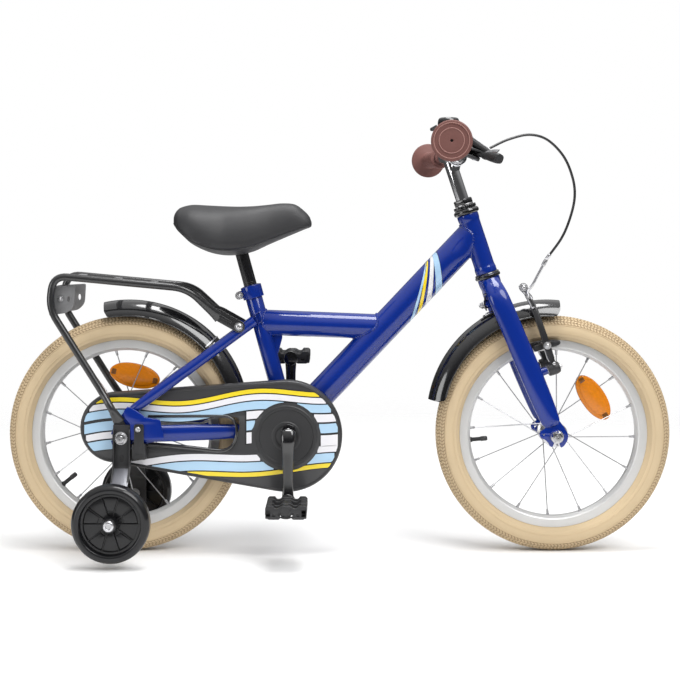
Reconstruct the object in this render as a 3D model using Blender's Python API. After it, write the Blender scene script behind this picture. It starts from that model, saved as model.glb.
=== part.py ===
import bpy
import bmesh
from math import acos, asin, atan2, ceil, cos, hypot, pi, radians, sin, sqrt, tan
from mathutils import Matrix, Vector
from mathutils.geometry import delaunay_2d_cdt

# A 16 inch kids bike. X points forward, Y to the rider's left, Z up, all sizes in metres.
# The origin lies on the ground midway between the two axles.

# Clearances
gap = 0.0003            # between pieces that touch
axle_play = 0.0003      # round a turning shaft
steer_play = 0.0006     # round the steerer

# Facets round a turned piece, by its size
wheel_steps = 28
wide_steps = 20
mid_steps = 14
shell_steps = 16
bore_steps = 12
small_steps = 8

# Wheels
wheelbase = 0.726
wheel_radius = 0.1995
tyre_width = 0.047
rim_edge_radius = 0.1595
rim_bed_radius = 0.1525
rim_inner_radius = 0.1405
rim_width = 0.0255
rim_wall = 0.0018
rim_track = 0.0130       # flat side face that the pads press on
spoke_count = 16
spoke_radius = 0.0011
spoke_lead = radians(38)  # how far a spoke's hub end lies ahead of its rim end
axle_radius = 0.00475
front_hub_radius = 0.0145
front_flange_radius = 0.0215
front_flange_spread = 0.058
rear_hub_radius = 0.0215
rear_flange_radius = 0.0300
rear_flange_spread = 0.050
hub_flange_thickness = 0.003
front_spacer_radius = 0.0078
rear_spacer_radius = 0.0080
axle_nut_height = 0.0090
coaster_thickness = 0.0024
hub_end_length = 0.007
reflector_length = 0.087
reflector_height = 0.041
valve_length = 0.030
valve_radius = 0.0036

# Chain drive
chain_pitch = 0.0127
ring_teeth = 34
cog_teeth = 18
ring_wrap_links = 18
cog_wrap_links = 8
run_links = 22
chain_sag = 0.0045
roller_radius = 0.0038
plate_height = 0.0080
plate_thickness = 0.0010
inner_width = 0.0036
sprocket_thickness = 0.0026
driver_reach = 0.0035    # how far the rear sprocket's sleeve reaches past its middle
chain_line = 0.042
bracket_drop = -0.0085   # bottom bracket above the axles

# Frame
shell_radius = 0.0275
shell_width = 0.068
cup_width = 0.004
seat_tube_radius = 0.0143
seat_tube_length = 0.2495
seat_tilt = radians(15.3)
clamp_height = 0.021
down_tube_radius = 0.0250
mid_tube_radius = 0.0215
tube_wall = 0.0016
mid_tube_height = 0.388
mid_tube_fall = 0.0085
stay_height = 0.027
stay_width = 0.014
seat_stay_radius = 0.0078
bridge_radius = 0.0055
bridge_reach = 0.0305
rear_spacing = 0.110
dropout_thickness = 0.005

# Steering
steer_tilt = radians(18.35)
fork_rake = 0.0205
crown_height = 0.2845
crown_depth = 0.0225
crown_foot = crown_height - crown_depth
crown_foot_radius = 0.0165
head_tube_length = 0.105
head_tube_radius = 0.0175
head_tube_wall = 0.0030
steerer_radius = 0.0127
quill_radius = 0.0111
lower_race_height = 0.009
upper_race_height = 0.027
front_spacing = 0.094
leg_depth = 0.036
leg_width = 0.019
brake_boss_height = 0.109
brake_boss_radius = 0.0050
brake_boss_spread = 0.082
brake_plane = 0.0530     # middle of the arms ahead of the steering line
arm_depth = 0.0096
arm_length = 0.102
pad_reach = 0.0020       # pad to rim at rest

# Seat
post_radius = 0.0111
post_insert = 0.150
post_show = 0.072
saddle_length = 0.232
saddle_width = 0.158
saddle_back = 0.1093     # rear end of the saddle behind the top of the post
saddle_rise = 0.0304     # zero line of the saddle's section above the top of the post

# Handlebar
bar_radius = 0.0111
bar_half_width = 0.262
bar_sweep = 0.031
bar_rise = 0.0097
grip_length = 0.105
grip_radius = 0.0150
flange_radius = 0.0318
bar_reach = 0.014
bar_height = 0.6690

# Brake lever and bell, with their places along the bar
lever_at = bar_half_width - grip_length - 0.021
lever_drop = radians(20)
lever_pivot_reach = 0.034
lever_pin_radius = 0.0025
lever_thickness = 0.0078
lever_nose_rise = -0.0015
bell_at = lever_at - 0.038
bell_radius = 0.0175
bell_rise = 0.0235
bell_back = 0.0155
bell_slot = (0.0065, 0.0105)   # heights of the waist in which the thumb piece turns
bell_waist_radius = 0.0060
bell_pin_radius = 0.0015
cable_radius = 0.0025

# Mudguards
guard_radius = 0.2050
guard_shift = 0.0100     # the front guard's centre behind the axle
guard_lift = 0.0220      # both guards' centres above the axle, so that they hug the tyre at the foot
guard_width = 0.057
guard_wall = 0.0016
guard_depth = 0.027
guard_steps = 13
guard_plate = 0.003      # the front mudguard's strip and the plate it ends in

# Chain case
case_face = 0.0485
case_depth = 0.0195
case_wall = 0.0018
case_front_radius = 0.0935
case_rear_radius = 0.0585
case_bevel = 0.0045
disc_radius = 0.0521
window_top = 0.0240       # window's edges above and below the bottom bracket
window_foot = 0.0345

# Cranks and pedals
crank_length = 0.112
spindle_radius = 0.0105
crank_spread = 0.140
crank_hub_radius = 0.0125
crank_face = 0.0735      # middle of the arms' eyes
crank_eye = 0.0070       # half the eyes' thickness
pedal_spindle = 0.0060
pedal_length = 0.066
pedal_width = 0.084
pedal_height = 0.022

# Rack
rack_tube = 0.0062
rack_half_width = 0.058
rack_overhang = 0.114     # rear end of the top behind the axle
rack_height = 0.269       # rear end of the top above the axle
rack_length = 0.222
rack_fall = 0.021
rack_eye_thickness = 0.003
rack_tab_inner = 0.0320  # from the middle to the flattened front ends
reflector_plate = 0.0025

# Training wheels
trainer_radius = 0.0630
trainer_width = 0.030
trainer_spread = 0.284
trainer_hub_half = 0.0215
trainer_pin_radius = 0.0048
trainer_bracket_wall = 0.0038
trainer_lift = 0.0105

front = Vector((1, 0, 0))
left = Vector((0, 1, 0))
up = Vector((0, 0, 1))

looks = {
    "blue": ((0.016, 0.035, 0.42), 0.25, 0.0),
    "black": ((0.02, 0.02, 0.022), 0.35, 0.0),
    "satin": ((0.035, 0.035, 0.037), 0.55, 0.0),
    "silver": ((0.62, 0.62, 0.64), 0.3, 1.0),
    "chrome": ((0.75, 0.75, 0.77), 0.12, 1.0),
    "tyre": ((0.73, 0.55, 0.33), 0.75, 0.0),
    "brown": ((0.16, 0.07, 0.06), 0.65, 0.0),
    "orange": ((0.9, 0.3, 0.01), 0.2, 0.0),
    "red": ((0.5, 0.01, 0.01), 0.2, 0.0),
    "case": ((0.06, 0.06, 0.062), 0.45, 0.0),
    "saddle": ((0.05, 0.05, 0.052), 0.6, 0.0),
}


# Basic tools

def clear_scene():
    for ob in list(bpy.data.objects):
        bpy.data.objects.remove(ob, do_unlink=True)


def dress(ob, look):
    colour, roughness, metallic = looks[look]
    material = bpy.data.materials.new(ob.name + "_finish")
    material.use_nodes = True
    shader = material.node_tree.nodes["Principled BSDF"]
    shader.inputs["Base Color"].default_value = (*colour, 1)
    shader.inputs["Roughness"].default_value = roughness
    shader.inputs["Metallic"].default_value = metallic
    ob.data.materials.clear()
    ob.data.materials.append(material)


def to_object(name, bm, look="black"):
    bmesh.ops.remove_doubles(bm, verts=bm.verts, dist=1e-6)
    bmesh.ops.recalc_face_normals(bm, faces=bm.faces)
    mesh = bpy.data.meshes.new(name)
    bm.to_mesh(mesh)
    bm.free()
    mesh.shade_smooth()
    mesh.set_sharp_from_angle(angle=radians(32))
    ob = bpy.data.objects.new(name, mesh)
    bpy.context.scene.collection.objects.link(ob)
    dress(ob, look)
    return ob


def as_tool(ob):
    ob.hide_render = True
    ob.display_type = "WIRE"
    return ob


def combine(ob, operation, tools):
    for tool in tools:
        step = ob.modifiers.new(operation.lower() + "_" + tool.name, "BOOLEAN")
        step.operation = operation
        step.solver = "EXACT"
        step.object = tool
        as_tool(tool)
    return ob


def cut(ob, *tools):
    return combine(ob, "DIFFERENCE", tools)


def weld(ob, *tools):
    return combine(ob, "UNION", tools)


def frame_at(at, along, side=None):
    z = Vector(along).normalized()
    if side is None:
        side = front if abs(z.x) < 0.9 else up
    x = Vector(side)
    x = (x - z * x.dot(z)).normalized()
    y = z.cross(x)
    turn = Matrix((x, y, z)).transposed().to_4x4()
    return Matrix.Translation(at) @ turn


def arc(cx, cy, radius, start, end, count):
    steps = [start + (end - start) * i / (count - 1) for i in range(count)]
    return [(cx + radius * cos(a), cy + radius * sin(a)) for a in steps]


def circle(cx, cy, radius, count, phase=0.0):
    steps = [phase + 2 * pi * i / count for i in range(count)]
    return [(cx + radius * cos(a), cy + radius * sin(a)) for a in steps]


# Turns a profile of (radius, height) pairs round the line through 'at'.
def turned_mesh(profile, at=(0, 0, 0), along=up, steps=mid_steps, sweep=2 * pi, side=None):
    bm = bmesh.new()
    verts = [bm.verts.new((r, 0, h)) for r, h in profile]
    edges = [bm.edges.new(pair) for pair in zip(verts, verts[1:])]
    ring = profile[0][0] > 0
    if ring:
        edges.append(bm.edges.new((verts[-1], verts[0])))
    whole = sweep > 2 * pi - 0.001
    bmesh.ops.spin(bm, geom=verts + edges, axis=(0, 0, 1), cent=(0, 0, 0), angle=sweep,
                   steps=steps, use_merge=whole)
    if not whole:
        bmesh.ops.remove_doubles(bm, verts=bm.verts, dist=1e-6)
        bmesh.ops.holes_fill(bm, edges=[e for e in bm.edges if e.is_boundary], sides=0)
    bmesh.ops.remove_doubles(bm, verts=bm.verts, dist=1e-6)
    bm.transform(frame_at(at, along, side))
    return bm


def turned(name, profile, at=(0, 0, 0), along=up, look="black", steps=mid_steps):
    return to_object(name, turned_mesh(profile, at, along, steps), look)


def rod_mesh(a, b, radius, steps=small_steps):
    a, b = Vector(a), Vector(b)
    length = (b - a).length
    return turned_mesh([(0, 0), (radius, 0), (radius, length), (0, length)], a, b - a, steps)


def rod(name, a, b, radius, look="black", steps=small_steps):
    return to_object(name, rod_mesh(a, b, radius, steps), look)


def pipe(name, a, b, radius, wall, look="black", steps=mid_steps):
    a, b = Vector(a), Vector(b)
    length = (b - a).length
    inside = radius - wall
    profile = [(radius, 0), (radius, length), (inside, length), (inside, 0)]
    return to_object(name, turned_mesh(profile, a, b - a, steps), look)


# Whether a point lies in the material, by counting the edges to its right.
def is_solid(point, places, sides):
    crossings = 0
    for i, j in sides:
        a, b = places[i], places[j]
        if (a.y > point.y) != (b.y > point.y):
            crossings += a.x + (point.y - a.y) / (b.y - a.y) * (b.x - a.x) > point.x
    return crossings % 2 == 1


# A flat piece: an outline and its holes, from 'low' to 'high' along the frame's own z.
def plate_mesh(outline, low, high, frame, holes=()):
    points, sides = [], []
    for loop in (outline, *holes):
        first, count = len(points), len(loop)
        points += [Vector(p) for p in loop]
        sides += [(first + i, first + (i + 1) % count) for i in range(count)]
    places, _, triangles, *_ = delaunay_2d_cdt(points, sides, [], 1, 1e-7)
    bm = bmesh.new()
    verts = [bm.verts.new((p.x, p.y, low)) for p in places]
    faces = []
    for triangle in triangles:
        middle = sum((places[i] for i in triangle), Vector((0, 0))) / 3
        if is_solid(middle, points, sides):
            faces.append(bm.faces.new([verts[i] for i in triangle]))
    lifted = bmesh.ops.extrude_face_region(bm, geom=faces)
    top = [g for g in lifted["geom"] if isinstance(g, bmesh.types.BMVert)]
    bmesh.ops.translate(bm, verts=top, vec=(0, 0, high - low))
    bm.transform(frame)
    return bm


def plate(name, outline, low, high, frame, look="black", holes=()):
    return to_object(name, plate_mesh(outline, low, high, frame, holes), look)


# A flat piece that stands along the bike, from one Y to another, with its outline in X and Z.
def side_plate(name, outline, y_from, y_to, look="black", holes=()):
    frame = frame_at((0, 0, 0), -left, front)
    return plate(name, outline, -y_from, -y_to, frame, look, holes)


# Skins a row of rings of equal count and closes both ends.
def loft_mesh(rings):
    bm = bmesh.new()
    rows = [[bm.verts.new(p) for p in ring] for ring in rings]
    for low, high in zip(rows, rows[1:]):
        for i in range(len(low)):
            j = (i + 1) % len(low)
            bm.faces.new((low[i], low[j], high[j], high[i]))
    bm.faces.new(rows[0])
    bm.faces.new(rows[-1])
    return bm


def loft(name, rings, look="black"):
    return to_object(name, loft_mesh(rings), look)


# A rounded cross-section: half sizes a along u and b along v, more square as 'power' grows.
def oval(centre, u, v, a, b, count=16, power=2.0):
    ring = []
    for i in range(count):
        t = 2 * pi * (i + 0.5) / count
        c, s = cos(t), sin(t)
        x = a * abs(c) ** (2 / power) * (1 if c > 0 else -1)
        y = b * abs(s) ** (2 / power) * (1 if s > 0 else -1)
        ring.append(Vector(centre) + Vector(u) * x + Vector(v) * y)
    return ring


# Points of a bent tube: straight runs joined by arcs of one bend radius.
def bent_path(points, bend, steps=5):
    points = [Vector(p) for p in points]
    path = [points[0]]
    for before, here, after in zip(points, points[1:], points[2:]):
        into, out = (here - before).normalized(), (after - here).normalized()
        turn = into.angle(out)
        if turn < 0.02:
            path.append(here)
            continue
        setback = bend * tan(turn / 2)
        normal = (out - into * out.dot(into)).normalized()
        start = here - into * setback
        for i in range(steps + 1):
            a = turn * i / steps
            path.append(start + into * (bend * sin(a)) + normal * (bend * (1 - cos(a))))
    path.append(points[-1])
    return path


def route(name, points, radius, roundness=2, look="black"):
    curve = bpy.data.curves.new(name, "CURVE")
    curve.dimensions = "3D"
    curve.bevel_depth = radius
    curve.bevel_resolution = roundness
    curve.use_fill_caps = True
    spline = curve.splines.new("POLY")
    spline.points.add(len(points) - 1)
    for point, place in zip(spline.points, points):
        point.co = (*place, 1)
    ob = bpy.data.objects.new(name, curve)
    bpy.context.scene.collection.objects.link(ob)
    dress(ob, look)
    return ob


# The same tube as a mesh, for pieces that are cut or welded afterwards.
def tube(name, points, radius, roundness=2, look="black"):
    guide = route(name + "_route", points, radius, roundness, look)
    view = bpy.context.evaluated_depsgraph_get()
    bm = bmesh.new()
    bm.from_mesh(bpy.data.meshes.new_from_object(guide.evaluated_get(view)))
    bpy.data.objects.remove(guide, do_unlink=True)
    return to_object(name, bm, look)


def block_mesh(centre, size, frame=None):
    bm = bmesh.new()
    bmesh.ops.create_cube(bm, size=1)
    bm.transform(Matrix.Diagonal((*size, 1)))
    bm.transform(frame @ Matrix.Translation(centre) if frame else Matrix.Translation(centre))
    return bm


def block(name, centre, size, look="black", frame=None):
    return to_object(name, block_mesh(centre, size, frame), look)


def merged(name, meshes, look="black"):
    bm = bmesh.new()
    for part in meshes:
        mesh = bpy.data.meshes.new("scrap")
        part.to_mesh(mesh)
        part.free()
        bm.from_mesh(mesh)
        bpy.data.meshes.remove(mesh)
    return to_object(name, bm, look)


def joint_empty(name, at, along=up):
    empty = bpy.data.objects.new(name, None)
    empty.matrix_world = frame_at(at, along)
    empty.empty_display_size = 0.03
    bpy.context.scene.collection.objects.link(empty)
    return empty


def carry(empty, *obs):
    for ob in obs:
        ob.parent = empty
        ob.matrix_parent_inverse = empty.matrix_world.inverted()


def both_sides():
    return (("right", -1), ("left", 1))


# Places that follow from the sizes above

rear_axle = Vector((-wheelbase / 2, 0, wheel_radius))
front_axle = Vector((wheelbase / 2, 0, wheel_radius))
ring_radius = chain_pitch / (2 * sin(pi / ring_teeth))
cog_radius = chain_pitch / (2 * sin(pi / cog_teeth))
ring_end_angle = pi * ring_wrap_links / ring_teeth
cog_end_angle = pi - pi * cog_wrap_links / cog_teeth
sag_turn = 8 * chain_sag / (run_links ** 2 * chain_pitch)
run_chord = chain_pitch * sin(run_links * sag_turn / 2) / sin(sag_turn / 2)
run_climb = ring_radius * sin(ring_end_angle) - cog_radius * sin(cog_end_angle)
drive_centres = (sqrt(run_chord ** 2 - run_climb ** 2)
                 - ring_radius * cos(ring_end_angle) + cog_radius * cos(cog_end_angle))
bracket = rear_axle + Vector((sqrt(drive_centres ** 2 - bracket_drop ** 2), 0, -bracket_drop))
drive_front = (bracket - rear_axle).normalized()
drive_up = drive_front.cross(left)

seat_up = Vector((-sin(seat_tilt), 0, cos(seat_tilt)))
seat_top = bracket + seat_up * seat_tube_length
steer_up = Vector((-sin(steer_tilt), 0, cos(steer_tilt)))
steer_ahead = Vector((cos(steer_tilt), 0, sin(steer_tilt)))
steer_foot = front_axle - steer_ahead * fork_rake


def on_steer(height, ahead=0.0, side=0.0):
    return steer_foot + steer_up * height + steer_ahead * ahead + left * side


head_low = crown_height + lower_race_height + 2 * gap
head_high = head_low + head_tube_length
down_tube_end = on_steer(head_low + 0.68 * head_tube_length)
down_tube_way = (down_tube_end - bracket).normalized()
mid_start = bracket + seat_up * ((mid_tube_height - bracket.z) / seat_up.z)
mid_end_z = mid_tube_height - mid_tube_fall
mid_end = bracket + down_tube_way * ((mid_end_z - bracket.z) / down_tube_way.z)
dropout_inner = rear_spacing / 2
fork_inner = front_spacing / 2


# Frame tubes

def make_head_tube():
    flare = 0.0010
    band = 0.009
    outer, inside = head_tube_radius, head_tube_radius - head_tube_wall
    length = head_tube_length
    profile = [(outer + flare, 0), (outer + flare, band), (outer, band + 0.004),
               (outer, length - band - 0.004), (outer + flare, length - band),
               (outer + flare, length), (inside, length), (inside, 0)]
    return turned("head_tube", profile, on_steer(head_low), steer_up, "blue")


def head_tube_tool():
    a, b = on_steer(head_low - 0.03), on_steer(head_high + 0.03)
    return rod("tool_head_tube", a, b, head_tube_radius + gap, steps=mid_steps)


def seat_tube_tool():
    a, b = bracket - seat_up * 0.01, seat_top + seat_up * 0.03
    return rod("tool_seat_tube", a, b, seat_tube_radius + gap, steps=mid_steps)


def shell_tool():
    reach = shell_width / 2 + 0.03
    a, b = bracket - left * reach, bracket + left * reach
    return rod("tool_shell", a, b, shell_radius + gap, steps=shell_steps)


def make_seat_tube():
    bore = post_radius + gap
    tube_part = pipe("seat_tube", bracket + seat_up * 0.018, seat_top, seat_tube_radius,
                     seat_tube_radius - bore, "blue")
    half = shell_width / 2
    cup = half + cup_width
    hole = spindle_radius + axle_play
    rim = shell_radius - 0.004
    profile = [(shell_radius, -half), (shell_radius, half), (rim, cup), (hole, cup), (hole, -cup), (rim, -cup)]
    shell = turned("tool_bracket_shell", profile, bracket, left, "blue", shell_steps)
    return weld(tube_part, shell)


def make_down_tube(tools):
    start = bracket + down_tube_way * 0.010
    ob = pipe("down_tube", start, down_tube_end, down_tube_radius, tube_wall, "blue")
    return cut(ob, *tools)


def make_mid_tube(tools):
    ob = pipe("mid_tube", mid_start, mid_end, mid_tube_radius, tube_wall, "blue")
    return cut(ob, *tools)


def down_tube_tool():
    return rod("tool_down_tube", bracket, down_tube_end, down_tube_radius + gap, steps=mid_steps)


# Chain stay: leaves the shell, runs inside the chain and comes out beside the dropout.
def stay_places(side):
    z = bracket.z - 0.002
    out = dropout_inner + stay_width / 2
    places = [(bracket.x - 0.010, 0.0235, z, 0.76), (bracket.x - 0.040, 0.0270, z, 0.80),
              (bracket.x - 0.082, 0.0310, z, 0.86), (bracket.x - 0.150, 0.0440, z, 1.0),
              (rear_axle.x + 0.046, out, z, 1.0), (rear_axle.x + 0.030, out, z, 0.86)]
    return [(Vector((x, side * y, h)), size) for x, y, h, size in places]


def make_chain_stay(name, side, shell):
    rings = []
    for place, size in stay_places(side):
        rings.append(oval(place, left, up, stay_width / 2, stay_height / 2 * size, 10, 2.6))
    stay = loft("chain_stay_" + name, rings, "blue")
    ax, az = rear_axle.x, rear_axle.z
    slot = axle_radius + axle_play
    top = Vector(seat_stay_foot(side))
    way = seat_stay_way(side)
    across = Vector((way.z, 0, -way.x)) * (seat_stay_radius + 0.0025)
    corner_a, corner_b = top - across, top + across
    outline = [(ax + 0.062, az - 0.006), (ax + 0.030, az - 0.012), (ax + 0.008, az - 0.019)]
    outline += [(ax - 0.014, az - 0.017), (ax - 0.018, az - slot), (ax, az - slot)]
    outline += arc(ax, az, slot, -pi / 2, pi / 2, 7)[1:]
    outline += [(ax - 0.018, az + slot), (ax - 0.014, az + 0.016)]
    outline += [(corner_a.x, corner_a.z), (corner_b.x, corner_b.z), (ax + 0.062, az + 0.018)]
    inner, outer = side * dropout_inner, side * (dropout_inner + dropout_thickness)
    dropout = side_plate("tool_dropout_" + name, outline, inner, outer, "blue")
    weld(stay, dropout)
    return cut(stay, shell)


def seat_stay_foot(side):
    return (rear_axle.x + 0.016, side * (dropout_inner + dropout_thickness / 2), rear_axle.z + 0.044)


def seat_stay_places(side):
    foot = Vector(seat_stay_foot(side))
    head = mid_start + Vector((-0.010, side * 0.017, 0.003))
    low_bend = foot.lerp(head, 0.32)
    low_bend.y = foot.y
    high_bend = foot.lerp(head, 0.83)
    high_bend.y = side * 0.0265
    return [foot, low_bend, high_bend, head]


def seat_stay_way(side):
    a, b = seat_stay_places(side)[:2]
    way = b - a
    way.y = 0
    return way.normalized()


# Centre of the small bridge that carries the rear mudguard between the seat stays.
def bridge_place():
    a, b = seat_stay_places(1)[0], seat_stay_places(1)[3]
    centre = rear_guard_centre()
    reach = guard_radius + gap + bridge_radius
    low, high = 0.0, 1.0
    for _ in range(40):
        half = (low + high) / 2
        place = a.lerp(b, half)
        if hypot(place.x - centre.x, place.z - centre.z) < reach:
            low = half
        else:
            high = half
    return Vector((place.x, 0, place.z))


def make_seat_stay(name, side, seat_tool, bridge):
    places = seat_stay_places(side)
    way = seat_stay_way(side)
    path = bent_path(places, 0.05, 3)
    stay = tube("seat_stay_" + name, path, seat_stay_radius, 2, "blue")
    foot = Vector(seat_stay_foot(side)) + way * gap
    trim = block("tool_trim_" + name, (0, 0, -0.02), (0.08, 0.08, 0.04), "blue",
                 frame_at(foot, way, left))
    bolt = rack_bolt_place()
    boss = rod("tool_rack_boss_" + name, bolt + left * side * 0.017,
               bolt + left * side * rack_tab_inner, 0.0078, "blue")
    weld(stay, boss)
    if bridge:
        middle = bridge_place()
        reach = left * bridge_reach
        weld(stay, rod("tool_bridge", middle + reach * side, middle - reach * side, bridge_radius,
                       "blue"))
        other = [Vector((p.x, -p.y, p.z)) for p in path]
        cut(stay, tube("tool_other_stay", other, seat_stay_radius + gap, 2))
    return cut(stay, trim, seat_tool)


def make_seat_clamp():
    inside = seat_tube_radius + gap
    outside = inside + 0.0032
    height = clamp_height
    at = seat_top - seat_up * (height - 0.001)
    hole = post_radius + gap + 0.0002
    profile = [(inside, 0), (outside, 0), (outside, height), (hole, height + 0.0018),
               (hole, height - 0.001 + gap), (inside, height - 0.001 + gap)]
    ring = turned("seat_clamp", profile, at, seat_up, "blue")
    frame = frame_at(at + seat_up * height / 2, seat_up, left)
    ears = block("tool_clamp_ears", (0, outside + 0.004, 0), (0.018, 0.013, 0.013), "blue", frame)
    bolt_at = frame @ Vector((0, outside + 0.005, 0))
    bolt = rod("tool_clamp_bolt", bolt_at - left * 0.016, bolt_at + left * 0.016, 0.0035, steps=8)
    slit = block("tool_clamp_slit", (0, outside + 0.001, 0), (0.002, 0.024, 0.03), "blue", frame)
    weld(ring, ears)
    cut(ring, slit)
    weld(ring, bolt)
    return ring


# Headset

def make_headset():
    r, play = head_tube_radius, steerer_radius + steer_play
    wide = r + 0.0045
    h = lower_race_height
    low = [(play, 0), (wide - 0.002, 0), (wide, 0.002), (wide, h - 0.002), (wide - 0.002, h), (play, h)]
    lower = turned("headset_lower", low, on_steer(crown_height + gap), steer_up)
    nut = r - 0.001
    high = [(play, 0), (wide - 0.001, 0), (wide, 0.007), (wide - 0.003, 0.010), (nut, 0.011),
            (nut, upper_race_height - 0.001), (nut - 0.001, upper_race_height), (play, upper_race_height)]
    upper = turned("headset_upper", high, on_steer(head_high + gap), steer_up)
    return lower, upper


# Fork: steerer with its crown, and one blade on each side

def make_fork_crown():
    top = head_high + upper_race_height - 0.004
    bottom = crown_foot
    bore = quill_radius + gap
    base = crown_height
    profile = [(bore, bottom), (crown_foot_radius, bottom), (0.0190, base - 0.010), (0.0190, base),
               (steerer_radius, base), (steerer_radius, top), (bore, top)]
    crown = turned("fork_crown", profile, on_steer(0), steer_up, "blue")
    return crown


def leg_places():
    # height, out from the middle, then the shares of the full depth and width
    rake = fork_rake / crown_height
    top = crown_height
    rows = [(top - 0.0055, 0.0175, 0.80, 0.80), (top - 0.0205, 0.0310, 0.90, 0.95),
            (top - 0.0405, 0.0392, 0.97, 1.0),
            (0.1900, 0.0435, 1.0, 1.0), (0.1000, 0.0472, 1.03, 1.0), (0.0340, 0.0490, 0.90, 0.80),
            (0.0200, 0.0492, 0.66, 0.56)]
    return [(h, rake * (crown_height - h), y, leg_depth / 2 * d, leg_width / 2 * w)
            for h, y, d, w in rows]


def make_fork_leg(name, side, crown_tool):
    rows = leg_places()
    rings = []
    for i, (h, ahead, out, a, b) in enumerate(rows):
        before, after = rows[max(i - 1, 0)], rows[min(i + 1, len(rows) - 1)]
        run = on_steer(after[0], after[1], side * after[2]) - on_steer(before[0], before[1], side * before[2])
        across = run.cross(steer_ahead).normalized()
        rings.append(oval(on_steer(h, ahead, side * out), steer_ahead, across, a, b, 10, 2.3))
    leg = loft("fork_leg_" + name, rings, "blue")
    inner, outer = side * fork_inner, side * (fork_inner + dropout_thickness)
    ax, az = front_axle.x, front_axle.z
    slot = axle_radius + axle_play
    down = atan2(-steer_up.z, -steer_up.x)
    half = asin(slot / 0.0165)
    outline = arc(ax, az, 0.0165, down + half, down + 2 * pi - half, 14)
    outline += arc(ax, az, slot, down + 2 * pi - pi / 2, down + pi / 2, 7)
    dropout = side_plate("tool_fork_end_" + name, outline, inner, outer, "blue")
    low = rows[-2]
    neck_at = on_steer(low[0] - 0.010, low[1], side * (fork_inner + dropout_thickness / 2))
    neck = block("tool_fork_neck_" + name, (0, 0, 0), (0.036, 0.024, dropout_thickness), "blue",
                 frame_at(neck_at, left, steer_up))
    y = side * brake_boss_spread / 2
    ahead = rows[4][1]
    boss = rod("tool_brake_boss_" + name, on_steer(brake_boss_height, ahead, y),
               on_steer(brake_boss_height, brake_plane + 0.009, y), brake_boss_radius, "silver")
    seat = rod("tool_boss_seat_" + name, on_steer(brake_boss_height, ahead, y),
               on_steer(brake_boss_height, brake_plane - arm_depth / 2 - gap, y), 0.0075, "blue")
    weld(leg, dropout, neck, seat, boss)
    return cut(leg, crown_tool)


# Wheels

# Tyre section: the bead sits in the rim, the casing is a full round above it.
def make_tyre(name, centre):
    half = tyre_width / 2
    bed, edge = rim_bed_radius + gap, rim_edge_radius + gap
    lip = rim_width / 2 - rim_wall - gap
    foot = rim_width / 2 - gap
    middle = wheel_radius - half
    profile = [(bed, -lip), (edge, -foot)]
    for a in (-105, -68, -25, 25, 68, 105):
        b = radians(a)
        profile.append((middle + half * cos(b) / cos(radians(25)), half * sin(b) / sin(radians(68))))
    profile += [(edge, foot), (bed, lip)]
    return turned(name, profile, centre, left, "tyre", wheel_steps)


def make_rim(name, centre):
    half = rim_width / 2
    inside = half - rim_wall
    profile = [(rim_inner_radius, -half * 0.67), (rim_edge_radius - rim_track, -half), (rim_edge_radius, -half),
               (rim_bed_radius, -inside), (rim_bed_radius, inside), (rim_edge_radius, half),
               (rim_edge_radius - rim_track, half), (rim_inner_radius, half * 0.67)]
    return turned(name, profile, centre, left, "silver", wheel_steps)


def rim_reach():
    # to the flats of the faceted rim
    return rim_inner_radius * cos(pi / wheel_steps) - gap


# A spoke runs from the flange to its nipple. Every second one lies on the other flange.
def spoke_ends(centre, index, phase, flange_radius, spread):
    side = -1 if index % 2 else 1
    rim_angle = phase + 2 * pi * index / spoke_count
    swing = spoke_lead if (index // 2) % 2 else -spoke_lead
    hub_angle = rim_angle + swing
    hole = flange_radius - 0.0035
    face = hub_flange_thickness / 2 * (1 if (index // 2) % 2 else -1)
    start = centre + Vector((hole * cos(hub_angle), side * spread / 2 + face, hole * sin(hub_angle)))
    reach = rim_reach()
    end = centre + Vector((reach * cos(rim_angle), side * 0.0035, reach * sin(rim_angle)))
    return start, end


def spoke_mesh(start, end):
    way = (end - start).normalized()
    return rod_mesh(start - way * 0.0012, end, spoke_radius, 4)


def make_hub(name, centre, radius, flange_radius, spread, phase):
    half = spread / 2
    t = hub_flange_thickness / 2
    bore = axle_radius + axle_play
    end = half + hub_end_length
    neck = radius * 0.62
    slope = 0.004
    right_half = [(radius, half - t - slope), (flange_radius, half - t), (flange_radius, half + t),
                  (neck, half + t), (neck, end), (bore, end)]
    profile = [(p[0], -p[1]) for p in reversed(right_half)] + right_half
    hub = turned(name, profile, centre, left, "silver", 14)
    ends = [spoke_ends(centre, i, phase, flange_radius, spread) for i in range(spoke_count)]
    for group in range(4):
        rows = [spoke_mesh(*ends[i]) for i in range(group, spoke_count, 4)]
        weld(hub, merged("tool_" + name + "_spokes_%d" % group, rows, "silver"))
    return hub


def make_valve(name, centre, angle):
    way = Vector((cos(angle), 0, sin(angle)))
    reach = rim_reach()
    profile = [(0, 0), (valve_radius, 0), (valve_radius, 0.016), (valve_radius * 0.82, 0.018),
               (valve_radius * 0.82, valve_length), (0, valve_length)]
    return turned(name, profile, centre + way * reach, -way, "black", 8)


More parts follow.
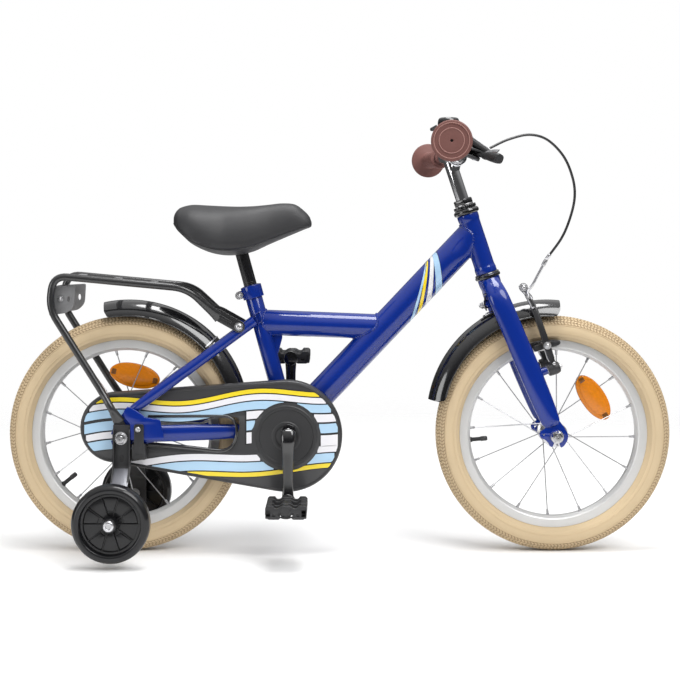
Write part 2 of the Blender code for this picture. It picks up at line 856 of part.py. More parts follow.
# Reflector clipped on the two spokes that cross its long axis.
def make_spoke_reflector(name, centre, at, tilt, spokes):
    way = Vector((cos(tilt), 0, sin(tilt)))
    rise = Vector((-sin(tilt), 0, cos(tilt)))
    spot = centre + at
    outline = [(p[0] * reflector_length / 2, p[1] * reflector_height / 2) for p in circle(0, 0, 1, 14)]
    body = plate(name, outline, -0.0035, 0.0035, frame_at(spot, -left, way), "orange")
    crossings = []
    for start, end in spokes:
        share = (spot - start).dot(rise) / (end - start).dot(rise)
        place = start.lerp(end, share)
        if 0 < share < 1:
            crossings.append((abs((place - spot).dot(way)), place, (end - start).normalized()))
    crossings.sort(key=lambda row: row[0])
    for i, (_, place, line) in enumerate(crossings[:2]):
        side = 1 if place.y > 0 else -1
        reach = abs(place.y) + 0.0045
        clip = block("tool_%s_clip_%d" % (name, i), (0, 0, 0), (0.009, 0.009, reach + 0.002), "orange",
                     frame_at((place.x, side * (reach - 0.002) / 2, place.z), left, (line.x, 0, line.z)))
        groove = rod("tool_%s_groove_%d" % (name, i), place - line * 0.03, place + line * 0.03,
                     spoke_radius + gap, steps=6)
        slit = block("tool_%s_slit_%d" % (name, i), (0, 0, 0), (0.03, 2 * spoke_radius + 2 * gap, 0.02),
                     "orange", frame_at(place + left * side * 0.01, left, line))
        weld(body, clip)
        cut(body, groove, slit)
    return body


def make_axle(name, centre, outer_face, nut_radius, seat_face, spacer_radius, starts):
    # shaft with a spacer between hub and dropout and a nut outside, on both sides
    r = axle_radius
    profile = []
    for sign, start in ((-1, starts[0]), (1, starts[1])):
        half = [(r, start + gap), (spacer_radius, start + gap), (spacer_radius, seat_face - gap),
                (r, seat_face - gap), (r, outer_face), (nut_radius, outer_face),
                (nut_radius * 0.8, outer_face + axle_nut_height), (r, outer_face + axle_nut_height),
                (r, outer_face + axle_nut_height + 0.003), (0, outer_face + axle_nut_height + 0.003)]
        half = [(radius, sign * height) for radius, height in half]
        profile += half[::-1] if sign < 0 else half
    return turned(name, profile, centre, left, "silver", small_steps)


# Chain drive

def drive_place(x, z, y):
    return rear_axle + drive_front * x + drive_up * z + left * y


def sprocket_outline(teeth, radius, phase):
    # each tooth: two points in the valley under the roller and two at the tip
    wide, deep = 0.0033, plate_height / 2 + gap
    outline = []
    for i in range(teeth):
        a = phase + 2 * pi * i / teeth
        out = (cos(a), sin(a))
        for across in (-wide, wide):
            r = radius - deep
            outline.append((out[0] * r - out[1] * across, out[1] * r + out[0] * across))
        tip = radius + 0.0034
        for share in (0.40, 0.60):
            b = a + 2 * pi * share / teeth
            outline.append((tip * cos(b), tip * sin(b)))
    return outline


def drive_frame(centre):
    return frame_at(centre - left * chain_line, -left, drive_front)


def make_chainring():
    outline = sprocket_outline(ring_teeth, ring_radius, 0)
    windows = []
    for i in range(5):
        mid = 2 * pi * (i + 0.5) / 5
        half = radians(24)
        outer = arc(0, 0, 0.056, mid - half, mid + half, 3)
        windows.append(outer + arc(0, 0, 0.030, mid + half * 0.8, mid - half * 0.8, 2))
    t = sprocket_thickness / 2
    hole = circle(0, 0, crank_hub_radius + gap, wide_steps)
    return plate("chainring", outline, -t, t, drive_frame(bracket), "silver", [hole, *windows])


def make_sprocket():
    # the cog's plate opens into the driver, a sleeve that reaches to the hub
    t = sprocket_thickness / 2
    driver, hole, count = 0.0150, axle_radius + axle_play, 14
    outline = sprocket_outline(cog_teeth, cog_radius, pi)
    cog = plate_mesh(outline, -t, t, drive_frame(rear_axle), [circle(0, 0, driver, count)])
    wall = [f for f in cog.faces
            if all(abs(hypot(v.co.x - rear_axle.x, v.co.z - rear_axle.z) - driver) < 1e-6 for v in f.verts)]
    bmesh.ops.delete(cog, geom=wall, context="FACES_ONLY")
    near = rear_flange_spread / 2 + hub_end_length + gap - chain_line
    profile = [(driver, -t), (driver, near), (hole, near), (hole, driver_reach), (driver, driver_reach),
               (driver, t)]
    sleeve = bmesh.new()
    verts = [sleeve.verts.new((r, 0, h)) for r, h in profile]
    edges = [sleeve.edges.new(pair) for pair in zip(verts, verts[1:])]
    bmesh.ops.spin(sleeve, geom=verts + edges, axis=(0, 0, 1), cent=(0, 0, 0), angle=2 * pi, steps=count,
                   use_merge=True)
    sleeve.transform(drive_frame(rear_axle))
    return merged("rear_sprocket", [cog, sleeve], "silver")


# Pin places of the closed chain, starting on the chainring.
def chain_pins():
    pins = []
    for i in range(-ring_wrap_links // 2, ring_wrap_links // 2 + 1):
        a = 2 * pi * i / ring_teeth
        pins.append((drive_centres + ring_radius * cos(a), ring_radius * sin(a)))
    cog = []
    for i in range(cog_wrap_links + 1):
        a = cog_end_angle + 2 * pi * i / cog_teeth
        cog.append((cog_radius * cos(a), cog_radius * sin(a)))
    pins += sagging_run(pins[-1], cog[0], 1)
    pins += cog
    pins += sagging_run(cog[-1], pins[0], -1)
    return pins


def sagging_run(start, end, hand):
    heading = atan2(end[1] - start[1], end[0] - start[0])
    heading += hand * sag_turn * (run_links - 1) / 2
    x, z = start
    row = []
    for _ in range(run_links - 1):
        x += chain_pitch * cos(heading)
        z += chain_pitch * sin(heading)
        row.append((x, z))
        heading -= hand * sag_turn
    return row


# Roller chain in one piece: two rows of side plates, and between them a four-sided roller at
# each pin.
def make_chain():
    pins = chain_pins()
    count = len(pins)
    inner = inner_width / 2
    half = plate_height / 2
    bm = bmesh.new()
    stations = []
    for i, pin in enumerate(pins):
        before, after = pins[i - 1], pins[(i + 1) % count]
        heading = atan2(after[1] - before[1], after[0] - before[0])
        c, s = cos(heading), sin(heading)
        spots = {"top": (0, half), "low": (0, -half), "back": (-roller_radius, 0), "ahead": (roller_radius, 0)}
        station = {}
        for row, (along, high) in spots.items():
            x, z = pin[0] + c * along - s * high, pin[1] + s * along + c * high
            for side in (-1, 1):
                station[row, side] = bm.verts.new(drive_place(x, z, side * inner - chain_line))
                if along == 0:
                    y = side * (inner + plate_thickness) - chain_line
                    station[row + " skin", side] = bm.verts.new(drive_place(x, z, y))
        stations.append(station)
    for i, near in enumerate(stations):
        far = stations[(i + 1) % count]
        for side in (-1, 1):
            skin = [near["top skin", side], near["low skin", side], far["low skin", side], far["top skin", side]]
            bm.faces.new(skin)
            bm.faces.new([near["top", side], near["ahead", side], far["back", side], far["top", side]])
            bm.faces.new([near["ahead", side], near["low", side], far["low", side], far["back", side]])
            for row in ("top", "low"):
                bm.faces.new([near[row, side], near[row + " skin", side], far[row + " skin", side],
                              far[row, side]])
        ring = ("top", "ahead", "low", "back")
        for a, b in zip(ring, ring[1:] + ring[:1]):
            bm.faces.new([near[a, -1], near[b, -1], near[b, 1], near[a, 1]])
    return to_object("chain", bm, "silver")


# Chain case: outline of two round ends joined by their outer tangents.
def case_places():
    front_middle = bracket + Vector((-0.0035, 0, -0.0085))
    rear_middle = rear_axle + Vector((-0.0130, 0, 0.0145))
    return front_middle, rear_middle


def case_outline(shrink):
    a, b = case_places()
    r1, r2 = case_front_radius - shrink, case_rear_radius - shrink
    lean = atan2(a.z - b.z, a.x - b.x)
    spread = acos((r1 - r2) / hypot(a.x - b.x, a.z - b.z))
    outline = arc(a.x, a.z, r1, lean - spread, lean + spread, 17)
    outline += arc(b.x, b.z, r2, lean + spread, lean + 2 * pi - spread, 9)
    return outline


def case_ring(y, shrink):
    return [Vector((x, -y, z)) for x, z in case_outline(shrink)]


def window_outline():
    top, bottom = bracket.z + window_top, bracket.z - window_foot
    back, ahead = rear_axle.x + 0.034, bracket.x - 0.082
    r = 0.016
    outline = [(back, bottom + 0.012), (back + 0.02, bottom), (ahead - 0.024, bottom), (ahead - 0.018, bottom + 0.003),
               (ahead - 0.003, bottom + 0.031), (ahead, bottom + 0.039)]
    outline += arc(ahead - r, top - r, r, 0, pi / 2, 4)
    outline += [(back, top)]
    return outline


def make_chain_case():
    back = case_face - case_depth
    w = case_wall
    outer = loft("chain_case", [case_ring(back, 0), case_ring(case_face - case_bevel, 0),
                                case_ring(case_face, case_bevel)], "case")
    inner = loft("tool_case_inside", [case_ring(back + w, w),
                                      case_ring(case_face - case_bevel - w * 0.3, w),
                                      case_ring(case_face - w, case_bevel + w * 0.9)])
    lip = loft("tool_case_back", [case_ring(back - 0.004, 0.013), case_ring(back + w + 0.004, 0.013)])
    window = side_plate("tool_case_window", window_outline(), -case_face + 0.008, -case_face - 0.004)
    a = case_places()[0]
    reach = left * 0.006
    face = Vector((0, -case_face, 0))
    disc_hole = rod("tool_disc_hole", a + face - reach, a + face + reach, disc_radius + gap, steps=wide_steps)
    axle_hole = rod("tool_axle_hole", rear_axle + face - reach, rear_axle + face + reach, 0.0125)
    cut(outer, inner, lip, window, disc_hole, axle_hole)
    return outer


def make_case_disc():
    a = case_places()[0]
    r = disc_radius
    face, floor = case_face, case_face - 0.0030
    w = 0.0016
    profile = [(0, floor - w), (r - 0.008, floor - w), (r, floor + w), (r, face + gap), (r + 0.003, face + gap),
               (r + 0.003, face + 0.0016), (r - 0.004, face + 0.0016), (r - 0.006, floor), (0, floor)]
    disc = turned("chain_case_disc", profile, a, -left, "case", wide_steps)
    return cut(disc, rod("tool_hub_hole", bracket - left * 0.030, bracket - left * 0.060, 0.0165, "case",
                         mid_steps))


# Crank: one forged piece, right arm down and left arm up, with the pedal spindles

def make_crank():
    reach = crank_spread / 2
    collar = shell_width / 2 + cup_width + gap
    profile = [(0, -reach - 0.004), (0.0115, -reach), (crank_hub_radius, -collar - 0.012),
               (crank_hub_radius, -collar), (spindle_radius, -collar), (spindle_radius, collar),
               (0.0150, collar), (0.0150, collar + 0.006), (crank_hub_radius, collar + 0.008),
               (0.0115, reach), (0, reach + 0.004)]
    crank = turned("crank", profile, bracket, left, "black", 12)
    for name, side in both_sides():
        down = -up if side < 0 else up
        rings = []
        rows = [(-0.002, -0.004, 0.0112, 0.0070), (0.012, 0.000, 0.0118, 0.0078),
                (0.034, 0.001, 0.0096, 0.0062), (0.080, 0.0025, 0.0085, 0.0055),
                (crank_length - 0.006, 0.0035, 0.0100, 0.0060)]
        for along, out, a, b in rows:
            middle = bracket + down * along + left * side * (reach + out)
            rings.append(oval(middle, front, left, a, b, 8, 3.0))
        arm = loft("tool_arm_" + name, rings, "black")
        eye_at = bracket + down * crank_length
        face = left * side * crank_face
        eye = rod("tool_eye_" + name, eye_at + face * (1 - crank_eye / crank_face),
                  eye_at + face * (1 + crank_eye / crank_face), 0.0125, "black", 12)
        pin = rod("tool_spindle_" + name, eye_at + face,
                  eye_at + left * side * (pedal_inner() + pedal_width - 0.006), pedal_spindle, "silver")
        weld(crank, arm, eye, pin)
    return crank


def pedal_inner():
    return crank_face + crank_eye + 0.004


def make_pedal(name, side):
    middle = bracket + (-up if side < 0 else up) * crank_length
    near = pedal_inner()
    far = near + pedal_width
    l, h = pedal_length / 2, pedal_height / 2
    corner, notch = 0.005, 0.003
    quarter = [(l, h - corner), (l - corner, h), (l * 0.45, h), (l * 0.35, h - notch)]
    upper = quarter + [(-x, z) for x, z in reversed(quarter)]
    outline = upper + [(x, -z) for x, z in reversed(upper)]
    outline = [(middle.x + x, middle.z + z) for x, z in outline]
    body = side_plate("pedal_" + name, outline, side * near, side * far, "satin")
    tools = []
    for i, (a, b) in enumerate(((0.26, 0.86), (-0.86, -0.26))):
        size = ((b - a) * l, pedal_width - 0.016, pedal_height + 0.02)
        at = middle + front * (a + b) / 2 * l + left * side * (near + far) / 2
        tools.append(block("tool_pedal_gap_%s_%d" % (name, i), at, size))
    bore = rod("tool_pedal_bore_" + name, middle + left * side * (near - 0.002),
               middle + left * side * (far - 0.005), pedal_spindle + axle_play, steps=bore_steps)
    return cut(body, *tools, bore)


# Mudguards: a curved sheet swept round the axle from one angle to another

def guard_profile():
    half, edge = guard_width / 2, radians(78)
    rows = []
    for i in range(7):
        a = edge * (i - 3) / 3
        rows.append((guard_radius - guard_depth * (1 - cos(a)) / (1 - cos(edge)), half * sin(a) / sin(edge)))
    inner = []
    for i, (r, y) in enumerate(rows):
        before, after = rows[max(i - 1, 0)], rows[min(i + 1, len(rows) - 1)]
        run = Vector((after[0] - before[0], after[1] - before[1])).normalized()
        inner.append((r - run.y * guard_wall, y + run.x * guard_wall))
    return rows + inner[::-1]


def guard_mesh(centre, start, end, steps):
    # the axis points right, so the sweep runs from 'start' up to 'end' seen from the right
    way = Vector((cos(start), 0, sin(start)))
    return turned_mesh(guard_profile(), centre, -left, steps, end - start, way)


def rear_guard_centre():
    return rear_axle + front * guard_shift * 0.4 + up * guard_lift


def front_guard_centre():
    return front_axle - front * guard_shift + up * guard_lift


def make_rear_mudguard():
    sweep = guard_mesh(rear_guard_centre(), radians(9), radians(102), guard_steps)
    return to_object("rear_mudguard", sweep, "black")


def make_front_mudguard():
    # the strip rises to a round plate bolted under the crown
    centre = front_guard_centre()
    guard = to_object("front_mudguard", guard_mesh(centre, radians(84), radians(170), guard_steps), "black")
    plate_top = crown_foot - gap
    middle = on_steer(plate_top - guard_plate / 2)
    away = (middle - centre).normalized()
    length = (middle - centre).length - guard_radius + guard_wall / 2
    foot = centre + away * (guard_radius - guard_wall / 2)
    strip = block("tool_guard_strip", (0, 0, length / 2), (guard_plate, 0.018, length), "black",
                  frame_at(foot, away, -steer_ahead))
    seat = rod("tool_guard_seat", on_steer(plate_top - guard_plate), on_steer(plate_top),
               crown_foot_radius, "black", mid_steps)
    return weld(guard, strip, seat)


# Rack: two bent side tubes with flattened ends, three slats and the plate for the reflector

def rack_eye_inner():
    return dropout_inner + dropout_thickness + gap


def rack_path(side):
    axle = rear_axle
    y = rack_half_width
    out = rack_eye_inner() + rack_tube
    rear_x, rear_z = axle.x - rack_overhang, axle.z + rack_height
    places = [(axle.x - 0.007, out, axle.z + 0.030), (axle.x - 0.018, out, axle.z + 0.052),
              (axle.x - 0.032, y, axle.z + 0.074), (rear_x - 0.007, y, rear_z - 0.054),
              (rear_x, y, rear_z), (rear_x + rack_length, y * 0.95, rear_z - rack_fall),
              (rear_x + rack_length + 0.044, rack_tab_inner + rack_tube, rear_z - rack_fall - 0.042)]
    return [Vector((x, side * w, z)) for x, w, z in places]


def rack_bolt_place():
    return mid_start + Vector((-0.0345, 0, -0.0057))


def make_rack():
    rails = []
    low, high = rack_eye_inner(), rack_eye_inner() + rack_eye_thickness
    bolt = rack_bolt_place()
    for name, side in both_sides():
        path = bent_path(rack_path(side), 0.024, 2)
        rails.append(tube("tool_rack_" + name, path, rack_tube, 1, "black"))
        ax, az = rear_axle.x, rear_axle.z
        outline = arc(ax, az, 0.0115, pi - 0.3, 2 * pi + 0.3, 8)
        outline += [(ax + 0.007, az + 0.022), (ax - 0.001, az + 0.034), (ax - 0.014, az + 0.034)]
        hole = circle(ax, az, axle_radius + axle_play, 10)
        rails.append(side_plate("tool_rack_eye_" + name, outline, side * low, side * high, "black", [hole]))
        end = path[-1]
        run = (bolt - Vector((end.x, 0, end.z))).normalized()
        across = Vector((-run.z, 0, run.x)) * 0.0100
        corners = [end - run * 0.010 - across * 0.6, end + run * 0.004 - across]
        corners += [end + run * 0.004 + across, end - run * 0.010 + across * 0.6]
        tab = [(p.x, p.z) for p in corners[:2]]
        lean = atan2(run.z, run.x)
        tab += arc(bolt.x, bolt.z, 0.0100, lean - pi / 2, lean + pi / 2, 6)
        tab += [(p.x, p.z) for p in corners[2:]]
        inner, outer = rack_tab_inner + gap, rack_tab_inner + gap + rack_eye_thickness
        rails.append(side_plate("tool_rack_tab_" + name, tab, side * inner, side * outer))
        rails.append(rod("tool_rack_screw_" + name, bolt + left * side * (outer - 0.001),
                         bolt + left * side * (outer + 0.004), 0.0060, "silver", 10))
    rack = rails[0]
    rack.name = "rack"
    places = rack_path(1)
    rear_top, front_top = places[4], places[5]
    slats = []
    for i, share in enumerate((0.14, 0.42, 0.70)):
        at = rear_top.lerp(front_top, share)
        run = (front_top - rear_top).normalized()
        slats.append(block("tool_slat_%d" % i, (0, 0, 0), (0.012, 2 * at.y, 0.004), "black",
                           frame_at((at.x, 0, at.z + 0.001), up, (run.x, 0, run.z))))
    middle, lean, out = reflector_seat()
    backing = block("tool_reflector_backing", (0, 0, 0), (0.040, 2 * rack_half_width, reflector_plate),
                    "black", frame_at(middle, out, lean))
    return weld(rack, *rails[1:], *slats, backing)


# Where the reflector's plate crosses the rear legs, with their direction and the way out.
def reflector_seat():
    places = rack_path(1)
    low, high = places[3], places[4]
    lean = Vector((high.x - low.x, 0, high.z - low.z)).normalized()
    at = low.lerp(high, 0.30)
    return Vector((at.x, 0, at.z)), lean, Vector((-lean.z, 0, lean.x))


def make_rear_reflector():
    middle, lean, out = reflector_seat()
    start = middle + out * (reflector_plate / 2 + gap)
    outline = [(p[0] * 0.040, p[1] * 0.019) for p in circle(0, 0, 1, 18)]
    return plate("rear_reflector", outline, 0, 0.008, frame_at(start, out, left), "red")


# Training wheels

def trainer_centre(side):
    return Vector((rear_axle.x - 0.004, side * trainer_spread / 2, trainer_radius + trainer_lift))


def make_trainer_bracket(name, side):
    inner = rack_eye_inner() + rack_eye_thickness + gap
    t = trainer_bracket_wall
    centre = trainer_centre(side)
    foot = trainer_foot()
    ax, top, low = rear_axle.x, rear_axle.z + 0.022, centre.z - 0.016
    half, flange = 0.0145, 0.009
    spine = [(inner, top), (inner, 0.148), (foot - t, 0.104), (foot - t, low)]
    outer = [(inner + t, top), (inner + t, 0.1495), (foot, 0.1055), (foot, low)]
    frame = frame_at((ax + 0.0015, 0, 0), front, left)
    outline = [(side * y, z) for y, z in spine + outer[::-1]]
    strip = plate("training_bracket_" + name, outline, -half, half, frame)
    wing = [(inner, top - 0.004), (inner, 0.150), (foot - t, 0.106), (foot - t + 0.002, 0.100),
            (inner + flange, 0.1535), (inner + flange, top - 0.010)]
    wing = [(side * y, z) for y, z in wing]
    wings = [plate("tool_wing_%s_%d" % (name, i), wing, s * half, s * (half - 0.0025), frame)
             for i, s in enumerate((-1, 1))]
    hole = rod("tool_bracket_hole_" + name, rear_axle + left * side * (inner - 0.003),
               rear_axle + left * side * (inner + t + 0.002), axle_radius + axle_play,
               steps=bore_steps)
    end = trainer_spread / 2 + trainer_hub_half
    pin, head = trainer_pin_radius, trainer_pin_radius * 2
    profile = [(0, foot - t / 2), (pin, foot - t / 2), (pin, end + gap), (head, end + gap),
               (head, end + 0.002), (pin, end + 0.006), (0, end + 0.006)]
    bolt = turned("tool_trainer_bolt_" + name, profile, (centre.x, 0, centre.z), left * side, "silver",
                  small_steps)
    return weld(cut(weld(strip, *wings), hole), bolt)


def trainer_foot():
    # outer face of the bracket's lower end, where the wheel's hub runs
    return trainer_spread / 2 - trainer_hub_half


def make_trainer_wheel(name, side):
    centre = trainer_centre(side)
    r, half = trainer_radius, trainer_width / 2
    bore = trainer_pin_radius + axle_play
    end = trainer_hub_half
    hub, web = 0.0115, 0.0030
    profile = [(bore, gap - end), (hub, gap - end), (hub, -web), (r * 0.76, -web), (r * 0.80, -half),
               (r, 0.002 - half), (r, half - 0.002), (r * 0.82, half), (r * 0.76, web), (hub, web),
               (hub, end), (bore, end)]
    wheel = turned("training_wheel_" + name, profile, centre, left * side, "satin", 20)
    ribs = []
    for i in range(6):
        a = 2 * pi * (i + 0.5) / 6
        way = Vector((cos(a), 0, sin(a)))
        at = centre + way * (hub + r * 0.76) / 2 + left * side * (web + 0.002)
        size = (r * 0.76 - hub + 0.002, 0.0026, 0.0060)
        ribs.append(block_mesh((0, 0, 0), size, frame_at(at, left, way)))
    return weld(wheel, merged("tool_ribs_" + name, ribs, "satin"))


# Seat

def post_top():
    return seat_top + seat_up * post_show


def make_seat_post():
    start = seat_top - seat_up * post_insert
    end = post_top()
    length = (end - start).length
    r = post_radius
    profile = [(0, 0), (r - 0.001, 0), (r, 0.001), (r, length), (0, length)]
    return turned("seat_post", profile, start, seat_up, "black")


def saddle_rows():
    # share of the length from rear to nose, share of the half width, top and underside
    return [(0.000, 0.40, 0.0220, 0.0090), (0.025, 0.66, 0.0290, 0.0040), (0.052, 0.80, 0.0340, -0.0020),
            (0.130, 0.97, 0.0395, -0.0215), (0.240, 1.00, 0.0385, -0.0372), (0.350, 0.93, 0.0373, -0.0458),
            (0.460, 0.74, 0.0368, -0.0460), (0.570, 0.55, 0.0378, -0.0405), (0.680, 0.41, 0.0400, -0.0290),
            (0.790, 0.34, 0.0422, -0.0180), (0.880, 0.31, 0.0400, -0.0092), (0.950, 0.27, 0.0285, -0.0024),
            (0.985, 0.21, 0.0185, 0.0010), (1.000, 0.12, 0.0110, 0.0035)]


def make_saddle():
    base = post_top()
    rear = Vector((base.x - saddle_back, 0, base.z + saddle_rise))
    rings = []
    count = 18
    for share, wide, top, under in saddle_rows():
        x = rear.x + saddle_length * share
        half = saddle_width / 2 * wide
        widest = under + 0.58 * (top - under)
        ring = []
        for i in range(count):
            t = 2 * pi * i / count
            c, s = cos(t), sin(t)
            y = half * abs(c) ** 0.8 * (1 if c > 0 else -1)
            if s >= 0:
                z = widest + (top - widest) * s ** 0.75
            else:
                y *= 1 - 0.30 * (-s)
                z = widest + (under - widest) * (-s) ** 0.9
            ring.append(Vector((x, y, rear.z + z)))
        rings.append(ring)
    saddle = loft("saddle", rings, "saddle")
    hole = rod("tool_saddle_hole", base - seat_up * 0.06, base + seat_up * gap, post_radius + gap,
               steps=mid_steps)
    return cut(saddle, hole)


# Handlebar

def bar_places():
    middle = on_bar_middle()
    rows = [(0.0, 0.0, 0.0), (0.045, 0.0, 0.0), (0.082, -0.004, bar_rise * 0.7),
            (bar_half_width, -bar_sweep, bar_rise)]
    return middle, rows


def on_bar_middle():
    s = (bar_height - steer_foot.z) / steer_up.z
    return on_steer(s) + front * bar_reach


def bar_point(y):
    middle, rows = bar_places()
    for (y0, x0, z0), (y1, x1, z1) in zip(rows, rows[1:]):
        if abs(y) <= y1 + 1e-9:
            t = (abs(y) - y0) / (y1 - y0)
            return middle + Vector((x0 + (x1 - x0) * t, y, z0 + (z1 - z0) * t))
    return middle + Vector((rows[-1][1], y, rows[-1][2]))


def bar_way(side):
    a, b = bar_point(side * 0.13), bar_point(side * bar_half_width)
    return (b - a).normalized()


def make_handlebar():
    middle, rows = bar_places()
    right = [middle + Vector((x, -y, z)) for y, x, z in reversed(rows[1:])]
    other = [middle + Vector((x, y, z)) for y, x, z in rows[1:]]
    right[0] = right[0] - bar_way(-1) * 0.006
    other[-1] = other[-1] - bar_way(1) * 0.006
    return tube("handlebar", bent_path(right + other, 0.06, 3), bar_radius, 2, "chrome")


def make_stem():
    quill_start = crown_height + 0.012
    middle = on_bar_middle()
    s = (middle - steer_foot).dot(steer_up)
    top = s - 0.004
    r = quill_radius
    profile = [(0, quill_start), (r, quill_start), (r, top), (r - 0.003, top + 0.008), (0, top + 0.010)]
    stem = turned("stem", profile, on_steer(0), steer_up, "chrome")
    clamp = bar_radius + gap
    around = rod("tool_stem_clamp", middle - left * 0.020, middle + left * 0.020, clamp + 0.0045,
                 "chrome", mid_steps)
    neck = rod("tool_stem_neck", on_steer(s - 0.008), middle - front * 0.004, 0.0120, "chrome", 14)
    hole = rod("tool_stem_hole", middle - left * 0.03, middle + left * 0.03, clamp, "chrome", mid_steps)
    return cut(weld(stem, around, neck), hole)


def make_grip(name, side):
    way = bar_way(side)
    end = bar_point(side * bar_half_width)
    inside = bar_radius + gap
    length = grip_length
    r, f = grip_radius, flange_radius
    profile = [(0, gap - 0.006), (inside, gap - 0.006), (inside, -length), (r + 0.004, -length),
               (r, 0.006 - length), (r + 0.001, -0.011), (f, -0.0050), (f, -0.0010), (f * 0.84, 0.0006),
               (0.0060, 0), (0, 0)]
    return turned("grip_" + name, profile, end, way, "brown", 16)


# Brake lever on the right end of the bar, its bracket and the bell beside it

lever_way = Vector((cos(lever_drop), 0, -sin(lever_drop)))
lever_axis = lever_way.cross(left)


def lever_pivot():
    return bar_point(-lever_at) + lever_way * lever_pivot_reach + left * 0.006


def make_lever_bracket():
    way = bar_way(-1)
    at = bar_point(-lever_at)
    inside = bar_radius + gap
    ring = rod("brake_lever_bracket", at - way * 0.009, at + way * 0.009, inside + 0.004, "black", mid_steps)
    pivot = lever_pivot()
    start = at + lever_way * (inside + 0.002)
    end = (pivot - start).dot(lever_way) + 0.007
    shift = (pivot - start).dot(left)
    housing = []
    for share, a, b in ((0.0, 0.0120, 0.0075), (0.5, 0.0150, 0.0085), (1.0, 0.0140, 0.0080)):
        middle = start + lever_way * end * share + left * shift * share
        housing.append(oval(middle, left, lever_axis, a, b, 10, 3.0))
    arm = loft("tool_lever_housing", housing)
    barrel = rod("tool_lever_barrel", lever_nose() - cable_start_way() * 0.024,
                 cable_start() - cable_start_way() * gap, 0.0042)
    slot = block("tool_lever_slot", (0, 0, 0), (0.028, 0.036, lever_thickness + 2 * gap), "black",
                 frame_at(pivot - left * 0.003 + lever_way * 0.004, lever_axis, lever_way))
    pin = rod("tool_lever_pin", pivot - lever_axis * 0.0080, pivot + lever_axis * 0.0080, lever_pin_radius)
    weld(ring, arm, barrel)
    hole = rod("tool_lever_clamp_hole", at - way * 0.03, at + way * 0.03, inside, steps=mid_steps)
    return weld(cut(ring, hole, slot), pin)


# Point on the bracket where the cable's adjuster leaves it.
def lever_nose():
    return lever_pivot() + left * 0.012 + lever_axis * lever_nose_rise


def make_brake_lever():
    pivot = lever_pivot()
    rows = [(-0.006, 0.000, 0.0055), (0.006, 0.001, 0.0060), (0.020, 0.007, 0.0052), (0.040, 0.011, 0.0056),
            (0.075, 0.016, 0.0070), (0.098, 0.022, 0.0075), (0.104, 0.026, 0.0050)]
    rings = []
    for out, ahead, size in rows:
        middle = pivot - left * out + lever_way * ahead
        thick = lever_thickness / 2 if out < 0.030 else size * 1.1
        rings.append(oval(middle, lever_way, lever_axis, size * 0.85, thick, 10, 2.6))
    lever = loft("brake_lever", rings, "black")
    hole = rod("tool_lever_hole", pivot - lever_axis * 0.02, pivot + lever_axis * 0.02,
               lever_pin_radius + axle_play)
    return cut(lever, hole)


def make_bell():
    # band on the bar, a short neck, the base, a waist for the thumb piece and the dome
    at = bar_point(-bell_at)
    inside = bar_radius + gap
    way = bar_way(-1)
    ring = rod("bell", at - way * 0.006, at + way * 0.006, inside + 0.003, "black", mid_steps)
    stand = bell_stand()
    r, waist = bell_radius, bell_waist_radius
    low, high = bell_slot
    profile = [(0, 0), (0.0120, 0), (0.0150, 0.0035), (0.0150, low), (waist, low), (waist, high), (r - 0.001, high),
               (r, high + 0.001), (r, 0.0195), (r * 0.80, 0.0250), (0, 0.0285)]
    body = turned("tool_bell_body", profile, stand, up, "black", 14)
    neck = rod("tool_bell_neck", at, stand + up * 0.003, 0.0065, "black")
    hole = rod("tool_bell_hole", at - way * 0.02, at + way * 0.02, inside, steps=mid_steps)
    pivot = bell_pivot()
    pin = rod("tool_bell_pin", pivot - up * 0.006, pivot + up * 0.006, bell_pin_radius)
    return weld(cut(weld(ring, neck), hole), body, pin)


def bell_stand():
    return bar_point(-bell_at) + up * bell_rise - front * bell_back


def bell_pivot():
    return bell_stand() + up * sum(bell_slot) / 2 - front * 0.0112


def make_bell_lever():
    outline = [(0.0030, -0.0040), (0.0042, 0), (0.0030, 0.0040), (-0.004, 0.005), (-0.015, 0.0075),
               (-0.018, 0.004), (-0.018, -0.004), (-0.015, -0.0075), (-0.004, -0.005)]
    half = (bell_slot[1] - bell_slot[0]) / 2 - gap
    hole = circle(0, 0, bell_pin_radius + axle_play, bore_steps)
    return plate("bell_lever", outline, -half, half, frame_at(bell_pivot(), up, front), "black", [hole])


# Cable: from the lever over in front of the head tube to the noodle of the front brake

noodle_top = (0.2790, 0.0880, -0.0520)
noodle_bend = (0.2540, 0.0620, -0.0500)


def cable_start_way():
    return Vector((0.86, 0.20, 0.47)).normalized()


def cable_start():
    return lever_nose() + cable_start_way() * 0.020


def cable_end():
    return on_steer(*noodle_top)


def smooth_points(points, per_run):
    rows = [points[0] * 2 - points[1], *points, points[-1] * 2 - points[-2]]
    path = []
    for a, b, c, d in zip(rows, rows[1:], rows[2:], rows[3:]):
        for i in range(per_run):
            t = i / per_run
            path.append(0.5 * ((2 * b) + (c - a) * t + (2 * a - 5 * b + 4 * c - d) * t * t
                               + (3 * b - a - 3 * c + d) * t ** 3))
    path.append(points[-1])
    return path


def make_cable():
    start, end = cable_start(), cable_end()
    stops = [(0.2750, -0.106, 0.6920), (0.3090, -0.100, 0.7000), (0.3400, -0.092, 0.6925),
             (0.3680, -0.084, 0.6660), (0.3840, -0.076, 0.6325), (0.3890, -0.070, 0.6020),
             (0.3840, -0.064, 0.5700), (0.3700, -0.059, 0.5330)]
    points = [start, start + cable_start_way() * 0.014] + [Vector(p) for p in stops]
    away = (end - on_steer(*noodle_bend)).normalized()
    points += [end + away * 0.020, end + away * 0.010, end + away * 2 * gap]
    return route("brake_cable", smooth_points(points, 2), cable_radius, 2, "black")


# Front brake: two arms on the fork bosses, their pads and the curved guide pipe

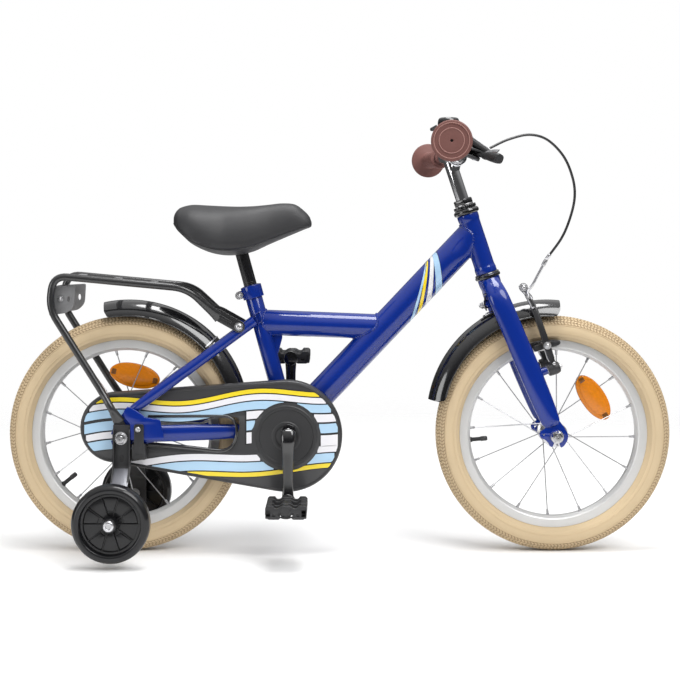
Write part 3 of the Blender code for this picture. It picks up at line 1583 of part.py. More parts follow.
def pad_place(side):
    # on the rim's brake track, in the plane of the arms
    track = rim_edge_radius - rim_track / 2
    height = sqrt(track ** 2 - (brake_plane - fork_rake) ** 2)
    return on_steer(height, brake_plane, side * (rim_width / 2 + pad_reach))


def make_brake_arm(name, side):
    y, base = brake_boss_spread / 2, brake_boss_height
    frame = frame_at(on_steer(0, brake_plane, 0), steer_ahead, left)
    edge = 0.0085
    inside = [(-edge, 0), (-0.006, 0.020), (-0.004, 0.034), (-0.003, 0.055), (-0.006, 0.080),
              (-0.010, arm_length)]
    outside = [(0.000, arm_length + 0.002), (0.005, 0.080), (edge, 0.055), (0.009, 0.034), (0.008, 0.016)]
    outline = [(y + a, base + b) for a, b in inside + outside]
    outline += arc(y, base, edge, 0, -pi, 7)[:-1]
    hole = circle(y, base, brake_boss_radius + axle_play, bore_steps)
    outline, hole = [[(side * a, b) for a, b in loop] for loop in (outline, hole)]
    return plate("brake_arm_" + name, outline, -arm_depth / 2, arm_depth / 2, frame, "black", [hole])


def make_brake_pad(name, side):
    at = pad_place(side)
    rise = (at - front_axle)
    rise.y = 0
    rise.normalize()
    ahead = Vector((rise.z, 0, -rise.x))
    rows = ((0, 0.0260, 0.0048), (0.004, 0.0270, 0.0055), (0.0090, 0.0250, 0.0050))
    pad = loft("brake_pad_" + name,
               [oval(at + left * side * out, ahead, rise, a, b, 12, 3.2) for out, a, b in rows])
    reach = brake_boss_spread / 2 - 0.0040 - gap - (rim_width / 2 + pad_reach)
    post = rod("tool_pad_post_" + name, at + left * side * 0.006, at + left * side * reach, 0.0035,
               "silver", 8)
    return weld(pad, post)


def make_noodle():
    end = cable_end()
    side = brake_boss_spread / 2
    seat = brake_boss_height + arm_length + 0.0025 + gap
    bend = on_steer(*noodle_bend)
    places = [end, end + (bend - end).normalized() * 0.005, end.lerp(bend, 0.6),
              on_steer(seat + 0.0175, brake_plane + 0.004, -side),
              on_steer(seat + 0.0060, brake_plane, 0.011 - side)]
    pipe_part = tube("brake_noodle", smooth_points(places, 3), 0.0022, 1, "silver")
    cradle = block("tool_noodle_cradle", (0, 0, 0), (0.008, 0.0090, 0.0080), "silver",
                   frame_at(on_steer(seat + 0.004, brake_plane, 0.006 - side), steer_up, left))
    return weld(pipe_part, cradle)


def make_coaster_arm():
    # flat strap: a round eye on the axle and a long arm that leans in to follow the chain stay
    y = dropout_inner - gap
    t = coaster_thickness
    ax, az = rear_axle.x, rear_axle.z
    level = bracket.z - 0.002
    eye = arc(ax, az, 0.0185, radians(35), radians(325), 11)
    outline = eye + [(ax + 0.044, level - 0.007), (ax + 0.044, level + 0.007)]
    hole = circle(ax, az, rear_spacer_radius + gap, bore_steps)
    arm = side_plate("coaster_arm", outline, y - t, y, "silver", [hole])
    rings = []
    for x, back, h in ((ax + 0.040, 0, 0.0068), (ax + 0.046, 0, 0.0065), (ax + 0.126, 0.0186, 0.0050)):
        corners = ((y - t - back, level - h), (y - back, level - h), (y - back, level + h), (y - t - back, level + h))
        rings.append([Vector((x, a, b)) for a, b in corners])
    return weld(arm, loft("tool_coaster_arm", rings, "silver"))


def build():
    clear_scene()
    seat_tool, head_tool, shell, down_tool = seat_tube_tool(), head_tube_tool(), shell_tool(), down_tube_tool()
    make_head_tube()
    make_seat_tube()
    make_down_tube([head_tool, shell, seat_tool])
    make_mid_tube([seat_tool, down_tool])
    for name, side in both_sides():
        make_chain_stay(name, side, shell)
        make_seat_stay(name, side, seat_tool, side < 0)
    make_seat_clamp()
    make_headset()
    build_fork()
    build_wheels()
    build_drive()
    for name, side in both_sides():
        make_trainer_bracket(name, side)
        carry(joint_empty("training_wheel_axis_" + name, trainer_centre(side), left),
              make_trainer_wheel(name, side))
    make_rear_mudguard()
    make_rack()
    make_rear_reflector()
    carry(joint_empty("seat_post_axis", seat_top, seat_up), make_seat_post(), make_saddle())
    build_handlebar()
    build_front_brake()
    make_coaster_arm()


def build_fork():
    steer = joint_empty("steering_axis", on_steer(crown_height), steer_up)
    base = crown_height - 0.010
    foot = crown_foot_radius + gap
    room = [(0, crown_foot - 0.02), (foot, crown_foot - 0.02), (foot, crown_foot - gap),
            (0.0190 + gap, base), (0.0190 + gap, crown_height + 0.02), (0, crown_height + 0.02)]
    crown_tool = turned("tool_crown", room, on_steer(0), steer_up)
    carry(steer, make_fork_crown(), make_front_mudguard())
    for name, side in both_sides():
        carry(steer, make_fork_leg(name, side, crown_tool))
    hub_end = front_flange_spread / 2 + hub_end_length
    carry(steer, make_axle("front_axle", front_axle, fork_inner + dropout_thickness + gap, 0.0105,
                           fork_inner, front_spacer_radius, (hub_end, hub_end)))


def build_wheels():
    sizes = {"front": (front_axle, front_hub_radius, front_flange_radius, front_flange_spread),
             "rear": (rear_axle, rear_hub_radius, rear_flange_radius, rear_flange_spread)}
    details = {"front": (radians(-3), radians(185), (0.0695, 0.0597), radians(-56)),
               "rear": (radians(8), radians(219), (0.0134, 0.0971), radians(-13))}
    for name, (centre, hub, flange, spread) in sizes.items():
        phase, valve_angle, spot, tilt = details[name]
        spin = joint_empty(name + "_wheel_axis", centre, left)
        at = Vector((spot[0], 0, spot[1]))
        spokes = [spoke_ends(centre, i, phase, flange, spread) for i in range(spoke_count)]
        carry(spin, make_tyre(name + "_tyre", centre), make_rim(name + "_rim", centre),
              make_hub(name + "_hub", centre, hub, flange, spread, phase),
              make_valve(name + "_valve", centre, valve_angle),
              make_spoke_reflector(name + "_spoke_reflector", centre, at, tilt, spokes))
    stack = rack_eye_inner() + rack_eye_thickness + gap + trainer_bracket_wall + gap
    make_axle("rear_axle", rear_axle, stack, 0.0100, dropout_inner, rear_spacer_radius,
              (chain_line + driver_reach, rear_flange_spread / 2 + hub_end_length))


def build_drive():
    carry(joint_empty("crank_axis", bracket, left), make_crank(), make_chainring())
    carry(joint_empty("sprocket_axis", rear_axle, left), make_sprocket())
    make_chain()
    make_chain_case()
    make_case_disc()
    for name, side in both_sides():
        at = bracket + (-up if side < 0 else up) * crank_length
        carry(joint_empty("pedal_axis_" + name, at, left), make_pedal(name, side))


def build_handlebar():
    carry(joint_empty("stem_axis", on_steer(head_high), steer_up), make_stem(), make_handlebar(),
          make_grip("right", -1), make_grip("left", 1), make_lever_bracket(), make_bell())
    carry(joint_empty("brake_lever_axis", lever_pivot(), lever_axis), make_brake_lever())
    carry(joint_empty("bell_lever_axis", bell_pivot(), up), make_bell_lever())
    make_cable()


def build_front_brake():
    for name, side in both_sides():
        pivot = on_steer(brake_boss_height, brake_plane, side * brake_boss_spread / 2)
        axis = joint_empty("brake_arm_axis_" + name, pivot, steer_ahead)
        carry(axis, make_brake_arm(name, side), make_brake_pad(name, side))
        if side < 0:
            carry(axis, make_noodle())


build()
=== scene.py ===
import bpy
import bmesh
from math import acos, atan2, cos, hypot, pi, radians, sin, sqrt
from mathutils import Matrix, Vector


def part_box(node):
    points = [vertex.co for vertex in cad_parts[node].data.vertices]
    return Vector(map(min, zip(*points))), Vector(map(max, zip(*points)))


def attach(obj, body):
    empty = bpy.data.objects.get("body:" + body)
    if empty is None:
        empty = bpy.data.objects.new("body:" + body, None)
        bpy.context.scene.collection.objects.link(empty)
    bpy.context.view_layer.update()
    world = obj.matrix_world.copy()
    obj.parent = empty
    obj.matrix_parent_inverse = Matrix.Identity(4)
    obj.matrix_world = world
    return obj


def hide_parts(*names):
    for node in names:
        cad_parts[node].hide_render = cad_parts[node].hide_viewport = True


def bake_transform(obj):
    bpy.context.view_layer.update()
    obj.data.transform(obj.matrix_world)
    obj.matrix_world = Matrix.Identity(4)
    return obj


# A 16 inch kids bike dressed on its solids: X forward, Y to the rider's left, Z up, metres

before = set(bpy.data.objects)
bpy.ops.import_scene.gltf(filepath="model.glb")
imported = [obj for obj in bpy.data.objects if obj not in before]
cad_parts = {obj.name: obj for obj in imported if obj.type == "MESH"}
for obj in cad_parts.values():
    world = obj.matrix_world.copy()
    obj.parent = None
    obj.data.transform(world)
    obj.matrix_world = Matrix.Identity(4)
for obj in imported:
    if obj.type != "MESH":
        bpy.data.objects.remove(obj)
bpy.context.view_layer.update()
forward, leftward, upward = Vector((1, 0, 0)), Vector((0, 1, 0)), Vector((0, 0, 1))
print("frame loaded:", len(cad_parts), "nodes")


# Shapes

def frameAt(at, along, side=None):
    z = Vector(along).normalized()
    x = Vector(side) if side is not None else (leftward if abs(z.y) < 0.9 else forward)
    x = (x - z * x.dot(z)).normalized()
    m = Matrix((x, z.cross(x), z)).transposed().to_4x4()
    m.translation = Vector(at)
    return m


def polar(radius, turn):
    return radius * cos(turn), radius * sin(turn)


def oblong(left, right, low, high):
    return [(left, low), (right, low), (right, high), (left, high)]


def arc(cx, cy, radius, start, end, count):
    turns = [start + (end - start) * i / (count - 1) for i in range(count)]
    return [(cx + radius * cos(a), cy + radius * sin(a)) for a in turns]


def circle(cx, cy, radius, count):
    return arc(cx, cy, radius, 0.0, 2 * pi * (count - 1) / count, count)


def rounded(points, radius, count=4, closed=True):
    # rounds each corner; a point may bring its own radius as a third number
    out = []
    last = len(points) - 1
    for i, p in enumerate(points):
        r = p[2] if len(p) > 2 else radius
        here = Vector(p[:2])
        if r <= 0 or (not closed and i in (0, last)):
            out.append(tuple(here))
            continue
        a = Vector(points[i - 1][:2]) - here
        b = Vector(points[(i + 1) % len(points)][:2]) - here
        reach = min(r, a.length * 0.48, b.length * 0.48)
        p1, p2 = here + a.normalized() * reach, here + b.normalized() * reach
        for k in range(count + 1):
            t = k / count
            out.append(tuple(p1 * (1 - t) ** 2 + here * 2 * t * (1 - t) + p2 * t * t))
    return out


def smoothLine(points, perRun=6):
    # smooth curve through all points
    rows = [points[0] * 2 - points[1], *points, points[-1] * 2 - points[-2]]
    line = []
    for a, b, c, d in zip(rows, rows[1:], rows[2:], rows[3:]):
        for k in range(perRun):
            t = k / perRun
            turn, twist = 2 * a - 5 * b + 4 * c - d, 3 * b - a - 3 * c + d
            line.append(0.5 * (2 * b + (c - a) * t + turn * t * t + twist * t ** 3))
    line.append(points[-1])
    return line


def bentLine(points, bend, steps=8):
    # straight runs joined by curves that start 'bend' before each corner
    line = [Vector(points[0])]
    for a, b, c in zip(points, points[1:], points[2:]):
        a, b, c = Vector(a), Vector(b), Vector(c)
        reach = min(bend, (a - b).length * 0.48, (c - b).length * 0.48)
        p, q = b + (a - b).normalized() * reach, b + (c - b).normalized() * reach
        for k in range(steps + 1):
            t = k / steps
            line.append(p * (1 - t) ** 2 + b * 2 * t * (1 - t) + q * t * t)
    line.append(Vector(points[-1]))
    return line


def loft(rings, closed=False):
    # skin over rings of points, with a face at each end or joined end to end
    bm = bmesh.new()
    rows = [[bm.verts.new(p) for p in ring] for ring in rings]
    pairs = list(zip(rows, rows[1:]))
    if closed:
        pairs.append((rows[-1], rows[0]))
    for low, high in pairs:
        n = len(low)
        for k in range(n):
            bm.faces.new((low[k], low[(k + 1) % n], high[(k + 1) % n], high[k]))
    if not closed:
        bm.faces.new(rows[0][::-1])
        bm.faces.new(rows[-1])
    return bm


def tube(path, radius, sides=20):
    # round tube along a line; radius may be one number, or for each point a number or (width, height)
    path = [Vector(p) for p in path]
    count = len(path)
    radii = radius if isinstance(radius, (list, tuple)) else [radius] * count
    ways = [(path[min(i + 1, count - 1)] - path[max(i - 1, 0)]).normalized() for i in range(count)]
    start = ways[0]
    side = (start.orthogonal() if abs(start.y) > 0.95 else leftward - start * start.y).normalized()
    rings = []
    for p, way, r in zip(path, ways, radii):
        side = (side - way * side.dot(way)).normalized()
        other = way.cross(side)
        wide, high = (r, r) if not isinstance(r, tuple) else r
        turns = [2 * pi * k / sides for k in range(sides)]
        rings.append([p + side * wide * cos(a) + other * high * sin(a) for a in turns])
    return loft(rings)


def revolve(profile, at=(0, 0, 0), along=upward, steps=64, sweep=2 * pi, side=None):
    # profile of (radius, height); closed into a ring unless it starts on the axis
    whole = sweep > 2 * pi - 0.001
    place = frameAt(at, along, side)
    count = steps if whole else steps + 1
    bm = bmesh.new()
    ring = profile[0][0] > 1e-7
    turns = []
    for k in range(count):
        a = sweep * k / steps
        row = []
        for i, (r, h) in enumerate(profile):
            if r <= 1e-7 and turns:
                row.append(turns[0][i])
            else:
                row.append(bm.verts.new(place @ Vector((*polar(r, a), h))))
        turns.append(row)
    n = len(profile)
    spans = list(zip(turns, turns[1:])) + ([(turns[-1], turns[0])] if whole else [])
    for a, b in spans:
        for i in range(n if ring else n - 1):
            j = (i + 1) % n
            corners = []
            for vert in (a[i], b[i], b[j], a[j]):
                if vert not in corners:
                    corners.append(vert)
            if len(corners) > 2:
                bm.faces.new(corners)
    if not whole and ring:
        bm.faces.new(turns[0])
        bm.faces.new(turns[-1][::-1])
    return bm


def turned(points, radius, count, *where, closed=True):
    # revolved shape with its corners rounded
    return revolve(rounded(points, radius, count, closed), *where)


def rod(a, b, radius, sides=24, edge=0.0004):
    a, b = Vector(a), Vector(b)
    length = (b - a).length
    e = min(edge, radius * 0.4, length * 0.3)
    return revolve([(0, 0), (radius - e, 0), (radius, e), (radius, length - e), (radius - e, length),
            (0, length)], a, b - a, sides)


def plate(outlines, low, high, place, edge=0.0004, soft=2):
    # flat piece with rounded rims, cut by any further outlines
    data = bpy.data.curves.new("plateLine", "CURVE")
    data.dimensions = "2D"
    data.fill_mode = "BOTH"
    half = (high - low) / 2
    data.extrude = max(half - edge, 0.00001)
    data.bevel_depth = edge
    data.bevel_resolution = soft
    data.offset = -edge
    for outline in outlines:
        spline = data.splines.new("POLY")
        spline.points.add(len(outline) - 1)
        for point, (x, y) in zip(spline.points, outline):
            point.co = (x, y, 0, 1)
        spline.use_cyclic_u = True
    holder = bpy.data.objects.new("plateLine", data)
    mesh = bpy.data.meshes.new_from_object(holder)
    bm = bmesh.new()
    bm.from_mesh(mesh)
    bmesh.ops.remove_doubles(bm, verts=bm.verts, dist=0.000002)
    bm.transform(place @ Matrix.Translation((0, 0, (low + high) / 2)))
    bpy.data.objects.remove(holder)
    bpy.data.meshes.remove(mesh)
    bpy.data.curves.remove(data)
    return bm


def sidePlate(outlines, yFrom, yTo, edge=0.0004, soft=2):
    # outline in X and Z, thickness along Y
    place = Matrix(((1, 0, 0, 0), (0, 0, -1, 0), (0, 1, 0, 0), (0, 0, 0, 1)))
    return plate(outlines, -max(yFrom, yTo), -min(yFrom, yTo), place, edge, soft)


def block(size, place, edge=0.0006):
    x, y = size[0] / 2, size[1] / 2
    outline = rounded(oblong(-x, x, -y, y), edge * 2, 3)
    return plate([outline], -size[2] / 2, size[2] / 2, place, edge)


def hexagon(radius):
    return rounded(circle(0, 0, radius, 6), radius * 0.08, 2)


def nut(at, along, radius, height):
    # six-sided nut with its washer and a domed end
    place = frameAt(at, along)
    head = plate([hexagon(radius)], 0.0008, height, place, radius * 0.1, 2)
    washer = revolve([(0, 0), (radius * 1.12, 0), (radius * 1.12, 0.001), (0, 0.0012)], at, along, 32)
    r = radius * 0.55
    crown = [(0, height - 0.001), (r, height - 0.001), (r, height + 0.001)]
    crown += [(r * cos(a), height + 0.001 + r * 0.5 * sin(a)) for a in (0.5, 1.0, 1.35)]
    crown.append((0, height + 0.001 + r * 0.5))
    return [head, washer, revolve(crown, at, along, 28)]


def domeBolt(at, along, radius, height):
    # round head with a socket
    rows = [(0, 0), (radius, 0), (radius, height * 0.35)]
    rows += [(radius * cos(a), height * 0.35 + height * 0.65 * sin(a)) for a in (0.45, 0.85, 1.15)]
    rows += [(radius * 0.34, height * 0.96), (radius * 0.3, height * 0.9), (radius * 0.28, height * 0.45),
            (0, height * 0.42)]
    return revolve(rows, at, along, 28)


def piece(name, body, parts, nodes=(), sharp=38):
    # each part is a material and then its meshes, or lists of meshes
    whole = bmesh.new()
    finishes = []
    for finish, *shapes in parts:
        if finish not in finishes:
            finishes.append(finish)
        for bm in [bm for shape in shapes for bm in (shape if isinstance(shape, list) else [shape])]:
            for face in bm.faces:
                face.material_index = finishes.index(finish)
            mesh = bpy.data.meshes.new("part")
            bm.to_mesh(mesh)
            bm.free()
            whole.from_mesh(mesh)
            bpy.data.meshes.remove(mesh)
    bmesh.ops.recalc_face_normals(whole, faces=whole.faces)
    mesh = bpy.data.meshes.new(name)
    whole.to_mesh(mesh)
    whole.free()
    for finish in finishes:
        mesh.materials.append(finish)
    mesh.shade_smooth()
    mesh.set_sharp_from_angle(angle=radians(sharp))
    ob = bpy.data.objects.new(name, mesh)
    bpy.context.scene.collection.objects.link(ob)
    if body:
        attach(ob, body)
    if nodes:
        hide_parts(*nodes)
    return ob


def bothSides():
    return ("right", -1), ("left", 1)


def bulge(value, power):
    return abs(value) ** power * (1 if value > 0 else -1)


def ovalRing(at, across, rise, a, b, count=32, power=2.0):
    # oval of half width a and half height b; a higher power makes it squarer
    turns = [2 * pi * k / count for k in range(count)]
    return [at + across * (a * bulge(cos(t), 2 / power)) + rise * (b * bulge(sin(t), 2 / power)) for t in turns]


def weldBead(start, way, size, other, otherWay, otherRadius, bead=0.0021, ripples=40):
    # rippled seam where a tube leaves a second one; size is (half width, half height) of the first
    way, otherWay = Vector(way).normalized(), Vector(otherWay).normalized()
    side = (leftward - way * way.y).normalized() if abs(way.y) < 0.9 else forward
    rise = way.cross(side)
    line = []
    w = way - otherWay * way.dot(otherWay)
    for k in range(ripples * 5):
        a = 2 * pi * k / (ripples * 5)
        p = start + side * size[0] * cos(a) + rise * size[1] * sin(a)
        q = p - other
        q = q - otherWay * q.dot(otherWay)
        root = max(0.0, q.dot(w) ** 2 - w.dot(w) * (q.dot(q) - otherRadius ** 2))
        line.append(p + way * ((-q.dot(w) + sqrt(root)) / w.dot(w)))
    rings = []
    count = len(line)
    for k, p in enumerate(line):
        run = (line[(k + 1) % count] - line[k - 1]).normalized()
        out = (p - start - way * (p - start).dot(way)).normalized()
        r = bead * (1 + 0.16 * sin(2 * pi * ripples * k / count))
        rings.append(ovalRing(p, out, run.cross(out).normalized(), r, r, 8))
    return loft(rings, closed=True)


# Finishes

def newNode(tree, kind, **values):
    node = tree.nodes.new("ShaderNode" + kind)
    for key, value in values.items():
        if key in node.inputs:
            node.inputs[key].default_value = value
        else:
            setattr(node, key, value)
    return node


def tinted(colour, share):
    return tuple(min(1.0, max(0.0, c * share)) for c in colour) + (1.0,)


def makeFinish(name, colour, rough, metal=0.0, coat=0.0, coatRough=0.06, drift=0.06, driftScale=25.0,
        smear=0.06, smearScale=40.0, grain=0.0, grainScale=1500.0, grainDepth=0.00004, cells=0.0,
        cellScale=900.0, specular=0.5):
    # every finish: a colour that drifts a little, uneven gloss and a fine surface
    finish = bpy.data.materials.new(name)
    finish.use_nodes = True
    tree = finish.node_tree
    link = tree.links.new
    shader = tree.nodes["Principled BSDF"]
    place = newNode(tree, "TexCoord").outputs["Object"]
    cloud = newNode(tree, "TexNoise", Scale=driftScale, Detail=4.0)
    link(place, cloud.inputs["Vector"])
    tone = newNode(tree, "Mix", data_type="RGBA")
    tone.inputs["A"].default_value = tinted(colour, 1 - drift)
    tone.inputs["B"].default_value = tinted(colour, 1 + drift)
    link(cloud.outputs["Fac"], tone.inputs["Factor"])
    link(tone.outputs["Result"], shader.inputs["Base Color"])
    haze = newNode(tree, "TexNoise", Scale=smearScale, Detail=6.0, Roughness=0.65)
    link(place, haze.inputs["Vector"])
    gloss = newNode(tree, "MapRange", **{"To Min": max(0.02, rough - smear), "To Max": min(1.0, rough + smear)})
    link(haze.outputs["Fac"], gloss.inputs["Value"])
    link(gloss.outputs["Result"], shader.inputs["Roughness"])
    for key, value in (("Metallic", metal), ("Specular IOR Level", specular), ("Coat Weight", coat),
            ("Coat Roughness", coatRough)):
        shader.inputs[key].default_value = value
    height = None
    if grain:
        fine = newNode(tree, "TexNoise", Scale=grainScale, Detail=3.0)
        link(place, fine.inputs["Vector"])
        height = fine.outputs["Fac"]
    if cells:
        skin = newNode(tree, "TexVoronoi", feature="DISTANCE_TO_EDGE", Scale=cellScale)
        link(place, skin.inputs["Vector"])
        edge = newNode(tree, "MapRange", **{"From Max": 0.18})
        link(skin.outputs["Distance"], edge.inputs["Value"])
        if height:
            both = newNode(tree, "Math", operation="ADD")
            link(height, both.inputs[0])
            link(edge.outputs["Result"], both.inputs[1])
            height = both.outputs[0]
        else:
            height = edge.outputs["Result"]
    if height:
        bump = newNode(tree, "Bump", Strength=max(grain, cells), Distance=grainDepth)
        link(height, bump.inputs["Height"])
        link(bump.outputs["Normal"], shader.inputs["Normal"])
    return finish


bluePaint = makeFinish("bluePaint", (0.0015, 0.0205, 0.215), 0.34, coat=1.0, coatRough=0.05, specular=0.08,
        drift=0.05, grain=0.15, grainScale=500.0, grainDepth=0.00003)
blackGloss = makeFinish("blackGloss", (0.006, 0.006, 0.007), 0.16, coat=1.0, coatRough=0.03,
        drift=0.1, smear=0.03)
blackPlastic = makeFinish("blackPlastic", (0.023, 0.023, 0.0245), 0.45, drift=0.12, grain=0.35,
        grainScale=2200.0)
blackMetal = makeFinish("blackMetal", (0.022, 0.022, 0.024), 0.35, metal=0.3, coat=0.3, drift=0.1)
silverMetal = makeFinish("silverMetal", (0.62, 0.62, 0.64), 0.3, metal=1.0, drift=0.05, smear=0.08)
rimMetal = makeFinish("rimMetal", (0.6, 0.6, 0.595), 0.42, metal=0.45, drift=0.06, smear=0.08)
zincSteel = makeFinish("zincSteel", (0.55, 0.55, 0.56), 0.36, metal=1.0, drift=0.1, smear=0.12,
        driftScale=120.0)
chromePlate = makeFinish("chromePlate", (0.8, 0.8, 0.82), 0.07, metal=1.0, drift=0.02, smear=0.03)
oiledSteel = makeFinish("oiledSteel", (0.34, 0.32, 0.3), 0.38, metal=1.0, drift=0.25, driftScale=160.0,
        smear=0.15, smearScale=180.0)
tyreRubber = makeFinish("tyreRubber", (0.57, 0.445, 0.282), 0.72, drift=0.08, driftScale=14.0, grain=0.6,
        grainScale=1400.0, specular=0.3)
gripRubber = makeFinish("gripRubber", (0.165, 0.07, 0.06), 0.6, drift=0.08, grain=0.4, grainScale=2600.0,
        specular=0.35)
padRubber = makeFinish("padRubber", (0.016, 0.016, 0.017), 0.7, drift=0.15, grain=0.5, grainScale=1800.0)
saddleVinyl = makeFinish("saddleVinyl", (0.024, 0.024, 0.026), 0.5, drift=0.1, cells=0.55, cellScale=750.0,
        grainDepth=0.0001, specular=0.45)
amberLens = makeFinish("amberLens", (0.66, 0.195, 0.001), 0.22, coat=0.25, drift=0.22, driftScale=190.0,
        cells=0.6, cellScale=330.0, grainDepth=0.0002)
redLens = makeFinish("redLens", (0.55, 0.008, 0.008), 0.16, coat=0.6, drift=0.08, cells=0.6, cellScale=330.0,
        grainDepth=0.0002)
print("finishes ready")


# Places shared by the pieces

bracket = Vector((-0.08582, 0, 0.208))
rearAxle = Vector((-0.363, 0, 0.1995))
frontAxle = Vector((0.363, 0, 0.1995))
seatTop, seatUp = Vector((-0.15166, 0, 0.44866)), Vector((-0.26387, 0, 0.96456))
seatBack = Vector((-0.96456, 0, -0.26387))
steerFoot, steerUp = Vector((0.34354, 0, 0.19305)), Vector((-0.31482, 0, 0.94915))
steerAhead = Vector((0.94915, 0, 0.31482))
crownTop = 0.2845
rackBolt = Vector((-0.16957, 0, 0.3823))


def onSteer(height, ahead=0.0, side=0.0):
    return steerFoot + steerUp * height + steerAhead * ahead + leftward * side


# Wheels

wheelSizes = {"radius": 0.1995, "tread": 0.0012, "half": 0.0235, "rimEdge": 0.1595, "rimBed": 0.1525,
        "rimInner": 0.1405, "rimHalf": 0.01275, "track": 0.013, "spokes": 16, "spoke": 0.0009,
        "lead": radians(38), "steps": 160}
tyreMiddle = wheelSizes["radius"] - wheelSizes["tread"] - wheelSizes["half"]
# darker tan for the tread grooves: painted shade
tyreGrooveShade = makeFinish("tyreGrooveShade", (0.33, 0.24, 0.145), 0.8, drift=0.14, driftScale=60.0, grain=0.5)
spokeSteel = makeFinish("spokeSteel", (0.4, 0.4, 0.41), 0.34, metal=1.0, drift=0.05)
amberClip = makeFinish("amberClip", (0.16, 0.055, 0.004), 0.3, coat=0.4, drift=0.2, driftScale=200.0)
wheelPlaces = {"front": {"axle": frontAxle, "phase": radians(-3), "valve": radians(185), "hub": 0.0145,
        "flange": 0.0215, "spread": 0.058, "spot": (0.4325, 0.2592), "tilt": radians(-56)},
        "rear": {"axle": rearAxle, "phase": radians(8), "valve": radians(219), "hub": 0.0215, "flange": 0.03,
        "spread": 0.05, "spot": (-0.3496, 0.2966), "tilt": radians(-13)}}


def tyreSection(count=44):
    # round carcass from bead to bead
    w = wheelSizes
    rows = [(w["rimBed"] + 0.0004, -0.01), (w["rimEdge"] - 0.001, -0.0108), (w["rimEdge"] + 0.0006, -0.0124)]
    for k in range(count + 1):
        a = radians(-112) + radians(224) * k / count
        rows.append((tyreMiddle + w["half"] * cos(a), w["half"] * sin(a)))
    return rows + [(r, -y) for r, y in rows[2::-1]]


def onTyre(centre, turn, across, lift):
    # a point on the tread: turn round the wheel, distance across it, height above the carcass
    w = wheelSizes
    a = across / w["half"]
    r = tyreMiddle + (w["half"] + lift) * cos(a)
    return centre + Vector((r * cos(turn), (w["half"] + lift) * sin(a), r * sin(turn)))


def treadBlocks(centre, sets=208):
    # rows of slanted blocks that lean the other way in each row, from the middle out to the shoulders
    pitch = 2 * pi / sets
    lift = wheelSizes["tread"]
    bm = bmesh.new()
    for k in range(sets):
        for row in range(10):
            side, place = (-1 if row < 5 else 1), row % 5
            near, far = 0.0005 + 0.0051 * place, 0.0047 + 0.0051 * place
            lean = 0.5 if place % 2 else -0.5
            shape = [(0.16 - lean / 2, near), (0.16 + lean / 2, far), (0.84 + lean / 2, far),
                    (0.84 - lean / 2, near)]
            height = lift * (1.0 if place < 3 else 0.8)
            low, high = [], []
            for u, v in shape:
                low.append(bm.verts.new(onTyre(centre, (k + u) * pitch, side * v, -0.0006)))
                u2, v2 = 0.5 + (u - 0.5) * 0.88, (near + far) / 2 + (v - (near + far) / 2) * 0.88
                high.append(bm.verts.new(onTyre(centre, (k + u2) * pitch, side * v2, height)))
            bm.faces.new(high)
            for a in range(4):
                b = (a + 1) % 4
                bm.faces.new((low[a], low[b], high[b], high[a]))
    return bm


def treadBed(centre):
    # darker skin between the tread blocks: painted shade in the grooves
    w = wheelSizes
    turns = [radians(-62) + radians(124) * k / 24 for k in range(25)]
    outer, inner = w["half"] + 0.00018, w["half"] - 0.0006
    section = [(tyreMiddle + outer * cos(a), outer * sin(a)) for a in turns]
    section += [(tyreMiddle + inner * cos(a), inner * sin(a)) for a in turns[::-1]]
    return revolve(section, centre, leftward, w["steps"])


def sidewallRings(centre):
    # a raised line on each sidewall and the moulding line by the bead
    w = wheelSizes
    parts = []
    for side in (-1, 1):
        for a, wide in ((radians(66), 0.0009), (radians(99), 0.0006)):
            r, y = tyreMiddle + w["half"] * cos(a), side * w["half"] * sin(a)
            section = [(r + wide * cos(b), y + wide * sin(b)) for b in (2 * pi * k / 8 for k in range(8))]
            parts.append(revolve(section, centre, leftward, w["steps"]))
    return parts


def rimSection():
    w = wheelSizes
    inner, edge, bed = w["rimInner"], w["rimEdge"], w["rimBed"]
    half, track = w["rimHalf"], w["rimEdge"] - w["track"]
    right = [(inner, 0.0), (inner + 0.0004, 0.0056, 0.002), (inner + 0.0022, 0.008, 0.001),
            (inner + 0.0036, 0.0112, 0.001), (track, half, 0.0008), (track + 0.0006, half - 0.0003, 0.0002),
            (edge - 0.0006, half - 0.0003, 0.0008), (edge, half - 0.0009, 0.0005),
            (edge - 0.0004, half - 0.0018, 0.0004), (bed, half - 0.0021, 0.0008), (bed - 0.0012, 0.004, 0.002)]
    line = rounded(right, 0.0, 3, False)
    return [(r, -y) for r, y in line[:0:-1]] + line


def spokeEnds(spot, index):
    w = wheelSizes
    side = -1 if index % 2 else 1
    rimTurn = spot["phase"] + 2 * pi * index / w["spokes"]
    outer = (index // 2) % 2
    hubTurn = rimTurn + (w["lead"] if outer else -w["lead"])
    hole = spot["flange"] - 0.0035
    face = 0.0022 if outer else -0.0022
    start = spot["axle"] + Vector((hole * cos(hubTurn), side * (spot["spread"] / 2 + face),
            hole * sin(hubTurn)))
    reach = w["rimInner"] + 0.001
    end = spot["axle"] + Vector((reach * cos(rimTurn), side * 0.0035, reach * sin(rimTurn)))
    return start, end, side * (1 if outer else -1)


def hubShell(spot):
    half, flange, body = spot["spread"] / 2, spot["flange"], spot["hub"]
    neck = body * 0.62
    right = [(body, 0.0), (body, half - 0.01, 0.003), (body + 0.002, half - 0.005, 0.002),
            (flange, half - 0.0016, 0.0008), (flange, half + 0.0016, 0.0008),
            (neck + 0.003, half + 0.0016, 0.001), (neck, half + 0.003, 0.001), (neck, half + 0.0066, 0.0006),
            (0.0056, half + 0.0066, 0.0004), (0.0051, half + 0.0055)]
    line = rounded(right, 0.0, 3, False)
    return revolve([(r, -y) for r, y in line[:0:-1]] + line, spot["axle"], leftward, 64)


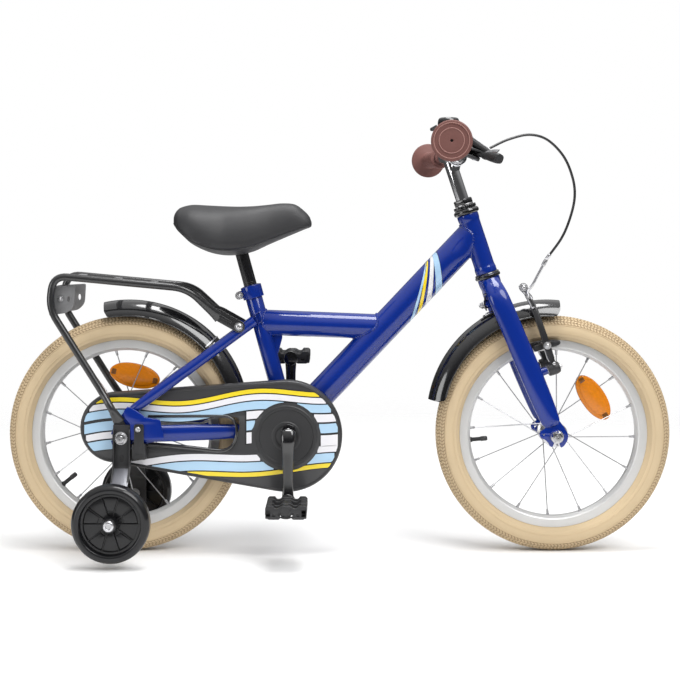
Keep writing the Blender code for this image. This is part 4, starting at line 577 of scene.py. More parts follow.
def buildWheel(end):
    spot, w = wheelPlaces[end], wheelSizes
    centre, body = spot["axle"], end + "_wheel"
    piece(end + "TyreDressed", body,
            [(tyreRubber, revolve(tyreSection(), centre, leftward, w["steps"])), (tyreGrooveShade, treadBed(centre)),
            (tyreRubber, treadBlocks(centre), sidewallRings(centre))], [end + "_tyre"], sharp=30)
    piece(end + "RimDressed", body,
            [(rimMetal, revolve(rimSection(), centre, leftward, w["steps"]))], [end + "_rim"], sharp=24)
    spokes, nipples, heads = [], [], []
    for i in range(w["spokes"]):
        a, b, outward = spokeEnds(spot, i)
        way = (b - a).normalized()
        spokes.append(rod(a, b, w["spoke"], 8, 0.0002))
        base = b - way * 0.0095
        nipples.append(revolve([(0, 0), (0.0017, 0), (0.002, 0.0008), (0.002, 0.006), (0.0026, 0.008),
                (0.0026, 0.01), (0, 0.01)], base, way, 10))
        heads.append(revolve([(0, 0), (0.0021, 0), (0.0021, 0.0006), (0.0012, 0.0013), (0, 0.0014)],
                a + leftward * 0.0006 * outward, leftward * outward, 10))
    piece(end + "HubDressed", body,
            [(silverMetal, hubShell(spot)), (spokeSteel, spokes, nipples), (zincSteel, heads)],
            [end + "_hub"], sharp=40)
    buildValve(end, spot, body)
    buildSpokeReflector(end, spot, body)


def buildValve(end, spot, body):
    a = spot["valve"]
    way = -Vector((cos(a), 0, sin(a)))
    start = spot["axle"] - way * (wheelSizes["rimInner"] + 0.001)
    stem = revolve([(0, 0), (0.0048, 0), (0.0044, 0.003), (0.0034, 0.005), (0.0033, 0.019), (0, 0.019)],
            start, way, 24)
    ribs = [(0.0038 + (0.0003 if k % 2 else 0.0)) for k in range(32)]
    cap = loft([[frameAt(start + way * h, way) @ Vector((*polar(r * s, 2 * pi * k / 32), 0)) for k,
            r in enumerate(ribs)] for h, s in ((0.0185, 0.92), (0.0195, 1.0), (0.0285, 0.96), (0.03, 0.7))])
    piece(end + "ValveDressed", body, [(padRubber, stem), (blackPlastic, cap)], [end + "_valve"])


def buildSpokeReflector(end, spot, body):
    # lens with a raised field on both faces and two dark clips on the spokes
    low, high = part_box(end + "_spoke_reflector")
    at = Vector((spot["spot"][0], (low.y + high.y) / 2, spot["spot"][1]))
    way = Vector((cos(spot["tilt"]), 0, sin(spot["tilt"])))
    place = frameAt(at, -leftward, way)
    length, height, thick = 0.087, 0.041, 0.0085
    lens = [(length / 2 * bulge(cos(a), 0.92), height / 2 * bulge(sin(a), 1.05))
            for a in (2 * pi * k / 56 for k in range(56))]
    inner = [(x * 0.8, y * 0.72) for x, y in lens]
    tray = plate([lens], -thick / 2, thick / 2, place, 0.0016, 3)
    field = plate([inner], thick / 2 - 0.0004, thick / 2 + 0.001, place, 0.0005, 2)
    back = plate([inner], -thick / 2 - 0.001, -thick / 2 + 0.0004, place, 0.0005, 2)
    clips = []
    for s in (-1, 1):
        x = s * (length / 2 - 0.0075)
        clips.append(plate([rounded(oblong(x - 0.004, x + 0.004, -0.0045, 0.0045), 0.0015, 3)],
                -thick / 2 - 0.0016, thick / 2 + 0.0016, place, 0.0005))
    piece(end + "SpokeReflectorDressed", body,
            [(amberLens, tray, field, back), (amberClip, clips)], [end + "_spoke_reflector"])


for end in ("front", "rear"):
    buildWheel(end)
print("wheels done")


# Frame

frameSizes = {"downEnd": Vector((0.22848, 0, 0.53996)), "downRadius": 0.025,
        "midStart": Vector((-0.13507, 0, 0.388)), "midEnd": Vector((0.07655, 0, 0.3795)), "midRadius": 0.0215,
        "seatRadius": 0.0143, "shell": 0.0275, "shellHalf": 0.034, "headLow": 0.2941, "headHigh": 0.3991,
        "headRadius": 0.0175}
downWay = (frameSizes["downEnd"] - bracket).normalized()
downRise = Vector((-downWay.z, 0, downWay.x))
stripes = (((0.3205, 1.795), (0.0055, 0.0018), (0.38, 0.58, 0.8)), ((0.33, 1.447), (0.0056, 0.0026),
        (0.9, 0.66, 0.02)), ((0.3467, 1.24), (0.0082, 0.0028), (0.76, 0.76, 0.78)),
        ((0.3634, 0.84), (0.009, 0.0042), (0.38, 0.58, 0.8)))


def stripePatch(side, middle, slope, widths, grow, lift):
    # thin strip laid round the down tube, wide at the bottom and narrow at the top
    r = frameSizes["downRadius"]
    rings = []
    steps = 36
    for k in range(steps + 1):
        a = radians(-86) + radians(172) * k / steps
        v, share = r * sin(a), k / steps
        half = widths[0] + (widths[1] - widths[0]) * share + grow
        t = middle + slope * v + 0.003 * (1 - (2 * share - 1) ** 2)
        ring = []
        for along, high in oblong(t - half, t + half, lift, -0.0002):
            q = r + high
            ring.append(bracket + downWay * along + downRise * q * sin(a) + leftward * side * q * cos(a))
        rings.append(ring)
    return loft(rings)


def buildMainTubes():
    f = frameSizes
    shell = turned(oblong(0.015, f["shell"], -f["shellHalf"], f["shellHalf"]), 0.0012, 3, bracket, leftward, 72)
    cups = []
    for _, side in bothSides():
        # two points of every twelve lie deeper: the notches for the spanner
        notched = [0.0244 if k % 12 in (1, 2) else 0.0262 for k in range(96)]
        ring = [polar(r, 2 * pi * k / 96) for k, r in enumerate(notched)]
        cups.append(plate([ring, circle(0, 0, 0.0148, 48)], f["shellHalf"] - 0.0005, f["shellHalf"] + 0.0036,
                frameAt(bracket, leftward * side), 0.0004))
    seatTube = tube([bracket + seatUp * 0.01, bracket + seatUp * 0.13, seatTop - seatUp * 0.0016,
            seatTop - seatUp * 0.0003], [f["seatRadius"]] * 3 + [f["seatRadius"] - 0.0006], 56)
    beads = [weldBead(bracket, seatUp, (f["seatRadius"], f["seatRadius"]), bracket, leftward,
            f["shell"], 0.002, 30)]
    gusset = sidePlate([rounded([(-0.105, 0.334), (-0.0965, 0.366, 0.006), (-0.108, 0.3725), (-0.131, 0.3725),
            (-0.122, 0.33)], 0.002, 3)], -0.0022, 0.0022, 0.0006)
    piece("seatTubeDressed", "frame", [(bluePaint, shell, seatTube, beads, gusset),
            (blackMetal, cups)], ["seat_tube"])
    r, squeezed = f["downRadius"], f["headRadius"] + 0.0006
    end = (f["downEnd"] - bracket).length
    rows = [(0.012, r), (0.2, r), (end - 0.07, r), (end - 0.055, r - 0.0004), (end - 0.04, r - 0.0022),
            (end - 0.028, squeezed + 0.0006), (end - 0.015, squeezed), (end, squeezed)]
    down = tube([bracket + downWay * t for t, _ in rows], [(w, r) for _, w in rows], 72)
    low = weldBead(bracket, downWay, (r, r), bracket, leftward, f["shell"], 0.0022, 44)
    high = weldBead(f["downEnd"], -downWay, (f["headRadius"] - 0.0004, r), f["downEnd"], steerUp,
            f["headRadius"], 0.002, 46)
    bits = [(bluePaint, down, low, high)]
    for _, side in bothSides():
        for (middle, slope), widths, colour in stripes:
            bits.append((stripeInks[None], stripePatch(side, middle, slope, widths, 0.0011, 0.00012)))
            bits.append((stripeInks[colour], stripePatch(side, middle, slope, widths, 0.0, 0.00022)))
    piece("downTubeDressed", "frame", bits, ["down_tube"])
    way = (f["midEnd"] - f["midStart"]).normalized()
    r = f["midRadius"]
    seams = [weldBead(f["midStart"], way, (f["seatRadius"] - 0.0006, r), f["midStart"], seatUp, f["seatRadius"],
            0.002, 40), weldBead(f["midEnd"], -way, (r, r), f["midEnd"], downWay, f["downRadius"], 0.0021, 44)]
    rows = [(0.004, 0.015), (0.016, 0.0168), (0.03, 0.02), (0.04, r), (0.12, r)]
    path = [f["midStart"] + way * t for t, _ in rows] + [f["midEnd"]]
    piece("midTubeDressed", "frame",
            [(bluePaint, tube(path, [(w, r) for _, w in rows] + [(r, r)], 64), seams)], ["mid_tube"])
    h, flare = f["headRadius"], 0.001
    length = f["headHigh"] - f["headLow"]
    profile = rounded([(0.015, 0), (h + flare, 0, 0.0012), (h + flare, 0.0085, 0.002), (h, 0.0125, 0.002),
            (h, length - 0.0125, 0.002), (h + flare, length - 0.0085, 0.002), (h + flare, length, 0.0012),
            (0.015, length)], 0.0, 4)
    piece("headTubeDressed", "frame",
            [(bluePaint, revolve(profile, onSteer(f["headLow"]), steerUp, 80))], ["head_tube"])


stays = {"width": 0.007, "height": 0.0135, "round": 0.0078, "inner": 0.055, "plate": 0.005, "slot": 0.0051,
        "chain": ((-0.09582, 0.0235, 0.206, 0.76), (-0.12582, 0.027, 0.206, 0.8),
        (-0.16782, 0.031, 0.206, 0.86), (-0.23582, 0.044, 0.206, 1), (-0.317, 0.062, 0.206, 1),
        (-0.333, 0.062, 0.206, 0.86)), "seat": ((-0.347, 0.0575, 0.2435), (-0.28238, 0.0575, 0.2907),
        (-0.17939, 0.0265, 0.36593), (-0.14507, 0.017, 0.391)), "bridge": Vector((-0.1953, 0, 0.35431)),
        "bolt": rackBolt}


def buildStays(name, side):
    outward = leftward * side
    s = stays
    rows = smoothLine([Vector((x, side * y, z, share)) for x, y, z, share in s["chain"]], 8)
    rows.append(Vector((-0.3375, side * 0.062, 0.206, 0.62)))
    rings = [ovalRing(p.xyz, leftward, upward, s["width"] * (0.75 if i == len(rows) - 1 else 1),
            s["height"] * p.w, 36, 2.6) for i, p in enumerate(rows)]
    ax, az, slot = rearAxle.x, rearAxle.z, s["slot"]
    outline = [(ax + 0.062, az - 0.006, 0.004), (ax + 0.03, az - 0.012, 0.01), (ax + 0.008, az - 0.019, 0.006),
            (ax - 0.014, az - 0.017, 0.005), (ax - 0.018, az - slot, 0.002), (ax, az - slot, 0)]
    outline += arc(ax, az, slot, -pi / 2, pi / 2, 15)[1:]
    outline += [(ax - 0.018, az + slot, 0.002), (ax - 0.014, az + 0.016, 0.005), (-0.35307, 0.25182, 0.003),
            (-0.34093, 0.23518, 0.004), (ax + 0.062, az + 0.018, 0.004)]
    dropout = sidePlate([rounded(outline, 0.0, 5)], side * s["inner"], side * (s["inner"] + s["plate"]), 0.0007)
    ends = [Vector((x, side * y, z)) for x, y, z in s["seat"]]
    lug = sidePlate([rounded([(-0.356, 0.2405), (-0.348, 0.236), (-0.335, 0.244), (-0.3455, 0.252)], 0.003, 3)],
            side * 0.0545, side * 0.0605, 0.0006)
    seam = weldBead(bracket, Vector((-1, side * 0.22, -0.02)), (0.007, 0.0103), bracket, leftward,
            frameSizes["shell"], 0.0018, 24)
    cheek = sidePlate([rounded([(-0.3472, 0.1965, 0.002), (-0.3472, 0.223, 0.002), (-0.356, 0.233, 0.002),
            (-0.359, 0.244, 0.004), (-0.35, 0.253, 0.006), (-0.328, 0.24, 0.01), (-0.323, 0.2345, 0.004),
            (-0.2975, 0.2305, 0.003), (-0.296, 0.221, 0.008), (-0.29, 0.1965, 0.006)], 0.0, 5)], side * 0.066,
            side * 0.0705, 0.0012)
    bits = [(bluePaint, loft(rings), dropout, lug, seam, cheek)]
    if name == "right":
        # black holder of the chain case: a tab with a bolt on the stay's end and the block below it
        tab = sidePlate([rounded([(-0.3404, 0.2232, 0.004), (-0.3404, 0.174, 0.002), (-0.3242, 0.174, 0.002),
                (-0.3242, 0.2232, 0.004)], 0.0, 4)], -0.0712, -0.0732, 0.0006)
        blockBelow = block((0.0245, 0.015, 0.026), Matrix.Translation((-0.3335, -0.064, 0.177)), 0.002)
        bits += [(blackMetal, tab), (blackPlastic, blockBelow),
                (zincSteel, domeBolt(Vector((-0.3338, -0.073, 0.2145)), -leftward, 0.0044, 0.0026))]
    piece("chainStayDressed" + name.title(), "frame", bits, ["chain_stay_" + name])
    path = bentLine(ends, 0.05, 10)
    way = (path[1] - path[0]).normalized()
    path = [path[0] - way * 0.001, path[0] + way * 0.002, path[0] + way * 0.006] + path[1:]
    radii = [0.0055, 0.007, s["round"]] + [(s["round"], s["round"] * 1.16)] * (len(path) - 3)
    parts = [tube(path, radii, 28), rod(s["bolt"] + outward * 0.014, s["bolt"] + outward * 0.0318, 0.0078, 32)]
    parts.append(weldBead(ends[-1], Vector((-0.03432, side * 0.0095, -0.02507)), (s["round"], s["round"]),
            frameSizes["midStart"], seatUp, frameSizes["seatRadius"], 0.0017, 26))
    if name == "right":
        parts.append(rod(s["bridge"] - leftward * 0.03, s["bridge"] + leftward * 0.03, 0.0055, 28))
    parts.append(domeBolt(ends[0] + outward * 0.003, outward, 0.0045, 0.002))
    piece("seatStayDressed" + name.title(), "frame", [(bluePaint, parts)], ["seat_stay_" + name])


def buildSeatClamp():
    inside, outside, height = 0.0146, 0.0178, 0.021
    at = seatTop - seatUp * (height - 0.001)
    gapHalf = radians(4)
    ring = rounded([(inside, 0), (outside, 0), (outside, height), (0.0116, height + 0.0018),
            (0.0116, height - 0.0004), (inside, height - 0.0006)], 0.0006, 3)
    collar = revolve(ring, at, seatUp, 72, 2 * pi - 2 * gapHalf, seatBack * cos(gapHalf)
            + seatUp.cross(seatBack) * sin(gapHalf))
    middle = at + seatUp * height / 2
    ears, bolt = [], []
    for _, side in bothSides():
        place = frameAt(middle + seatBack * (outside + 0.0035) + leftward * side * 0.0052, leftward, seatUp)
        ears.append(block((0.0135, 0.0125, 0.0078), place, 0.0022))
    centre = middle + seatBack * (outside + 0.0048)
    bolt.append(rod(centre - leftward * 0.012, centre + leftward * 0.012, 0.0034, 24))
    bolt.append(domeBolt(centre + leftward * 0.0088, leftward, 0.0055, 0.005))
    bolt.append(revolve(oblong(0, 0.0068, 0, 0.0012), centre - leftward * 0.0088, -leftward, 32))
    bolt += nut(centre - leftward * 0.0092, -leftward, 0.0058, 0.0045)
    piece("seatClampDressed", "frame", [(bluePaint, collar, ears), (zincSteel, bolt)],
            ["seat_clamp"])


def buildHeadset():
    f, bore = frameSizes, 0.0134
    low = onSteer(crownTop + 0.0003)
    lower = turned([(bore, 0), (0.0195, 0), (0.0218, 0.0012), (0.0218, 0.0052), (0.0205, 0.0058),
            (0.0205, 0.0066), (0.0214, 0.0072), (0.02, 0.0089), (bore, 0.0089)], 0.0005, 3, low, steerUp, 72)
    piece("headsetLowerDressed", "frame", [(blackGloss, lower)], ["headset_lower"])
    high = onSteer(f["headHigh"] + 0.0003)
    cup = turned([(bore, 0), (0.0195, 0), (0.0216, 0.0016), (0.0219, 0.005), (0.0214, 0.007), (0.0182, 0.0096),
            (bore, 0.01)], 0.0006, 3, high, steerUp, 72)
    lobes = [polar(0.0188 + 0.0006 * cos(a * 12), a) for a in (2 * pi * k / 144 for k in range(144))]
    race = plate([lobes, circle(0, 0, bore, 48)], 0.0098, 0.0152, frameAt(high, steerUp), 0.0007)
    washer = turned(oblong(bore, 0.0158, 0.0155, 0.0178), 0.0004, 2, high, steerUp, 56)
    top = plate([hexagon(0.0176), circle(0, 0, bore, 48)], 0.0178, 0.0262, frameAt(high, steerUp), 0.0012)
    lip = turned(oblong(bore, 0.0146, 0.0255, 0.0268), 0.0003, 2, high, steerUp, 56)
    piece("headsetUpperDressed", "frame", [(blackGloss, cup, race), (zincSteel, washer),
            (blackGloss, top), (blackMetal, lip)], ["headset_upper"])


stripeInks = {None: makeFinish("stripeEdge", (0.012, 0.014, 0.04), 0.35, coat=0.6)}
for colour in {row[2] for row in stripes}:
    stripeInks[colour] = makeFinish("stripeInk%02d" % round(colour[2] * 99), colour, 0.32, coat=0.7, drift=0.03)
buildMainTubes()
for name, side in bothSides():
    buildStays(name, side)
buildSeatClamp()
buildHeadset()
print("frame done")


# Fork

forkSizes = {"crown": crownTop, "foot": 0.262, "inner": 0.047, "plate": 0.005, "slot": 0.0051,
        "bossHeight": 0.109, "bossY": 0.041, "plane": 0.053, "rows": ((0.279, 0.0004, 0.0175, 0.0144, 0.0076),
        (0.264, 0.00148, 0.031, 0.0162, 0.00903), (0.244, 0.00292, 0.0392, 0.01746, 0.0095),
        (0.19, 0.00681, 0.0435, 0.018, 0.0095), (0.1, 0.01329, 0.0472, 0.01854, 0.0095),
        (0.034, 0.01805, 0.049, 0.0162, 0.0076), (0.02, 0.01906, 0.0492, 0.01188, 0.00532))}


def buildForkCrown():
    f = forkSizes
    base, top = f["crown"], 0.4221
    profile = rounded([(0.0114, f["foot"]), (0.0165, f["foot"], 0.001), (0.019, base - 0.01, 0.004),
            (0.019, base, 0.0008), (0.0127, base, 0.0006), (0.0127, top, 0.0005), (0.0114, top)], 0.0, 4)
    seams = []
    for _, side in bothSides():
        a, b = onSteer(0.264, 0.0015, side * 0.031), onSteer(0.279, 0.0004, side * 0.0175)
        seams.append(weldBead(b, a - b, (0.009, 0.0152), onSteer(0.279), steerUp, 0.0188, 0.0019, 34))
    bolt = [rod(onSteer(0.243, -0.0165), onSteer(0.243, -0.03), 0.003, 20)]
    bolt += nut(onSteer(0.243, -0.0225), -steerAhead, 0.0056, 0.005)
    lug = rod(onSteer(0.243, 0.01), onSteer(0.243, -0.0205), 0.0072, 32, 0.001)
    piece("forkCrownDressed", "fork",
            [(bluePaint, revolve(profile, onSteer(0), steerUp, 72), seams, lug), (zincSteel, bolt)],
            ["fork_crown"])


def buildForkLeg(name, side):
    f = forkSizes
    rows = smoothLine([Vector(row) for row in f["rows"]], 8)
    rings = []
    for i, (h, ahead, out, a, b) in enumerate(rows):
        before, after = rows[max(i - 1, 0)], rows[min(i + 1, len(rows) - 1)]
        run = onSteer(after[0], after[1], side * after[2]) - onSteer(before[0], before[1], side * before[2])
        across = run.cross(steerAhead).normalized()
        rings.append(ovalRing(onSteer(h, ahead, side * out), steerAhead, across, a, b, 40, 2.3))
    ax, az = frontAxle.x, frontAxle.z
    # dropout: a claw open at the bottom, with a small eye to the rear
    front = ((0.0013, 0.03, 0.006), (0.0115, 0.0166, 0.01), (0.0187, 0.0038, 0.008), (0.0179, -0.0055, 0.008),
            (0.0115, -0.0158, 0.004), (0.0064, -0.0186, 0.002), (0.0046, -0.015, 0.001))
    back = ((-0.0062, -0.014, 0.001), (-0.0083, -0.0178, 0.002), (-0.0123, -0.0158, 0.002),
            (-0.0158, -0.0089, 0.006), (-0.0209, -0.0043, 0.003), (-0.0268, -0.003, 0.004),
            (-0.0302, 0.003, 0.004), (-0.0272, 0.0098, 0.004), (-0.0192, 0.014, 0.002),
            (-0.0215, 0.0226, 0.002), (-0.02, 0.03, 0.002))
    throat = arc(0, 0, f["slot"], radians(-55), radians(235), 24)
    outline = [(ax + x, az + z) for x, z in rounded(list(front) + throat + list(back), 0.0, 4)]
    holes = [circle(ax - 0.0221, az + 0.0034, 0.0017, 16), circle(ax - 0.0045, az + 0.0205, 0.0022, 16)]
    y1, y2 = side * f["inner"], side * (f["inner"] + f["plate"])
    claw = sidePlate([outline] + holes, y1, y2, 0.0006)
    neckAt = onSteer(0.024, 0.01805, side * (f["inner"] + f["plate"] / 2))
    neck = block((0.034, 0.024, f["plate"] - 0.0006), frameAt(neckAt, leftward, steerUp), 0.0012)
    seam = weldBead(onSteer(0.03, 0.0184, side * 0.0492), -steerUp, (0.015, 0.0066),
            onSteer(0.012, 0.0184, side * 0.0492), steerUp.cross(leftward), 0.01, 0.0013, 26)
    ahead, plane = 0.01329, f["plane"]
    y = side * f["bossY"]
    seat = turned([(0, 0), (0.0078, 0, 0.001), (0.0072, plane - 0.028 - ahead, 0.001),
            (0.0062, plane - 0.01 - ahead, 0.001), (0.0062, plane - 0.0052 - ahead, 0.0006),
            (0, plane - 0.0052 - ahead)], 0.0, 3, onSteer(f["bossHeight"], ahead, y), steerAhead,
            36, closed=False)
    ring = turned(oblong(0.0064, 0.0088, 0, 0.0022), 0.0005, 2, onSteer(f["bossHeight"], ahead + 0.015, y),
            steerAhead, 36)
    stud = rod(onSteer(f["bossHeight"], plane - 0.006, y), onSteer(f["bossHeight"], plane + 0.0072,
            y), 0.0049, 28)
    piece("forkLegDressed" + name.title(), "fork",
            [(bluePaint, loft(rings), claw, neck, seam, seat, ring), (silverMetal, stud)], ["fork_leg_" + name])


def axleEnd(centre, side, face):
    # locknut, toothed washer, flanged hex nut and the threaded end of the shaft
    at, way = centre + leftward * side * face, leftward * side
    teeth = [polar(0.0112 if k % 2 else 0.0105, 2 * pi * k / 48) for k in range(48)]
    parts = [plate([teeth, circle(0, 0, 0.005, 24)], 0.0, 0.0014, frameAt(at, way), 0.0002),
            turned([(0.005, 0.0014), (0.0098, 0.0014), (0.0096, 0.0024), (0.0082, 0.003), (0.005, 0.003)],
            0.0004, 2, at, way, 40), plate([hexagon(0.0086)], 0.0026, 0.008, frameAt(at, way), 0.0006)]
    thread = []
    for k in range(7):
        h = 0.008 + 0.0007 * k
        thread += [(0.0046, h), (0.005, h + 0.00035)]
    parts.append(revolve([(0, 0.007)] + thread + [(0.0042, 0.0126), (0.0018, 0.0126), (0.0012, 0.0108),
            (0, 0.0106)], at, way, 28))
    return parts[:2], parts[2:]


nutSteel = makeFinish("nutSteel", (0.4, 0.4, 0.41), 0.22, metal=1.0, drift=0.12, smear=0.06)


def buildAxle(end, centre, face, seat, spacer, starts):
    parts, nuts = [rod(centre - leftward * (face + 0.004), centre + leftward * (face + 0.004), 0.0048, 28)], []
    for (_, side), start in zip(bothSides(), starts):
        way = leftward * side
        parts.append(turned(oblong(0.0048, spacer, start, seat), 0.0006, 2, centre, way, 36))
        parts.append(plate([hexagon(spacer * 0.98), circle(0, 0, 0.0049, 24)], seat - 0.004, seat,
                frameAt(centre, way), 0.0006))
        washers, bolts = axleEnd(centre, side, face)
        parts += washers
        nuts += bolts
    piece(end + "AxleDressed", "fork" if end == "front" else "frame",
            [(zincSteel, parts), (nutSteel, nuts)], [end + "_axle"])


# Mudguards

guardSizes = {"radius": 0.205, "half": 0.0285, "wall": 0.0016, "depth": 0.027, "edge": radians(78)}


def guardPoint(centre, turn, share, lift=0.0, edge=None):
    # share runs from -1 at the right rim to 1 at the left rim
    g = guardSizes
    edge = edge or g["edge"]
    b = edge * share
    r = g["radius"] - g["depth"] * (1 - cos(b)) / (1 - cos(g["edge"]))
    y = g["half"] * sin(b) / sin(g["edge"])
    dr, dy = -g["depth"] * sin(b) / (1 - cos(g["edge"])), g["half"] * cos(b) / sin(g["edge"])
    size = hypot(dr, dy)
    r, y = r + lift * dy / size, y - lift * dr / size
    return centre + Vector((r * cos(turn), y, r * sin(turn)))


def guardShell(centre, start, end, steps=84, across=24):
    g = guardSizes
    rings = []
    for k in range(steps + 1):
        turn = start + (end - start) * k / steps
        near = min(turn - start, end - turn) * g["radius"]
        corner = max(0.0, 1 - near / 0.011)
        edge = g["edge"] * (1 - 0.26 * (1 - sqrt(1 - corner ** 2)))
        ring = [guardPoint(centre, turn, -1 + 2 * i / across, 0.0, edge) for i in range(across + 1)]
        ring += [guardPoint(centre, turn, 1 - 2 * i / across, -g["wall"], edge) for i in range(across + 1)]
        rings.append(ring)
    rims = []
    for share in (-0.985, 0.985):
        rims.append(tube([guardPoint(centre, start + 0.055 + (end - start - 0.11) * k / steps, share, -0.0006)
                for k in range(steps + 1)], 0.0013, 10))
    return [loft(rings)] + rims


def guardBand(centre, lift, pairs):
    # thin band on the guard; each pair is its two edges as (turn, share)
    return loft([[guardPoint(centre, *a, lift), guardPoint(centre, *b, lift), guardPoint(centre, *b, 0.0001),
            guardPoint(centre, *a, 0.0001)] for a, b in pairs])


def guardStrap(centre, turn, width, lift, span=0.9):
    # metal strap over the guard from side to side
    half = width / 2 / guardSizes["radius"]
    shares = [-span + 2 * span * i / 32 for i in range(33)]
    return guardBand(centre, lift, [((turn - half, share), (turn + half, share)) for share in shares])


def buildMudguards():
    rearCentre, frontCentre = Vector((-0.359, 0, 0.2215)), Vector((0.353, 0, 0.2215))
    strapTurn = radians(41.5)
    strap = guardStrap(rearCentre, strapTurn, 0.016, 0.0012)
    screws = []
    for share in (-0.55, 0.55):
        at = guardPoint(rearCentre, strapTurn, share, 0.001)
        out = (guardPoint(rearCentre, strapTurn, share, 0.01) - at).normalized()
        screws.append(domeBolt(at, out, 0.0036, 0.0022))
    edges = [guardStrap(rearCentre, strapTurn + s * 0.034, 0.0018, 0.0018) for s in (-1, 1)]
    piece("rearMudguardDressed", "frame",
            [(blackGloss, guardShell(rearCentre, radians(9), radians(102))), (blackMetal, strap),
            (zincSteel, edges, screws)], ["rear_mudguard"])
    f = forkSizes
    top = f["foot"] - 0.0003
    middle = onSteer(top - 0.0015)
    away = (middle - frontCentre).normalized()
    reach = (middle - frontCentre).length
    start = guardSizes["radius"] - 0.0008
    stripPlace = frameAt(frontCentre + away * (start + reach) / 2, away, -steerAhead)
    strip = block((0.003, 0.018, reach - start), stripPlace, 0.0008)
    seat = turned(oblong(0, 0.0165, top - 0.003, top), 0.0005, 2, onSteer(0), steerUp, 56, closed=False)
    angle = atan2(away.z, away.x)
    turns = [angle + 0.02 + 0.17 * i / 12 for i in range(13)]
    holder = guardBand(frontCentre, 0.0016, [((turn, -0.26), (turn, 0.26)) for turn in turns])
    # two dark patches on the holder for its slots: painted shade standing in for the openings
    slots = []
    for turn in (angle + 0.075, angle + 0.145):
        at = guardPoint(frontCentre, turn, 0, 0.0014)
        out = (at - frontCentre).normalized()
        slots.append(plate([rounded(oblong(-0.006, 0.006, -0.0022, 0.0022), 0.0022, 4)], -0.0002, 0.0008,
                frameAt(at, out, leftward), 0.0002))
    at = guardPoint(frontCentre, angle + 0.11, 0, 0.0014)
    heads = domeBolt(at, (at - frontCentre).normalized(), 0.0042, 0.0026)
    riser = tube(bentLine([onSteer(0.256, -0.015), onSteer(0.245, -0.0205), onSteer(0.233, -0.0205)], 0.004, 5),
            [(0.008, 0.0012)] * 14, 16)
    piece("frontMudguardDressed", "fork",
            [(blackGloss, guardShell(frontCentre, radians(84), radians(170)), strip, seat),
            (blackMetal, holder), (padRubber, slots), (zincSteel, heads), (blackMetal, riser)],
            ["front_mudguard"])


# Rack

rackSizes = {"tube": 0.0062, "inner": 0.0603, "plate": 0.003, "tabInner": 0.0323,
        "path": ((-0.37, 0.0628, 0.232), (-0.381, 0.066, 0.2515), (-0.395, 0.058, 0.2735),
        (-0.484, 0.058, 0.4145), (-0.477, 0.058, 0.4685), (-0.255, 0.0551, 0.4475), (-0.211, 0.0382, 0.4055)),
        "bolt": rackBolt}


rackPaint = makeFinish("rackPaint", (0.02, 0.02, 0.021), 0.3, coat=0.45, coatRough=0.12, drift=0.1)
slatPaint = makeFinish("slatPaint", (0.38, 0.38, 0.39), 0.38, coat=0.3, drift=0.06)
rearBracket = makeFinish("rearBracket", (0.24, 0.24, 0.245), 0.36, metal=0.3, drift=0.08)


